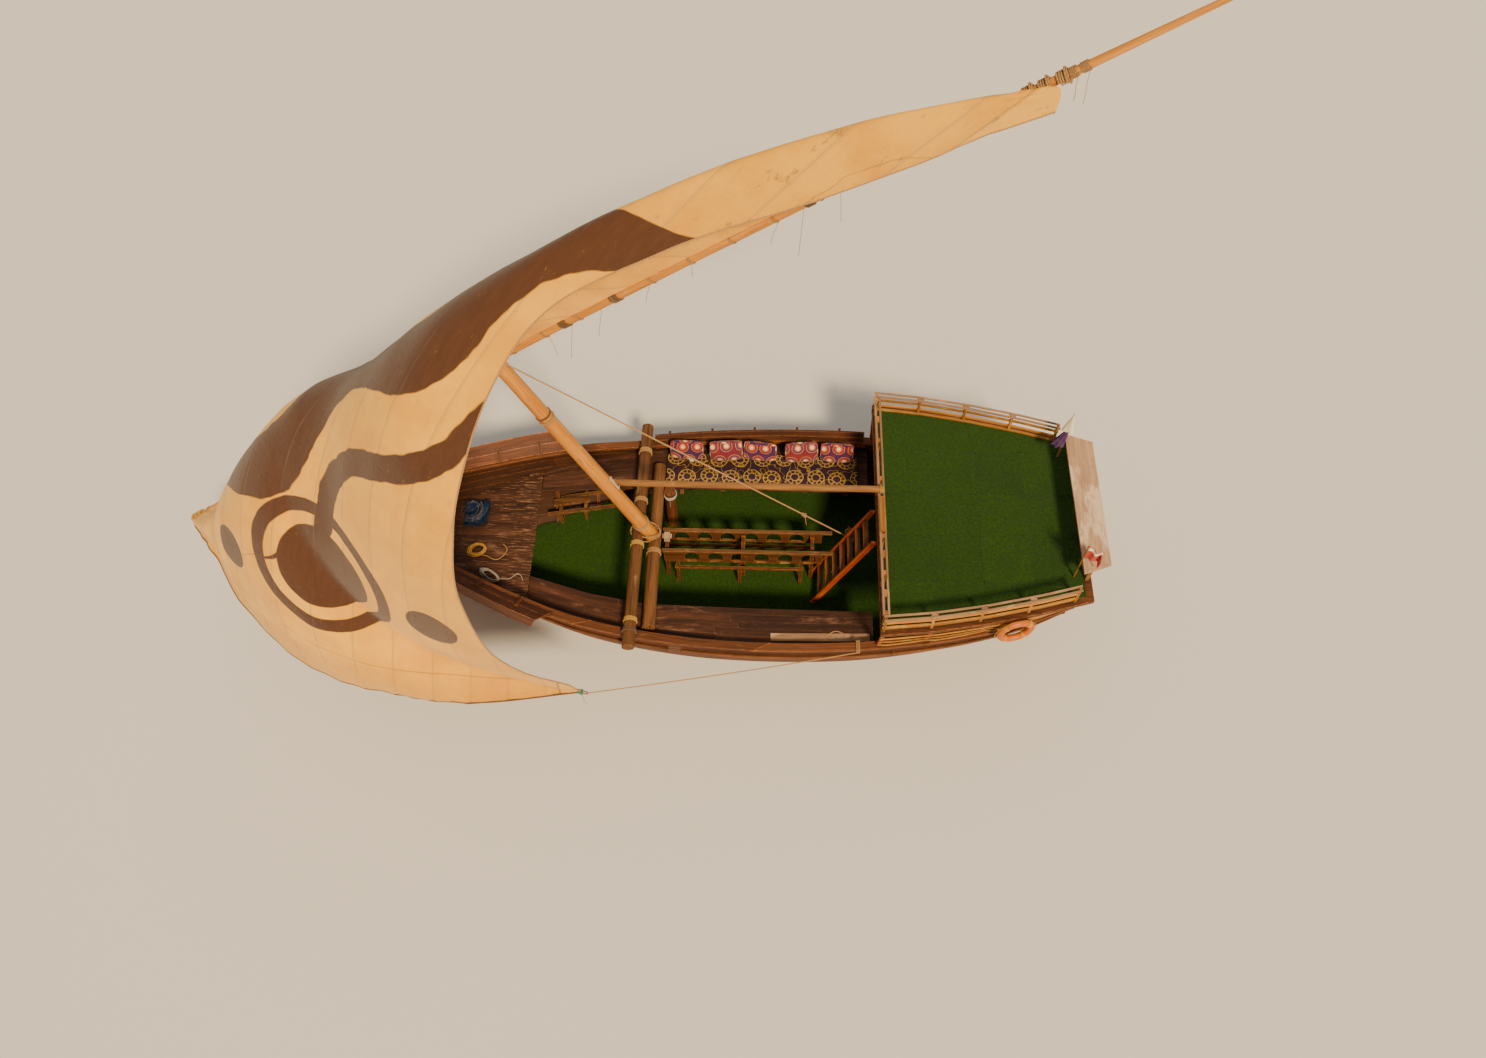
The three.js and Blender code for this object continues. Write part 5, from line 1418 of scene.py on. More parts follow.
def makeTurfMaterial():
    material, tree, shader = newMaterial("turf", 0.9, Specular_IOR_Level=0.15, Sheen_Weight=0.15)
    position = objectSpot(tree)
    blades = noiseOn(tree, position, 150.0, 2.0)
    tufts = noiseOn(tree, position, 22.0, 5.0, 0.7)
    worn = noiseOn(tree, position, 1.6, 5.0, 0.6)
    tone = toneOf(tree)
    colour = blendColour(tree, soften(tree, tufts, 0.3, 0.7), (0.007, 0.029, 0.0008), (0.023, 0.072, 0.0016))
    colour = blendColour(tree, soften(tree, blades, 0.5, 0.8, 0.0, 0.5), colour, (0.070, 0.150, 0.006))
    colour = blendColour(tree, soften(tree, worn, 0.5, 0.7, 0.0, 0.5), colour, (0.012, 0.038, 0.002))
    shade = soften(tree, tone, 0.0, 1.0, 0.92, 1.06)
    colour = shaded(tree, colour, shade)
    paint(shader, colour)
    bump(tree, shader, plus(tree, blades, tufts), 0.8, 0.01)
    return material


def bladeField(name, spots, top, tones):
    count = len(spots)
    draws = np.random.default_rng(11)
    turn = draws.uniform(0, math.tau, count)
    lean = draws.normal(0, 0.005, (count, 2))
    high = draws.uniform(0.6, 1.0, count) * turfLook["blade"]
    half = np.stack([np.cos(turn), np.sin(turn), np.zeros(count)], 1) * turfLook["width"] / 2
    base = np.concatenate([spots, np.full((count, 1), top)], 1)
    tip = base + np.concatenate([lean, high[:, None]], 1)
    points = np.stack([base - half, base + half, tip], 1).reshape(-1, 3)
    mesh = bpy.data.meshes.new(name)
    mesh.from_pydata(points.tolist(), [], [(3 * i, 3 * i + 1, 3 * i + 2) for i in range(count)])
    tone = mesh.attributes.new("tone", "FLOAT", "FACE")
    tone.data.foreach_set("value", tones)
    mesh.materials.append(turfMaterial)
    piece = newObject(name, mesh)
    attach(piece, "hull")


def turfTiles(halfAt, start, stop, top, depth, seed):
    parts = []
    rows = max(1, round((stop - start) / turfLook["tile"]))
    widest = max(halfAt(mix(start, stop, i / 20)) for i in range(21))
    columns = max(1, math.ceil(2 * widest / turfLook["tile"]))
    for i in range(rows):
        for j in range(columns):
            x0, x1 = mix(start, stop, i / rows), mix(start, stop, (i + 1) / rows)
            y0 = -widest + 2 * widest * j / columns
            y1 = -widest + 2 * widest * (j + 1) / columns
            upper, lower = [], []
            for k in range(7):
                x = mix(x0 + turfLook["seam"] / 2, x1 - turfLook["seam"] / 2, k / 6)
                limit = halfAt(x)
                left, right = max(y0 + turfLook["seam"] / 2, -limit), min(y1 - turfLook["seam"] / 2, limit)
                if right - left < 0.02:
                    continue
                ys = [mix(left, right, m / 6) for m in range(7)]
                upper.append([Vector((x, y, top + 0.004 * noise.noise(Vector((x * 3, y * 3, seed))) - 0.003))
                              for y in ys])
                lower.append([Vector((x, y, top - depth)) for y in ys])
            if len(upper) > 1:
                parts.append(slabPart(upper, lower))
    return parts


def turfSpots(halfAt, start, stop, count, seed):
    draws = np.random.default_rng(seed)
    widest = max(halfAt(mix(start, stop, i / 20)) for i in range(21))
    xs = draws.uniform(start, stop, count)
    ys = draws.uniform(-widest, widest, count)
    keep = np.array([abs(y) < halfAt(x) for x, y in zip(xs, ys)])
    return np.stack([xs[keep], ys[keep]], 1), draws.uniform(0, 1, int(keep.sum()))


poopTable = [(-6.42, 1.610), (-5.50, 1.870), (-4.60, 2.080), (-3.70, 2.240), (-2.85, 2.330)]
poopTop, poopRailTop = 2.0006, 2.4306


def poopHalf(x):
    return readTable(poopTable, x)


turfMaterial = makeTurfMaterial()


def makeTurf():
    holdHalf = innerTable(-0.05, 0.146)
    parts = turfTiles(lambda x: readTable(holdHalf, x), -4.845, 3.945, -0.0397, 0.019, 1.0)
    makePiece("holdTurf", parts, turfMaterial, replaces=["hold_turf"], bevel=0.004)
    spots, tones = turfSpots(lambda x: readTable(holdHalf, x) - 0.01, -3.2, 3.93, 62000, 3)
    bladeField("holdBlades", spots, -0.043, tones)
    parts = turfTiles(lambda x: poopHalf(x) - 0.110, -6.29, -2.96, poopTop, 0.0195, 5.0)
    makePiece("poopTurf", parts, turfMaterial, replaces=["poop_turf"], bevel=0.004)
    spots, tones = turfSpots(lambda x: poopHalf(x) - 0.115, -6.285, -2.965, 56000, 4)
    bladeField("poopBlades", spots, poopTop - 0.004, tones)


makeTurf()
print("turf laid")

# Spars: mast, yard, beams and poles, each a little crooked and with its own wraps of rope
mastHeel, mastHead = Vector((1.08, 0, 0.985)), Vector((3.25, 0, 6.472))
mastAxis = (mastHead - mastHeel).normalized()
mastLength = (mastHead - mastHeel).length


def mastAt(share):
    return mastHeel + mastAxis * mastLength * share


def mastAtHeight(z):
    return mastHeel + mastAxis * ((z - mastHeel.z) / mastAxis.z)


def mastRadiusAt(share):
    return mix(0.135, 0.112, share)


# A wrap of rope round a bar: turns laid side by side, a crossing over them and a loose end
def lashing(centre, direction, radius, diameter, turns, loose=0.0, frapped=True):
    direction = Vector(direction).normalized()
    parts = [thinRope(wrapPath(centre, direction, radius, diameter, turns), diameter)]
    if frapped:
        shift = Vector(centre) + direction * diameter * turns * 0.28
        parts.append(ropePart(wrapPath(shift, direction, radius + diameter * 0.8, diameter,
                                       max(1, turns // 3)), diameter, sides=7, steps=5))
    if loose:
        side = sideOf(direction)
        start = Vector(centre) + side * (radius + diameter * 0.5) + direction * diameter * turns * 0.5
        path = [start + Vector((0, 0, 0.02)), start + side * 0.02 - Vector((0, 0, loose * 0.3)),
                start + side * 0.03 + direction * 0.02 - Vector((0, 0, loose * 0.7)),
                start + side * 0.015 + direction * 0.03 - Vector((0, 0, loose))]
        parts.append(thinRope(smoothPath(path, 6), diameter * 0.8))
    return parts


mastLook = {"sides": 30, "steps": 60, "wobble": 0.018,
            "wraps": [(0.655, 7, 0.012, "pale"), (0.675, 4, 0.010, "dark"), (0.925, 9, 0.014, "pale"),
                      (0.09, 7, 0.012, "pale")]}


def makeMast():
    shares = [i / mastLook["steps"] for i in range(mastLook["steps"] + 1)]
    path = [mastAt(share) for share in shares]
    path[0] = mastHeel + mastAxis * 0.03
    path[-1] = mastHead - mastAxis * 0.035
    radii = [mastRadiusAt(share) - 0.001 for share in shares]
    part = roundPart(path, radii, mastLook["sides"], mastLook["wobble"], roundEnds=0.5)
    makePiece("mastSpar", [part], wood("spar"), replaces=["mast"])
    for i, (share, turns, diameter, colour) in enumerate(mastLook["wraps"]):
        parts = lashing(mastAt(share), mastAxis, mastRadiusAt(share), diameter, turns, 0.35 if i == 2 else 0)
        ropePiece(f"mastWrap{i + 1}", parts, colour)
    low = mastAt(0.30) + Vector((-0.15, 0, 0))
    cleat = barPart(low, low + mastAxis * 0.30, 0.05, 0.04)
    makePiece("mastCleat", [cleat], wood("weathered"), bevel=0.012)


yardLook = {"sides": 26, "steps": 130, "wobble": 0.03,
            "wraps": [(0.335, 9), (0.375, 9), (0.505, 8), (0.555, 8), (0.72, 7)]}


def yardRadiusAt(share):
    return readTable(yardRadii, share)


def makeYard():
    shares = [i / yardLook["steps"] for i in range(yardLook["steps"] + 1)]
    path = [yardPoint(share) for share in shares]
    radii = [yardRadiusAt(share) - 0.001 for share in shares]
    part = roundPart(path, radii, yardLook["sides"], yardLook["wobble"], roundEnds=0.4)
    makePiece("yardSpar", [part], wood("spar"), body="yard", replaces=["yard"])
    parts = []
    for share, turns in yardLook["wraps"]:
        direction = yardWay(share, 0.01)
        parts += lashing(yardPoint(share), direction, yardRadiusAt(share), 0.016, turns, frapped=False)
    ropePiece("yardWraps", parts, "dark", "yard")


beams = {
    "crossbeam": {"ends": [(1.325, -2.320, 1.2212), (1.365, 2.340, 1.2212)], "radii": (0.106, 0.109),
                  "wood": "log", "slot": "weathered_wood"},
    "mast_beam": {"ends": [(1.060, -1.560, 1.0114), (1.060, 1.860, 1.0114)], "radii": (0.112, 0.114),
                  "wood": "log", "slot": "timber"},
    "bitt_post": {"ends": [(0.838, -0.930, -0.0394), (0.838, -0.930, 1.130)], "radii": (0.109, 0.104),
                  "wood": "timber", "slot": "timber"},
    "pole": {"ends": [(1.833, -0.195, 2.4889), (-2.960, -0.170, 2.4889)], "radii": (0.057, 0.057),
             "wood": "paleWood", "slot": "pale_wood"},
}
deckPost = {"foot": (-2.470, -0.150, -0.0394), "top": 1.080, "radii": (0.062, 0.058)}


def makeBeams():
    for name, look in beams.items():
        low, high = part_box(name)
        ends = [Vector(p) for p in look["ends"]]
        if name == "pole":
            ends[0].x = high.x - 0.003
            for end in ends:
                end.z = (low.z + high.z) / 2
        if name in ("crossbeam", "mast_beam"):
            for end in ends:
                end.z = (low.z + high.z) / 2
        direction = (ends[1] - ends[0]).normalized()
        count = max(6, int((ends[1] - ends[0]).length / 0.09))
        inset = 0.03
        start, end = ends[0] + direction * inset, ends[1] - direction * inset
        path = [start.lerp(end, i / count) for i in range(count + 1)]
        radii = [mix(*look["radii"], i / count) for i in range(count + 1)]
        part = roundPart(path, radii, 24, 0.03, roundEnds=0.3)
        makePiece(f"{name}Log", [part], wood(look["wood"]), replaces=[name])
    foot = Vector(deckPost["foot"])
    path = [foot.lerp(Vector((foot.x, foot.y, deckPost["top"])), i / 10) for i in range(11)]
    path[0].z += 0.01
    path[-1].z -= 0.015
    parts = [roundPart(path, [mix(*deckPost["radii"], i / 10) for i in range(11)], 20, 0.03)]
    arm = [Vector((foot.x, mix(foot.y - 0.17, foot.y + 0.17, i / 6), 0.96)) for i in range(7)]
    parts.append(roundPart(arm, [0.027] * 7, 14, 0.03))
    makePiece("halyardPost", parts, wood("timber"), replaces=["halyard_bitt"])


lashings = [
    # name, centre, direction, radius, diameter, turns, loose end, colour
    ("beamLashing1", (1.331, -1.70, 1.2212), (0, 1, 0), 0.108, 0.011, 9, 0.45, "pale"),
    ("beamLashing2", (1.338, -0.62, 1.2212), (0, 1, 0), 0.108, 0.011, 8, 0.0, "pale"),
    ("beamLashing3", (1.345, 0.30, 1.2212), (0, 1, 0), 0.108, 0.010, 9, 0.18, "yellow"),
    ("beamLashing4", (1.358, 1.80, 1.2212), (0, 1, 0), 0.108, 0.010, 8, 0.30, "yellow"),
    ("beamLashing5", (1.362, 2.00, 1.2212), (0, 1, 0), 0.109, 0.012, 6, 0.0, "dark"),
    ("mastBeamLashing", (1.060, 0.33, 1.0114), (0, 1, 0), 0.114, 0.012, 8, 0.25, "pale"),
    ("bittLashing", (0.838, -0.93, 0.98), (0, 0, 1), 0.105, 0.012, 7, 0.30, "grey"),
    ("poleLashingAft", (-2.900, -0.170, 2.4889), (1, 0, 0), 0.057, 0.010, 8, 0.32, "yellow"),
    ("poleLashingFore", (1.700, -0.194, 2.4889), (1, 0, 0), 0.057, 0.011, 8, 0.40, "pale"),
]


def makeLashings():
    for name, centre, direction, radius, diameter, turns, loose, colour in lashings:
        ropePiece(name, lashing(centre, direction, radius, diameter, turns, loose), colour)
    # Crossed turns bind the mast's heel to the beam ahead of it
    parts = []
    middle = Vector((1.22, 0, 1.16))
    for i, tilt in enumerate((-1, -1, -1, 1, 1, 1)):
        spread = (i % 3 - 1) * 0.019
        across, forward = 0.152 + 0.004 * i, 0.265
        path = loopPath(48, lambda angle: middle + Vector((
            math.cos(angle) * forward + spread * 0.4, math.sin(angle) * across,
            0.02 + tilt * math.sin(angle) * 0.09 + spread)))
        parts.append(thinRope(path, 0.012))
    ropePiece("heelLashing", parts, "pale")


makeMast()
makeYard()
makeBeams()
makeLashings()
print("spars and lashings made")

# Running rigging
rigging = {
    "halyardTop": 6.05, "halyardFoot": (-2.4022, -0.150, 0.930), "halyard": 0.028,
    "sheetEnd": (-2.55, 2.262, 1.125), "sheet": 0.022, "parrelShare": 0.4205, "parrelRope": 0.021,
}


def makeHalyard():
    top, foot = mastAtHeight(rigging["halyardTop"]), Vector(rigging["halyardFoot"])
    path = [top.lerp(foot, i / 40) for i in range(41)]
    ropePiece("halyardRope", [ropePart(path, rigging["halyard"])], "pale",
              replaces=["halyard"])
    centre = Vector((deckPost["foot"][0], deckPost["foot"][1], 0.0))
    parts = lashing(centre + Vector((0, 0, 0.90)), (0, 0, 1), 0.060, 0.024, 4, 0.0, frapped=False)
    figure = loopPath(32, lambda angle: centre + Vector((
        0.072 * math.sin(2 * angle), 0.125 * math.sin(angle),
        0.96 + 0.028 * math.cos(angle) + 0.006 * angle / math.tau)), 3)
    parts.append(ropePart(figure, 0.022))
    tail = [centre + Vector(p) for p in ((0.10, 0.10, 0.86), (0.12, 0.13, 0.55), (0.10, 0.12, 0.25),
                                         (0.14, 0.16, -0.02), (0.28, 0.24, -0.026))]
    parts.append(ropePart(smoothPath([figure[-1], *tail], 10), 0.022))
    ropePiece("halyardBelay", parts, "pale")
    # A toggle and a knot ride on the halyard
    direction = (foot - top).normalized()
    toggle = top.lerp(foot, 0.505) - Vector((0, 0, 0.05))
    parts = [roundPart([toggle + direction * (0.10 * (i / 8 - 0.5)) for i in range(9)],
                       [0.008 + 0.026 * math.sin(math.pi * (i + 0.6) / 9.6) for i in range(9)], 14, 0.02)]
    ropePiece("halyardToggle", parts, "grey")
    parts = lashing(top.lerp(foot, 0.505), direction, 0.013, 0.010, 4, 0.0, frapped=False)
    parts += lashing(top.lerp(foot, 0.855), direction, 0.013, 0.018, 5, 0.22)
    ropePiece("halyardKnots", parts, "pale")


def makeParrel():
    share = rigging["parrelShare"]
    onYard = yardPoint(share)
    height = (onYard - mastHeel).dot(mastAxis)
    centre = mastHeel + mastAxis * height
    mastHere = mastRadiusAt(height / mastLength)
    diameter = rigging["parrelRope"]
    parts = []
    for layer in range(3):
        reach = mastHere + 0.003 + diameter * 0.9 * layer
        parts.append(ropePart(wrapPath(centre, mastAxis, reach, diameter, 4 - layer * 0.5), diameter))
    yardHere = yardRadiusAt(share)
    direction = yardWay(share, 0.01)
    for shift in (-0.25, 0.25):
        at = onYard + direction.normalized() * shift
        parts.append(ropePart(wrapPath(at, direction, yardHere, diameter, 5), diameter))
    along = direction.normalized()
    for turn in range(4):
        back = -(mastHere + diameter * (0.6 + 0.9 * turn))
        front = 0.275 + yardHere + diameter * (0.6 + 0.5 * (turn % 2))
        reach = 0.175 + diameter * turn * 0.9
        ring = loopPath(64, lambda angle: (
            centre + along * reach * math.cos(angle) + mastAxis * reach * math.sin(angle)
            + Vector((0, (back + front) / 2 + math.cos(2 * angle) * (front - back) / 2, 0))))
        parts.append(ropePart(ring, diameter))
    ropePiece("parrelRopes", parts, "dark", "yard", replaces=["parrel"])


robands = [
    # share of the yard, length of the loose end
    (0.485, 0.55), (0.510, 0.85), (0.540, 0.70), (0.587, 0.45), (0.623, 0.35), (0.698, 0.50),
    (0.717, 0.90), (0.745, 0.60), (0.30, 0.30), (0.22, 0.25), (0.14, 0.30), (0.81, 0.25),
]


def makeRobands():
    parts = []
    count = 24
    shares = [mix(0.03, 0.868, i / count) for i in range(count + 1)]
    for share in shares:
        direction = yardWay(share)
        parts += lashing(yardPoint(share), direction, yardRadiusAt(share) + 0.002, 0.011, 3, frapped=False)
    for share, length in robands:
        foot = yardPoint(share) + Vector((0, -yardRadiusAt(share) * 0.6, -yardRadiusAt(share) * 0.9))
        sway = chance.uniform(-0.12, 0.12)
        path = smoothPath([foot, foot + Vector((sway * 0.2, -0.02, -length * 0.3)),
                           foot + Vector((sway * 0.7, -0.03, -length * 0.7)),
                           foot + Vector((sway, -0.02, -length))], 8)
        parts.append(ropePart(path, 0.010, sides=6, steps=5))
    ropePiece("robandTies", parts, "pale", "yard")


def makeBoltRope():
    clew = round(sailSections[clewRow][0] * sailLook["rows"])
    edge = [Vector(p) for p in sailGrid[:, -1]]
    ropePiece("footRope", [ropePart(edge[:clew + 1], 0.034)], "dark", "yard")
    ropePiece("leechRope", [ropePart(edge[clew:], 0.028)], "pale", "yard")
    # Clew: an eye, its seizing and the green cord on it
    corner, back = edge[clew], Vector(sailGrid[clew, -6])
    out = (corner - back).normalized()
    eye = loopPath(32, lambda angle: (
        corner + out * (0.045 + 0.05 * math.cos(angle)) + Vector((0, 0, 0.05 * math.sin(angle)))))
    ropePiece("clewEye", [ropePart(eye, 0.022)], "dark", "yard")
    parts = lashing(corner - out * 0.03, out, 0.03, 0.012, 8, 0.35)
    ropePiece("clewSeizing", parts, "green", "yard")
    # Tack and peak: the corners are lashed to the yard
    foot = sailLook["foot"]
    parts = []
    for shift in (0.0, 0.006, 0.012):
        direction = yardPoint(foot + shift + 0.004) - yardPoint(foot + shift)
        parts += lashing(yardPoint(foot + shift), direction, yardRadiusAt(foot) + 0.004, 0.018, 4, 0.3)
    ropePiece("tackLashing", parts, "yellow", "yard")
    parts = []
    for share in (0.872, 0.882, 0.893):
        direction = yardWay(share)
        parts += lashing(yardPoint(share), direction, yardRadiusAt(share) + 0.006, 0.026, 5, 0.0)
    ropePiece("peakLashing", parts, "pale", "yard")
    return corner + out * 0.09


def makeSheetRope(start):
    end = Vector(rigging["sheetEnd"])
    path = []
    for i in range(41):
        t = i / 40
        path.append(start.lerp(end, t) - Vector((0, 0, 0.06 * 4 * t * (1 - t))))
    piece = ropePiece("sheetRope", [ropePart(path, rigging["sheet"])], "pale", None)
    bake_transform(piece)
    # Its end is made fast round the cap rail
    half, z = sheerAt(end.x)
    loops = []
    for k in range(3):
        x = end.x + (k - 1) * 0.024
        ring = loopPath(32, lambda angle: Vector((
            x, half - 0.04 + 0.100 * max(-1, min(1, 1.35 * math.cos(angle))),
            z + 0.027 + 0.045 * max(-1, min(1, 1.35 * math.sin(angle))))))
        loops.append(ropePart(ring, rigging["sheet"]))
    tail = smoothPath([(end.x, half - 0.11, z + 0.08), (end.x + 0.05, half - 0.20, z - 0.02),
                       (end.x + 0.10, half - 0.30, 0.915), (end.x + 0.35, half - 0.42, 0.912),
                       (end.x + 0.52, half - 0.30, 0.912), (end.x + 0.40, half - 0.22, 0.913)])
    loops.append(ropePart(tail, rigging["sheet"]))
    ropePiece("sheetBelay", loops, "pale")


ropes["green"] = ropeMaterial("ropeGreen", (0.02, 0.12, 0.07), (0.08, 0.36, 0.22))
makeHalyard()
makeParrel()
makeRobands()
sheetStart = makeBoltRope()
makeSheetRope(sheetStart)
print("rigging made")

# Ladder, racks and small gear in the hold
ladderLook = {"headX": -2.7975, "footX": -1.850, "sides": (-0.040, 0.590), "shift": 0.150, "treads": 7}


def makeLadder():
    def head(y):
        return Vector((ladderLook["headX"], y, poopTop - 0.020))

    def foot(y):
        return Vector((ladderLook["footX"], y + ladderLook["shift"], 0.0156))

    stringers = [barPart(foot(y), head(y), 0.040, 0.108, rows=8) for y in ladderLook["sides"]]
    makePiece("ladderSides", stringers, wood("redWood"), replaces=["ladder"], bevel=0.007)
    treads = []
    for i in range(1, ladderLook["treads"] + 1):
        t = i / (ladderLook["treads"] + 1)
        a, b = (foot(y).lerp(head(y), t) for y in ladderLook["sides"])
        direction = (b - a).normalized()
        treads.append(barPart(a + direction * 0.014, b - direction * 0.014, 0.093, 0.029, rows=4))
    makePiece("ladderTreads", treads, wood("timber"), bevel=0.006)


def addNodeBevels():
    widths = {
        0.008: ["keel", "stem", "sternpost", "transom", "rudder", "hold_bench", "rack_frame", "poop_frame",
                "stern_rail", "cleat_block"],
        0.006: ["frames"],
        0.002: ["gudgeon_lower", "gudgeon_upper"],
    }
    for width, names in widths.items():
        for name in names:
            nodes[name].data.shade_smooth()
            nodes[name].data.set_sharp_from_angle(angle=math.radians(35))
            addBevel(nodes[name], width)


rackLook = {
    "ends": (-1.980, 0.900), "rail": (-2.160, 0.930), "low": 0.550, "high": 0.874, "thickness": 0.027,
    "opening": (0.578, 0.850), "half": 0.137, "first": 0.600, "pitch": 0.424, "count": 6,
    "boards": {"rack_board_starboard": (-0.215, 0.0), "rack_board_port": (0.215, 0.212)},
}


def ring2d(curve, corners):
    spline = curve.splines.new("POLY")
    spline.points.add(len(corners) - 1)
    for point, corner in zip(spline.points, corners):
        point.co = (*corner, 0.0, 1.0)
    spline.use_cyclic_u = True


def makeRackBoard(name, y, shift):
    curve = bpy.data.curves.new(name, "CURVE")
    curve.dimensions = "2D"
    curve.fill_mode = "BOTH"
    curve.extrude = rackLook["thickness"] / 2 - 0.002
    curve.bevel_depth = 0.002
    (aft, fore), low, high = rackLook["ends"], rackLook["low"] + 0.002, rackLook["high"]
    ring2d(curve, [(aft + 0.002, low), (fore - 0.002, low), (fore - 0.002, high), (aft + 0.002, high)])
    centres = [rackLook["first"] - shift - i * rackLook["pitch"] for i in range(rackLook["count"])]
    foot, crown = rackLook["opening"]
    half = rackLook["half"]
    for x in centres:
        arc = [(x + half * math.cos(math.pi * k / 14), crown - half + half * math.sin(math.pi * k / 14))
               for k in range(15)]
        ring2d(curve, [(x + half, foot), *arc, (x - half, foot)])
    draft = newObject(name, curve)
    mesh = bpy.data.meshes.new_from_object(draft.evaluated_get(bpy.context.evaluated_depsgraph_get()))
    bpy.data.objects.remove(draft)
    mesh.transform(Matrix.Translation((0, y, 0)) @ Matrix.Rotation(math.pi / 2, 4, "X"))
    mesh.materials.clear()
    mesh.materials.append(wood("timber", "x"))
    board = newObject(f"{name}_arches", mesh)
    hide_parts(name)
    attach(board, "hull")
    rail = [barPart(Vector((rackLook["rail"][0], y, 0.898)), Vector((rackLook["rail"][1], y, 0.898)),
                    0.069, 0.044, rows=10)]
    for x in centres:
        side = -1 if y < 0 else 1
        middle = Vector((x, y + side * 0.024, foot - 0.012))
        rail.append(barPart(middle - Vector((0.092, 0, 0)), middle + Vector((0.092, 0, 0)), 0.020, 0.022))
    makePiece(f"{name}_rail", rail, wood("log"), bevel=0.004)


makeLadder()
for boardName, spot in rackLook["boards"].items():
    makeRackBoard(boardName, *spot)
addNodeBevels()
print("ladder and frames finished")

# Printed cloth of the seat pad and the pillows: discs in rings, some with spokes
def makeRingPrint():
    sockets = [("Vector", vectorIn, None), ("Pitch", floatIn, 0.36), ("Spokes", floatIn, 9.0),
               ("Band", floatIn, 0.06)]
    tree, ins, outs = newGroup("ringPrint", sockets, [
        ("Rim", floatIn), ("Disc", floatIn), ("Core", floatIn), ("Spokes", floatIn), ("Pick", floatIn)])
    size = calc(tree, "DIVIDE", 1.0, ins["Pitch"])
    scaled = vectorBy(tree, ins["Vector"], size)
    parts = axesOf(tree, scaled)
    row = calc(tree, "FLOOR", parts[1])
    shift = times(tree, calc(tree, "MODULO", absolute(tree, row), 2.0), 0.5)
    x = plus(tree, parts[0], shift)
    column = calc(tree, "FLOOR", x)
    seed = newNode(tree, "ShaderNodeCombineXYZ", {0: column, 1: row})
    draws = newNode(tree, "ShaderNodeTexWhiteNoise", {"Vector": seed.outputs[0]}, noise_dimensions="2D")
    stray = newNode(tree, "ShaderNodeSeparateColor", {0: draws.outputs["Color"]}).outputs
    x = minus(tree, calc(tree, "FRACT", x), soften(tree, stray[0], 0.0, 1.0, 0.45, 0.55))
    y = minus(tree, calc(tree, "FRACT", parts[1]), soften(tree, stray[1], 0.0, 1.0, 0.45, 0.55))
    reach = distanceOf(tree, x, y)
    angle = plus(tree, calc(tree, "ARCTAN2", y, x), stray[2])

    def band(middle, half):
        gap = absolute(tree, minus(tree, reach, middle))
        return soften(tree, minus(tree, gap, half), -0.008, 0.008, 1.0, 0.0)

    turns = calc(tree, "COSINE", times(tree, angle, ins["Spokes"]))
    spokes = times(tree, soften(tree, turns, 0.62, 0.78), band(0.285, 0.085))
    thin = times(tree, ins["Band"], 0.5)
    rim = calc(tree, "MAXIMUM", band(0.385, thin), band(0.195, thin))
    tree.links.new(rim, outs["Rim"])
    tree.links.new(soften(tree, reach, 0.29, 0.31, 1.0, 0.0), outs["Disc"])
    tree.links.new(soften(tree, reach, 0.125, 0.145, 1.0, 0.0), outs["Core"])
    tree.links.new(spokes, outs["Spokes"])
    tree.links.new(draws.outputs["Value"], outs["Pick"])
    return tree


ringGroup = makeRingPrint()


def printedCloth(name, look):
    material, tree, shader = newMaterial(name, 0.9, Specular_IOR_Level=0.15, Sheen_Weight=0.2)
    cloth = mapSpot(tree)
    waver = newNode(tree, "ShaderNodeTexNoise", {"Vector": cloth, "Scale": 7.0, "Detail": 2.0})
    waver = waver.outputs["Color"]
    waver = vectorBy(tree, waver, look["waver"])
    drawn = newNode(tree, "ShaderNodeVectorMath", {0: cloth, 1: waver}, operation="ADD").outputs[0]
    drawn = stretched(tree, drawn, (1.0, 1.0, 1.0), look["shift"])
    mark = place(tree, ringGroup, {"Vector": drawn, "Pitch": look["pitch"], "Spokes": look["spokes"],
                                   "Band": look["band"]})
    worn = noiseOn(tree, cloth, 9.0, 6.0, 0.65)
    scrolls = absolute(tree, minus(tree, noiseOn(tree, cloth, 5.5, 1.0), 0.5))
    scrolls = soften(tree, scrolls, 0.010, 0.022, look["scrolls"], 0.0)
    ground = blendColour(tree, soften(tree, mark["Pick"], 0.45, 0.55), look["ground"], look["second"])
    ground = blendColour(tree, scrolls, ground, look["spoke"])
    colour = blendColour(tree, times(tree, mark["Disc"], look["disc"][3]), ground, look["disc"][:3])
    colour = blendColour(tree, mark["Spokes"], colour, look["spoke"])
    colour = blendColour(tree, mark["Rim"], colour, look["rim"])
    colour = blendColour(tree, times(tree, mark["Core"], look["core"][3]), colour, look["core"][:3])
    colour = blendColour(tree, soften(tree, worn, 0.45, 0.75, 0.0, 0.4), colour, look["faded"])
    paint(shader, colour)
    threads = place(tree, weaveGroup, {"Vector": cloth, "Threads": 260.0})["Height"]
    crease = noiseOn(tree, cloth, 9.0, 5.0, 0.6)
    bump(tree, shader, plus(tree, times(tree, threads, 0.15), crease), 0.5, 0.008)
    return material


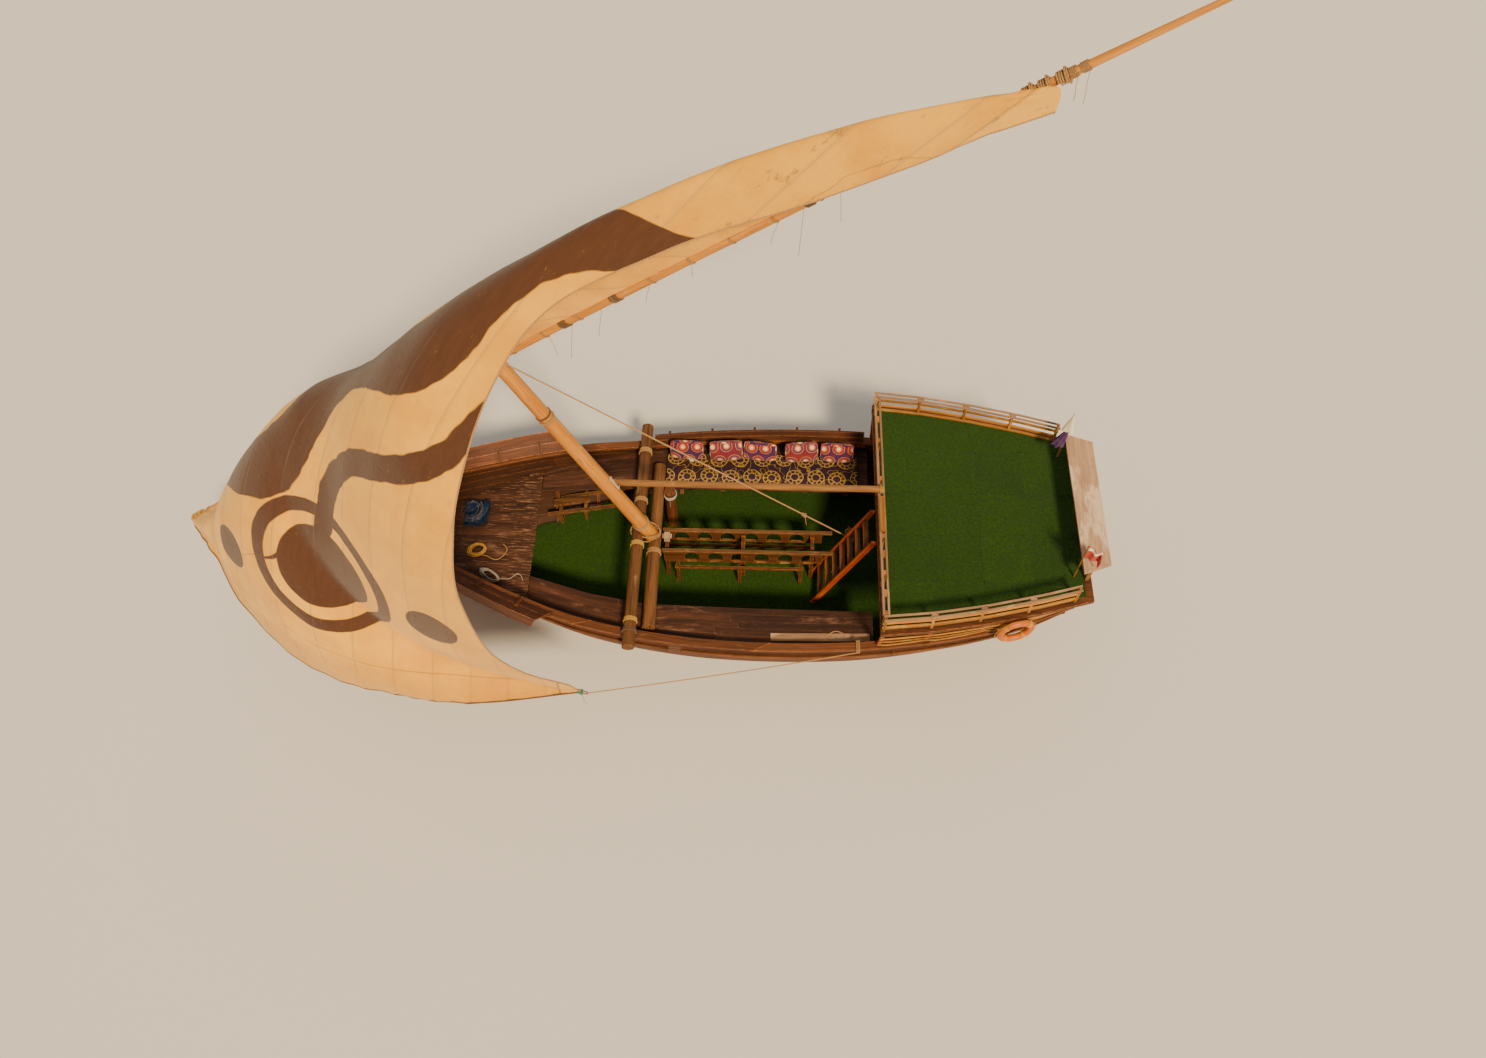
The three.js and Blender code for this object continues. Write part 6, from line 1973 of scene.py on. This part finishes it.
clothLooks = {
    "seatCloth": {"pitch": 0.40, "spokes": 9.0, "band": 0.035, "waver": 0.03, "scrolls": 0.75,
                  "shift": (0.0, 0.06, 0.0), "ground": (0.030, 0.012, 0.036), "second": (0.044, 0.014, 0.020),
                  "spoke": (0.42, 0.25, 0.030), "rim": (0.62, 0.38, 0.045), "disc": (0.06, 0.022, 0.05, 0.5),
                  "core": (0.035, 0.014, 0.040, 0.8), "faded": (0.050, 0.026, 0.030)},
    "redCloth": {"pitch": 0.30, "spokes": 0.0, "band": 0.030, "waver": 0.02, "scrolls": 0.35,
                 "shift": (0.0, 0.10, 0.0), "ground": (0.26, 0.022, 0.020), "second": (0.19, 0.020, 0.045),
                 "spoke": (0.14, 0.030, 0.11), "rim": (0.60, 0.34, 0.050), "disc": (0.62, 0.10, 0.020, 1.0),
                 "core": (0.86, 0.62, 0.34, 1.0), "faded": (0.16, 0.035, 0.040)},
    "purpleCloth": {"pitch": 0.30, "spokes": 0.0, "band": 0.030, "waver": 0.02, "scrolls": 0.35,
                    "shift": (0.0, 0.10, 0.0), "ground": (0.075, 0.016, 0.085),
                    "second": (0.055, 0.014, 0.100), "spoke": (0.30, 0.024, 0.040),
                    "rim": (0.56, 0.32, 0.050), "disc": (0.55, 0.065, 0.025, 1.0),
                    "core": (0.84, 0.60, 0.36, 1.0), "faded": (0.060, 0.022, 0.070)},
}


# A stuffed cushion: a rounded block with seams along its edges and creases that run into them
def cushionPart(size, centre, turn, cells, softness, creases, seed):
    part = newPart(chance.random())
    half = Vector(size) / 2
    counts = [max(2, round(s / cells)) for s in size]
    index = {}

    def corner(i, j, k):
        key = (i, j, k)
        if key not in index:
            u = [2 * i / counts[0] - 1, 2 * j / counts[1] - 1, 2 * k / counts[2] - 1]
            index[key] = len(part["points"])
            point = []
            for axis in range(3):
                others = [u[(axis + 1) % 3], u[(axis + 2) % 3]]
                pinch = 1 - softness[axis] * (others[0] ** 4 + others[1] ** 4) / 2
                point.append(u[axis] * half[axis] * pinch)
            spot = Vector(point)
            edge = max(abs(u[0]), abs(u[1]))
            pucker = creases * math.sin(edge * 3 + (point[0] + point[1] * 1.3) * 46 + seed) * edge ** 3
            broad = noise.noise(spot * 4.5 + Vector((seed * 7.0, 0, 0))) * creases * 2.4
            spot.z += (pucker + broad) * (1 if u[2] > 0 else -0.4)
            part["points"].append(turn @ spot + Vector(centre))
        return index[key]

    def sheetOf(axis, level, flip):
        b, c = (axis + 1) % 3, (axis + 2) % 3
        for i in range(counts[b]):
            for j in range(counts[c]):
                corners, places = [], []
                for di, dj in ((0, 0), (1, 0), (1, 1), (0, 1)):
                    key = [0, 0, 0]
                    key[axis], key[b], key[c] = level, i + di, j + dj
                    corners.append(corner(*key))
                    places.append((size[b] * (i + di) / counts[b] + seed, size[c] * (j + dj) / counts[c]))
                if flip:
                    corners, places = corners[::-1], places[::-1]
                part["faces"].append(tuple(corners))
                part["places"].append(places)

    for axis in range(3):
        sheetOf(axis, 0, True)
        sheetOf(axis, counts[axis], False)
    return part


seatLook = {"fore": 0.930, "aft": -2.640, "inner": 1.150, "outer": 1.870, "base": 0.9003, "thickness": 0.090}
pillowLook = {"size": (0.620, 0.150, 0.400), "cells": 0.022, "turns": (-3, 5, -6, 4, -2),
              "shifts": (0.010, -0.030, 0.045, -0.020, 0.015), "leans": (18, 22, 15, 24, 17),
              "cloths": ("purpleCloth", "redCloth", "purpleCloth", "redCloth", "purpleCloth")}


def makeSeat():
    length = seatLook["fore"] - seatLook["aft"]
    size = (length, seatLook["outer"] - seatLook["inner"], seatLook["thickness"])
    centre = ((seatLook["fore"] + seatLook["aft"]) / 2, -(seatLook["outer"] + seatLook["inner"]) / 2,
              seatLook["base"] + seatLook["thickness"] / 2)
    part = cushionPart(size, centre, cushionTurn(0, 0), 0.030, (0.0, 0.02, 0.30), 0.0035, 2.0)
    seat = makePiece("seatCushion", [part], printedCloth("seatCloth", clothLooks["seatCloth"]),
                     replaces=["seat_pad"], smooth=60)
    cloths = {name: printedCloth(name, clothLooks[name]) for name in ("redCloth", "purpleCloth")}
    for i in range(5):
        low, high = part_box(f"pillow_{i + 1}")
        centre = (low + high) / 2
        centre.x += pillowLook["shifts"][i]
        turn = cushionTurn(pillowLook["leans"][i], pillowLook["turns"][i])
        width, thickness, height = pillowLook["size"]
        part = cushionPart((width, height, thickness * 1.22), centre, turn, pillowLook["cells"],
                           (0.10, 0.14, 0.86), 0.004, 3.0 + 1.7 * i)
        piece = makePiece(f"pillowCover{i + 1}", [part], cloths[pillowLook["cloths"][i]],
                          replaces=[f"pillow_{i + 1}"], smooth=70)


def cushionTurn(lean, turn):
    if not lean:
        return Matrix.Identity(3)
    stand = Matrix.Rotation(math.radians(90 + lean), 3, "X")
    return Matrix.Rotation(math.radians(turn), 3, "Z") @ stand


makeSeat()
print("seat made")

# Rails of the after deck, and the open frames from the gunwales up to it
railLook = {
    "top": poopRailTop, "deck": 1.9812, "ends": (-2.862, -6.118), "steps": 24, "fore": -2.900,
    "battens": [
        # inset from the deck's edge, top below the rail's top, width, depth, wood
        (0.038, 0.000, 0.030, 0.030, "greyed"), (0.122, 0.002, 0.032, 0.032, "greyed"),
        (0.072, 0.150, 0.026, 0.052, "gold"), (0.070, 0.300, 0.026, 0.050, "gold"),
        (0.098, 0.398, 0.046, 0.036, "gold"),
    ],
    "postXs": [-2.895, -3.680, -4.490, -5.300, -6.085],
    "frontPosts": [-2.140, -1.250, -0.450, 0.700, 1.400, 2.140], "frontBlocks": [-1.70, 1.05, 1.78],
}
frameLook = {
    "xs": [-2.900, -3.700, -4.600, -5.500, -6.150], "inset": 0.040, "cap": 0.0552, "head": (0.050, 1.8696),
    "rails": [(0.12, 0.026), (0.42, 0.028), (0.72, 0.026)],
}


def edgeStrip(inset, top, width, depth, side):
    rows = []
    for i in range(railLook["steps"] + 1):
        x = mix(*railLook["ends"], i / railLook["steps"])
        y = poopHalf(x) - inset
        wave = 0.003 * noise.noise(Vector((x * 1.7, inset * 40, side * 3.0)))
        rows.append([Vector((x, side * (y + across), top + wave)) for across in (width / 2, -width / 2)])
    return stripPart(rows, depth)


def makePoopRails():
    for name, side in (("port", 1), ("starboard", -1)):
        woodParts = {"greyed": [], "gold": []}
        for inset, drop, width, depth, kind in railLook["battens"]:
            woodParts[kind].append(edgeStrip(inset, railLook["top"] - 0.003 - drop, width, depth, side))
        for x in railLook["postXs"]:
            y = side * (poopHalf(x) - 0.080)
            foot, head = (x, y, railLook["deck"] + 0.002), (x, y, railLook["top"] - 0.012)
            woodParts["gold"].append(barPart(foot, head, 0.050, 0.044))
        for x in railLook["postXs"][1:-1]:
            y = side * (poopHalf(x) - 0.080)
            z = railLook["top"] - 0.026
            woodParts["greyed"].append(barPart((x - 0.055, y, z), (x + 0.055, y, z), 0.050, 0.030))
        for kind, parts in woodParts.items():
            makePiece(f"poopRail_{name}_{kind}", parts, wood(kind),
                      replaces=[f"poop_rail_{name}"], bevel=0.003)


def makeFrontRail():
    x, top = railLook["fore"], railLook["top"]
    half = 2.178
    battens, blocks = [], []
    for shift in (-0.042, 0.042):
        start, end = (x + shift, -half, top - 0.021), (x + shift, half, top - 0.021)
        battens.append(barPart(start, end, 0.034, 0.040, rows=30))
    battens.append(barPart((x, -half, 2.120), (x, half, 2.120), 0.026, 0.100, rows=30))
    for y in railLook["frontPosts"]:
        blocks.append(barPart((x, y, railLook["deck"] + 0.002), (x, y, top - 0.014), 0.064, 0.056))
    for y in railLook["frontBlocks"]:
        blocks.append(barPart((x, y - 0.06, top - 0.028), (x, y + 0.06, top - 0.028), 0.046, 0.030))
    makePiece("frontRailBattens", battens, wood("greyed"), replaces=["poop_rail_front"],
              bevel=0.003)
    board = barPart((x, -0.058, top - 0.004), (x, 0.638, top - 0.004), 0.098, 0.048, rows=8)
    makePiece("frontRailBlocks", blocks + [board], wood("gold"),
              replaces=["poop_rail_front"], bevel=0.004)


def makeQuarterFrames():
    for name, side in (("port", 1), ("starboard", -1)):
        def seatPoint(x):
            row = min(stationRows, key=lambda station: abs(station[0] - x))
            return Vector((x, side * (row[2] - frameLook["inset"]), row[3] + frameLook["cap"]))

        def headPoint(x):
            return Vector((x, side * (poopHalf(x) - frameLook["head"][0]), frameLook["head"][1]))

        posts, rails = [], []
        for x in frameLook["xs"]:
            foot, head = seatPoint(x), headPoint(x)
            foot.z += 0.006
            posts.append(barPart(foot, head, 0.046, 0.060))
        for share, depth in frameLook["rails"]:
            rows = []
            for i in range(21):
                x = mix(frameLook["xs"][0] + 0.03, frameLook["xs"][-1] - 0.03, i / 20)
                middle = seatPoint(x).lerp(headPoint(x), share) + Vector((0, side * 0.036, 0.020))
                rows.append([middle + Vector((0, side * 0.010, 0)), middle - Vector((0, side * 0.010, 0))])
            rails.append(stripPart(rows, depth))
        makePiece(f"quarterPosts_{name}", posts, wood("redWood"),
                  replaces=[f"quarter_frame_{name}"], bevel=0.004)
        makePiece(f"quarterRails_{name}", rails, wood("gold"),
                  replaces=[f"quarter_frame_{name}"], bevel=0.003)


makePoopRails()
makeFrontRail()
makeQuarterFrames()
print("rails of the after deck made")

# Life ring with its grab line
ringLook = {"radius": 0.265, "tube": 0.062, "x": -5.150, "bands": 4}


def makeLifeRing():
    low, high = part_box("life_ring")
    centre = (low + high) / 2
    slope = (poopHalf(ringLook["x"] + 0.3) - poopHalf(ringLook["x"] - 0.3)) / 0.6
    turn = Matrix.Rotation(math.atan(slope), 3, "Z")
    around, across = 72, 24

    def spot(angle, turnAngle, tube):
        reach = ringLook["radius"] + tube * math.cos(turnAngle)
        point = Vector((reach * math.cos(angle), tube * math.sin(turnAngle), reach * math.sin(angle)))
        return turn @ point + centre

    def torus(tube, start, stop, steps, closed):
        piece = newPart(0.5)
        for i in range(steps if closed else steps + 1):
            angle = mix(start, stop, i / steps)
            for k in range(across):
                piece["points"].append(spot(angle, math.tau * k / across, tube))
        count = len(piece["points"])
        for i in range(steps):
            for k in range(across):
                a, b = i * across + k, i * across + (k + 1) % across
                piece["faces"].append((a, (a + across) % count, (b + across) % count, b)
                                      if closed else (a, a + across, b + across, b))
                piece["places"].append([(i * 0.02, k * 0.02), (i * 0.02 + 0.02, k * 0.02),
                                        (i * 0.02 + 0.02, k * 0.02 + 0.02), (i * 0.02, k * 0.02 + 0.02)])
        if not closed:
            for first, flip in ((0, True), (count - across, False)):
                ring = tuple(range(first, first + across))
                piece["faces"].append(ring[::-1] if flip else ring)
                piece["places"].append([(0.0, 0.0)] * across)
        return piece

    makePiece("ringFoam", [torus(ringLook["tube"] - 0.001, 0, math.tau, around, True)], ringMaterial,
              replaces=["life_ring"], smooth=80)
    bands = []
    for k in range(ringLook["bands"]):
        middle = math.tau * (k + 0.5) / ringLook["bands"]
        bands.append(torus(ringLook["tube"] + 0.002, middle - 0.10, middle + 0.10, 6, False))
    makePiece("ringBands", bands, bandMaterial, smooth=50)

    def lineSpot(angle):
        slack = abs(math.sin((angle - math.tau / 8) * 2))
        reach = ringLook["radius"] + ringLook["tube"] + 0.008 + 0.022 * slack
        return turn @ Vector((reach * math.cos(angle), 0.004 * math.sin(9 * angle),
                              reach * math.sin(angle) - 0.012 * slack)) + centre

    ropePiece("ringLine", [ropePart(loopPath(96, lineSpot), 0.010)], "yellow")


def plasticMaterial(name, colour, dirt):
    material, tree, shader = newMaterial(name, 0.5)
    position = objectSpot(tree)
    soil = soften(tree, noiseOn(tree, position, 7.0, 7.0, 0.65), 0.45, 0.7, 0.0, 0.65)
    mixed = blendColour(tree, soil, colour, dirt)
    paint(shader, mixed)
    bump(tree, shader, noiseOn(tree, position, 90.0, 3.0), 0.3, 0.002)
    return material


ringMaterial = plasticMaterial("ringOrange", (0.58, 0.130, 0.002), (0.34, 0.075, 0.002))
bandMaterial = plasticMaterial("ringBand", (0.66, 0.27, 0.025), (0.38, 0.13, 0.015))
makeLifeRing()
print("life ring made")


# Cloth drawn as a grid of points, closed with a small thickness
def clothPiece(name, grid, thickness, material, body="hull", smooth=75):
    points = np.array([[list(p) for p in row] for row in grid])
    normals = gridNormals(points) * thickness / 2
    part = slabPart((points + normals).tolist(), (points - normals).tolist(), 0.5)
    return makePiece(name, [part], material, body=body, smooth=smooth)


def stripedCloth(name, ground, stripe, period, share):
    material, tree, shader = newMaterial(name, 0.85, Specular_IOR_Level=0.15, Sheen_Weight=0.3)
    cloth = mapSpot(tree)
    y = axesOf(tree, cloth)[1]
    wave = calc(tree, "FRACT", calc(tree, "DIVIDE", y, period))
    band = times(tree, soften(tree, wave, 0.04, 0.07), soften(tree, wave, share, share + 0.03, 1.0, 0.0))
    colour = blendColour(tree, band, ground, stripe)
    worn = soften(tree, noiseOn(tree, cloth, 14.0, 5.0), 0.5, 0.75, 0.0, 0.3)
    colour = blendColour(tree, worn, colour, (0.30, 0.20, 0.15))
    paint(shader, colour)
    bump(tree, shader, noiseOn(tree, cloth, 40.0, 4.0), 0.4, 0.003)
    return material


staffs = {"x": -6.118, "port": 1.180, "starboard": -1.260, "base": 2.001, "portTop": 3.0356,
          "starboardTop": 3.2756}
flagThickness = 0.0012


def portFlagSpot(s, t):
    out = 0.50 * s * (1 - 0.22 * s)
    swing = 0.055 * math.sin(5.2 * s * 2 + 1.6 * t) * s ** 0.7
    fall = 0.09 * s ** 1.6 + 0.012 * math.sin(7 * s + 4 * t) * s
    return Vector((staffs["x"] - 0.016 + out * -0.62 - swing * 0.7,
                   staffs["port"] + 0.010 + out * 0.30 - swing, staffs["portTop"] - 0.03 - 0.31 * t - fall))


def furledFlagSpot(s, t):
    angle = 2.6 * math.tau * t
    fold = 1 + 0.22 * math.sin(angle * 3.1 + 2.2 * s) * (1 - 0.7 * s)
    radius = (0.013 + 0.095 * (1 - s) ** 1.1) * fold * (0.55 + 0.45 * t)
    return Vector((staffs["x"] + radius * math.cos(angle), staffs["starboard"] + radius * math.sin(angle),
                   staffs["starboardTop"] - 0.44 + 0.42 * s - 0.02 * math.sin(angle * 1.7)))


def skirtSpot(s, t):
    angle = math.tau * 0.92 * (t - 0.5)
    fold = 1 + 0.35 * math.sin(angle * 6 + 0.8) * s ** 0.6
    radius = 0.019 + 0.080 * s ** 0.8 * fold
    lean = 0.10 * s ** 1.3
    return Vector((staffs["x"] + radius * math.cos(angle) + lean,
                   staffs["starboard"] + radius * math.sin(angle) * 0.8 + lean * 0.4,
                   staffs["starboardTop"] - 0.46 - 0.36 * s + 0.012 * math.sin(angle * 5)))


def makeFlags():
    for name, y, top in (("port", staffs["port"], staffs["portTop"]),
                         ("starboard", staffs["starboard"], staffs["starboardTop"])):
        path = [Vector((staffs["x"], y, mix(staffs["base"] + 0.006, top - 0.006, i / 20))) for i in range(21)]
        part = roundPart(path, [mix(0.0155, 0.0115, i / 20) for i in range(21)], 14, 0.05)
        makePiece(f"flagStaff_{name}", [part], wood("paleWood"), replaces=[f"staff_{name}"])
    # Port: a small red flag with a pale stripe flies aft from its staff
    flag = clothPiece("flagPort", drawnGrid(40, 30, portFlagSpot), flagThickness, stripedCloth(
        "flagRed", (0.52, 0.018, 0.004), (0.90, 0.80, 0.66), 0.31, 0.30))
    # Starboard: a pale flag furled round the staff's head, with a purple cloth tied below it
    furled = clothPiece("flagFurled", drawnGrid(30, 60, furledFlagSpot), flagThickness, stripedCloth(
        "flagPale", (0.88, 0.78, 0.58), (0.80, 0.62, 0.36), 0.30, 0.10))
    skirt = clothPiece("flagPurple", drawnGrid(30, 40, skirtSpot), flagThickness, stripedCloth(
        "flagViolet", (0.075, 0.020, 0.13), (0.040, 0.012, 0.075), 0.09, 0.3))
    upright = (0, 0, 1)
    tie = (staffs["x"], staffs["starboard"], staffs["starboardTop"] - 0.455)
    parts = lashing(tie, upright, 0.018, 0.008, 6)
    for drop in (0.04, 0.36):
        tie = (staffs["x"], staffs["port"], staffs["portTop"] - drop)
        parts += lashing(tie, upright, 0.013, 0.006, 4)
    ropePiece("flagTies", parts, "pale")


# Two ties with hanging tails bind the yard beyond the sail's head
peakTies = [(0.906, 0.011, 8, 0.46), (0.899, 0.013, 6, 0.34)]


def makePeakTies():
    parts = []
    for share, diameter, turns, tail in peakTies:
        reach = yardRadiusAt(share) + 0.002
        parts += lashing(yardPoint(share), yardDirection, reach, diameter, turns, tail, False)
    ropePiece("peakTies", parts, "pale", "yard")


makeFlags()
makePeakTies()
print("flags made")

# Blue sheet, folded in a heap on the foredeck
tarpLook = {"x": (4.08, 4.64), "y": (-0.72, -0.06), "base": 0.950, "top": 1.100, "folds": 5,
            "thickness": 0.0015}


def tarpSpot(s, t):
    width = tarpLook["x"][1] - tarpLook["x"][0] - 0.06
    depth = tarpLook["y"][1] - tarpLook["y"][0] - 0.04
    folds = tarpLook["folds"]
    s = s * folds
    layer = min(int(s), folds - 1)
    share = s - layer
    ease = share if layer % 2 == 0 else 1 - share
    turn = max(0.0, (share - 0.86) / 0.14) if layer < folds - 1 else 0.0
    spread = 0.80 + 0.20 * noise.noise(Vector((layer * 2.3, ease * 2.6, 4.0)))
    x = tarpLook["x"][0] + 0.03 + width * (0.5 + (t - 0.5) * spread) + 0.02 * math.sin(3 * layer + 4 * t)
    reach = depth * (0.84 - 0.05 * (layer % 3) + 0.14 * noise.noise(Vector((t * 3.2, layer * 1.9, 8.0))))
    y = tarpLook["y"][0] + 0.02 + 0.012 * layer + reach * ease
    level = (layer + turn * turn * (3 - 2 * turn)) * 0.020
    crumple = noise.noise(Vector((x * 9 + layer * 3.1, y * 8, layer * 1.7))) * 0.020
    crumple += noise.noise(Vector((x * 23, y * 21 + layer, layer * 2.9))) * 0.008
    ridge = abs(noise.noise(Vector((x * 6 + 11, y * 6 - 5, 2.0 + layer * 0.35)))) * 0.085
    rise = 0.006 + level + (crumple + 0.012) * (0.35 + 0.22 * layer) + ridge * (layer + 1) / folds
    z = tarpLook["base"] + max(rise, 0.002 + 0.0035 * layer)
    return Vector((x, y, min(z, tarpLook["top"] - 0.002)))


def makeTarp():
    material, tree, shader = newMaterial("tarpBlue", 0.45, Specular_IOR_Level=0.4)
    cloth = mapSpot(tree)
    worn = noiseOn(tree, cloth, 5.0, 7.0, 0.7)
    colour = blendColour(tree, soften(tree, worn, 0.35, 0.7), (0.002, 0.008, 0.030), (0.005, 0.020, 0.066))
    crease = noiseOn(tree, cloth, 22.0, 4.0, 0.6)
    colour = blendColour(tree, soften(tree, crease, 0.58, 0.74, 0.0, 0.4), colour, (0.020, 0.045, 0.10))
    paint(shader, colour)
    bump(tree, shader, crease, 0.7, 0.012)
    grid = drawnGrid(200, 70, tarpSpot)
    tarp = clothPiece("tarpSheet", grid, tarpLook["thickness"], material)
    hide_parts("folded_tarp")
    # A thin line lies over it in loops
    path = []
    for k in range(160):
        angle = k * 0.145
        path.append(Vector((4.45 + (0.17 + 0.05 * math.sin(angle * 0.31)) * math.cos(angle),
                            -0.46 + (0.20 + 0.05 * math.cos(angle * 0.23)) * math.sin(angle), 1.060)))
    corners = [list(face.vertices) for face in tarp.data.polygons]
    surface = BVHTree.FromPolygons([vertex.co.copy() for vertex in tarp.data.vertices], corners)
    for point in path:
        hit = surface.ray_cast(Vector((point.x, point.y, 1.4)), Vector((0, 0, -1)))
        point.z = min((hit[0].z if hit[0] else 0.96) + 0.006, tarpLook["top"] + 0.004)
    smooth = [path[0]] + [(a + b + c) / 3 for a, b, c in zip(path, path[1:], path[2:])] + [path[-1]]
    ropePiece("tarpLine", [thinRope(smooth, 0.006)], "dull")


makeTarp()
print("tarp folded")

finishes = {
    "planks across": ("planks", "y", ["transom"]),
    "timber": ("timber", "x", ["keel", "rack_frame", "tiller"]),
    "log": ("log", "x", ["hold_bench"]),
    "timber across": ("timber", "y", ["frames", "poop_frame"]),
    "timber upright": ("timber", "z", ["stem", "sternpost", "rudder"]),
    "timber edge": ("timber", "x", ["poop_deck"]),
    "pale across": ("paleWood", "y", ["stern_rail"]),
    "weathered": ("weathered", "y", ["stern_board", "cleat_block"]),
}


def dressNodes():
    for kind, along, names in finishes.values():
        for name in names:
            mesh = nodes[name].data
            mesh.materials.clear()
            mesh.materials.append(wood(kind, along))


dressNodes()
print("model dressed")

# The floor at the waterline is open where the hull passes through it
def makeFloor():
    port = [sectionPoint(row, shareAt(row, 0), 0.02) for row in stationRows]
    port = [Vector((p.x, p.y, 0)) for p in port]
    port[0].x -= 0.04
    port[-1].x += 0.02
    ring = port + [Vector((p.x, -p.y, 0)) for p in reversed(port)]
    middle = Vector((0.2, 0, 0))
    rings = [ring]
    for scale in (2.5, 9.0, 60.0):
        rings.append([middle + (p - middle).normalized() * (scale * 1.2 + (p - middle).length) for p in ring])
    count = len(ring)
    points = [p for row in rings for p in row]
    faces = []
    for i in range(len(rings) - 1):
        for k in range(count):
            a, b = i * count + k, i * count + (k + 1) % count
            faces.append((a, a + count, b + count, b))
    mesh = bpy.data.meshes.new("floor")
    mesh.from_pydata(points, [], faces)
    material = newMaterial("floorPaper", 0.9, Specular_IOR_Level=0.1, Base_Color=(0.72, 0.71, 0.69, 1))[0]
    mesh.materials.append(material)
    piece = newObject("floor", mesh)


# Soft warm daylight
daylight = {"strength": 5.0, "softness": 9, "colour": (1.0, 0.76, 0.44), "tilt": 44, "turn": 200,
            "sky": (1.0, 0.92, 0.80, 1), "skyStrength": 0.52}


def makeLight():
    lamp = bpy.data.lights.new("sun", "SUN")
    lamp.energy = daylight["strength"]
    lamp.angle = math.radians(daylight["softness"])
    lamp.color = daylight["colour"]
    sun = newObject("sun", lamp)
    sun.rotation_euler = (math.radians(daylight["tilt"]), 0, math.radians(daylight["turn"]))
    world = bpy.data.worlds.new("sky")
    world.use_nodes = True
    background = world.node_tree.nodes["Background"]
    background.inputs[0].default_value = daylight["sky"]
    background.inputs[1].default_value = daylight["skyStrength"]
    bpy.context.scene.world = world


makeFloor()
makeLight()
print("floor and light made")
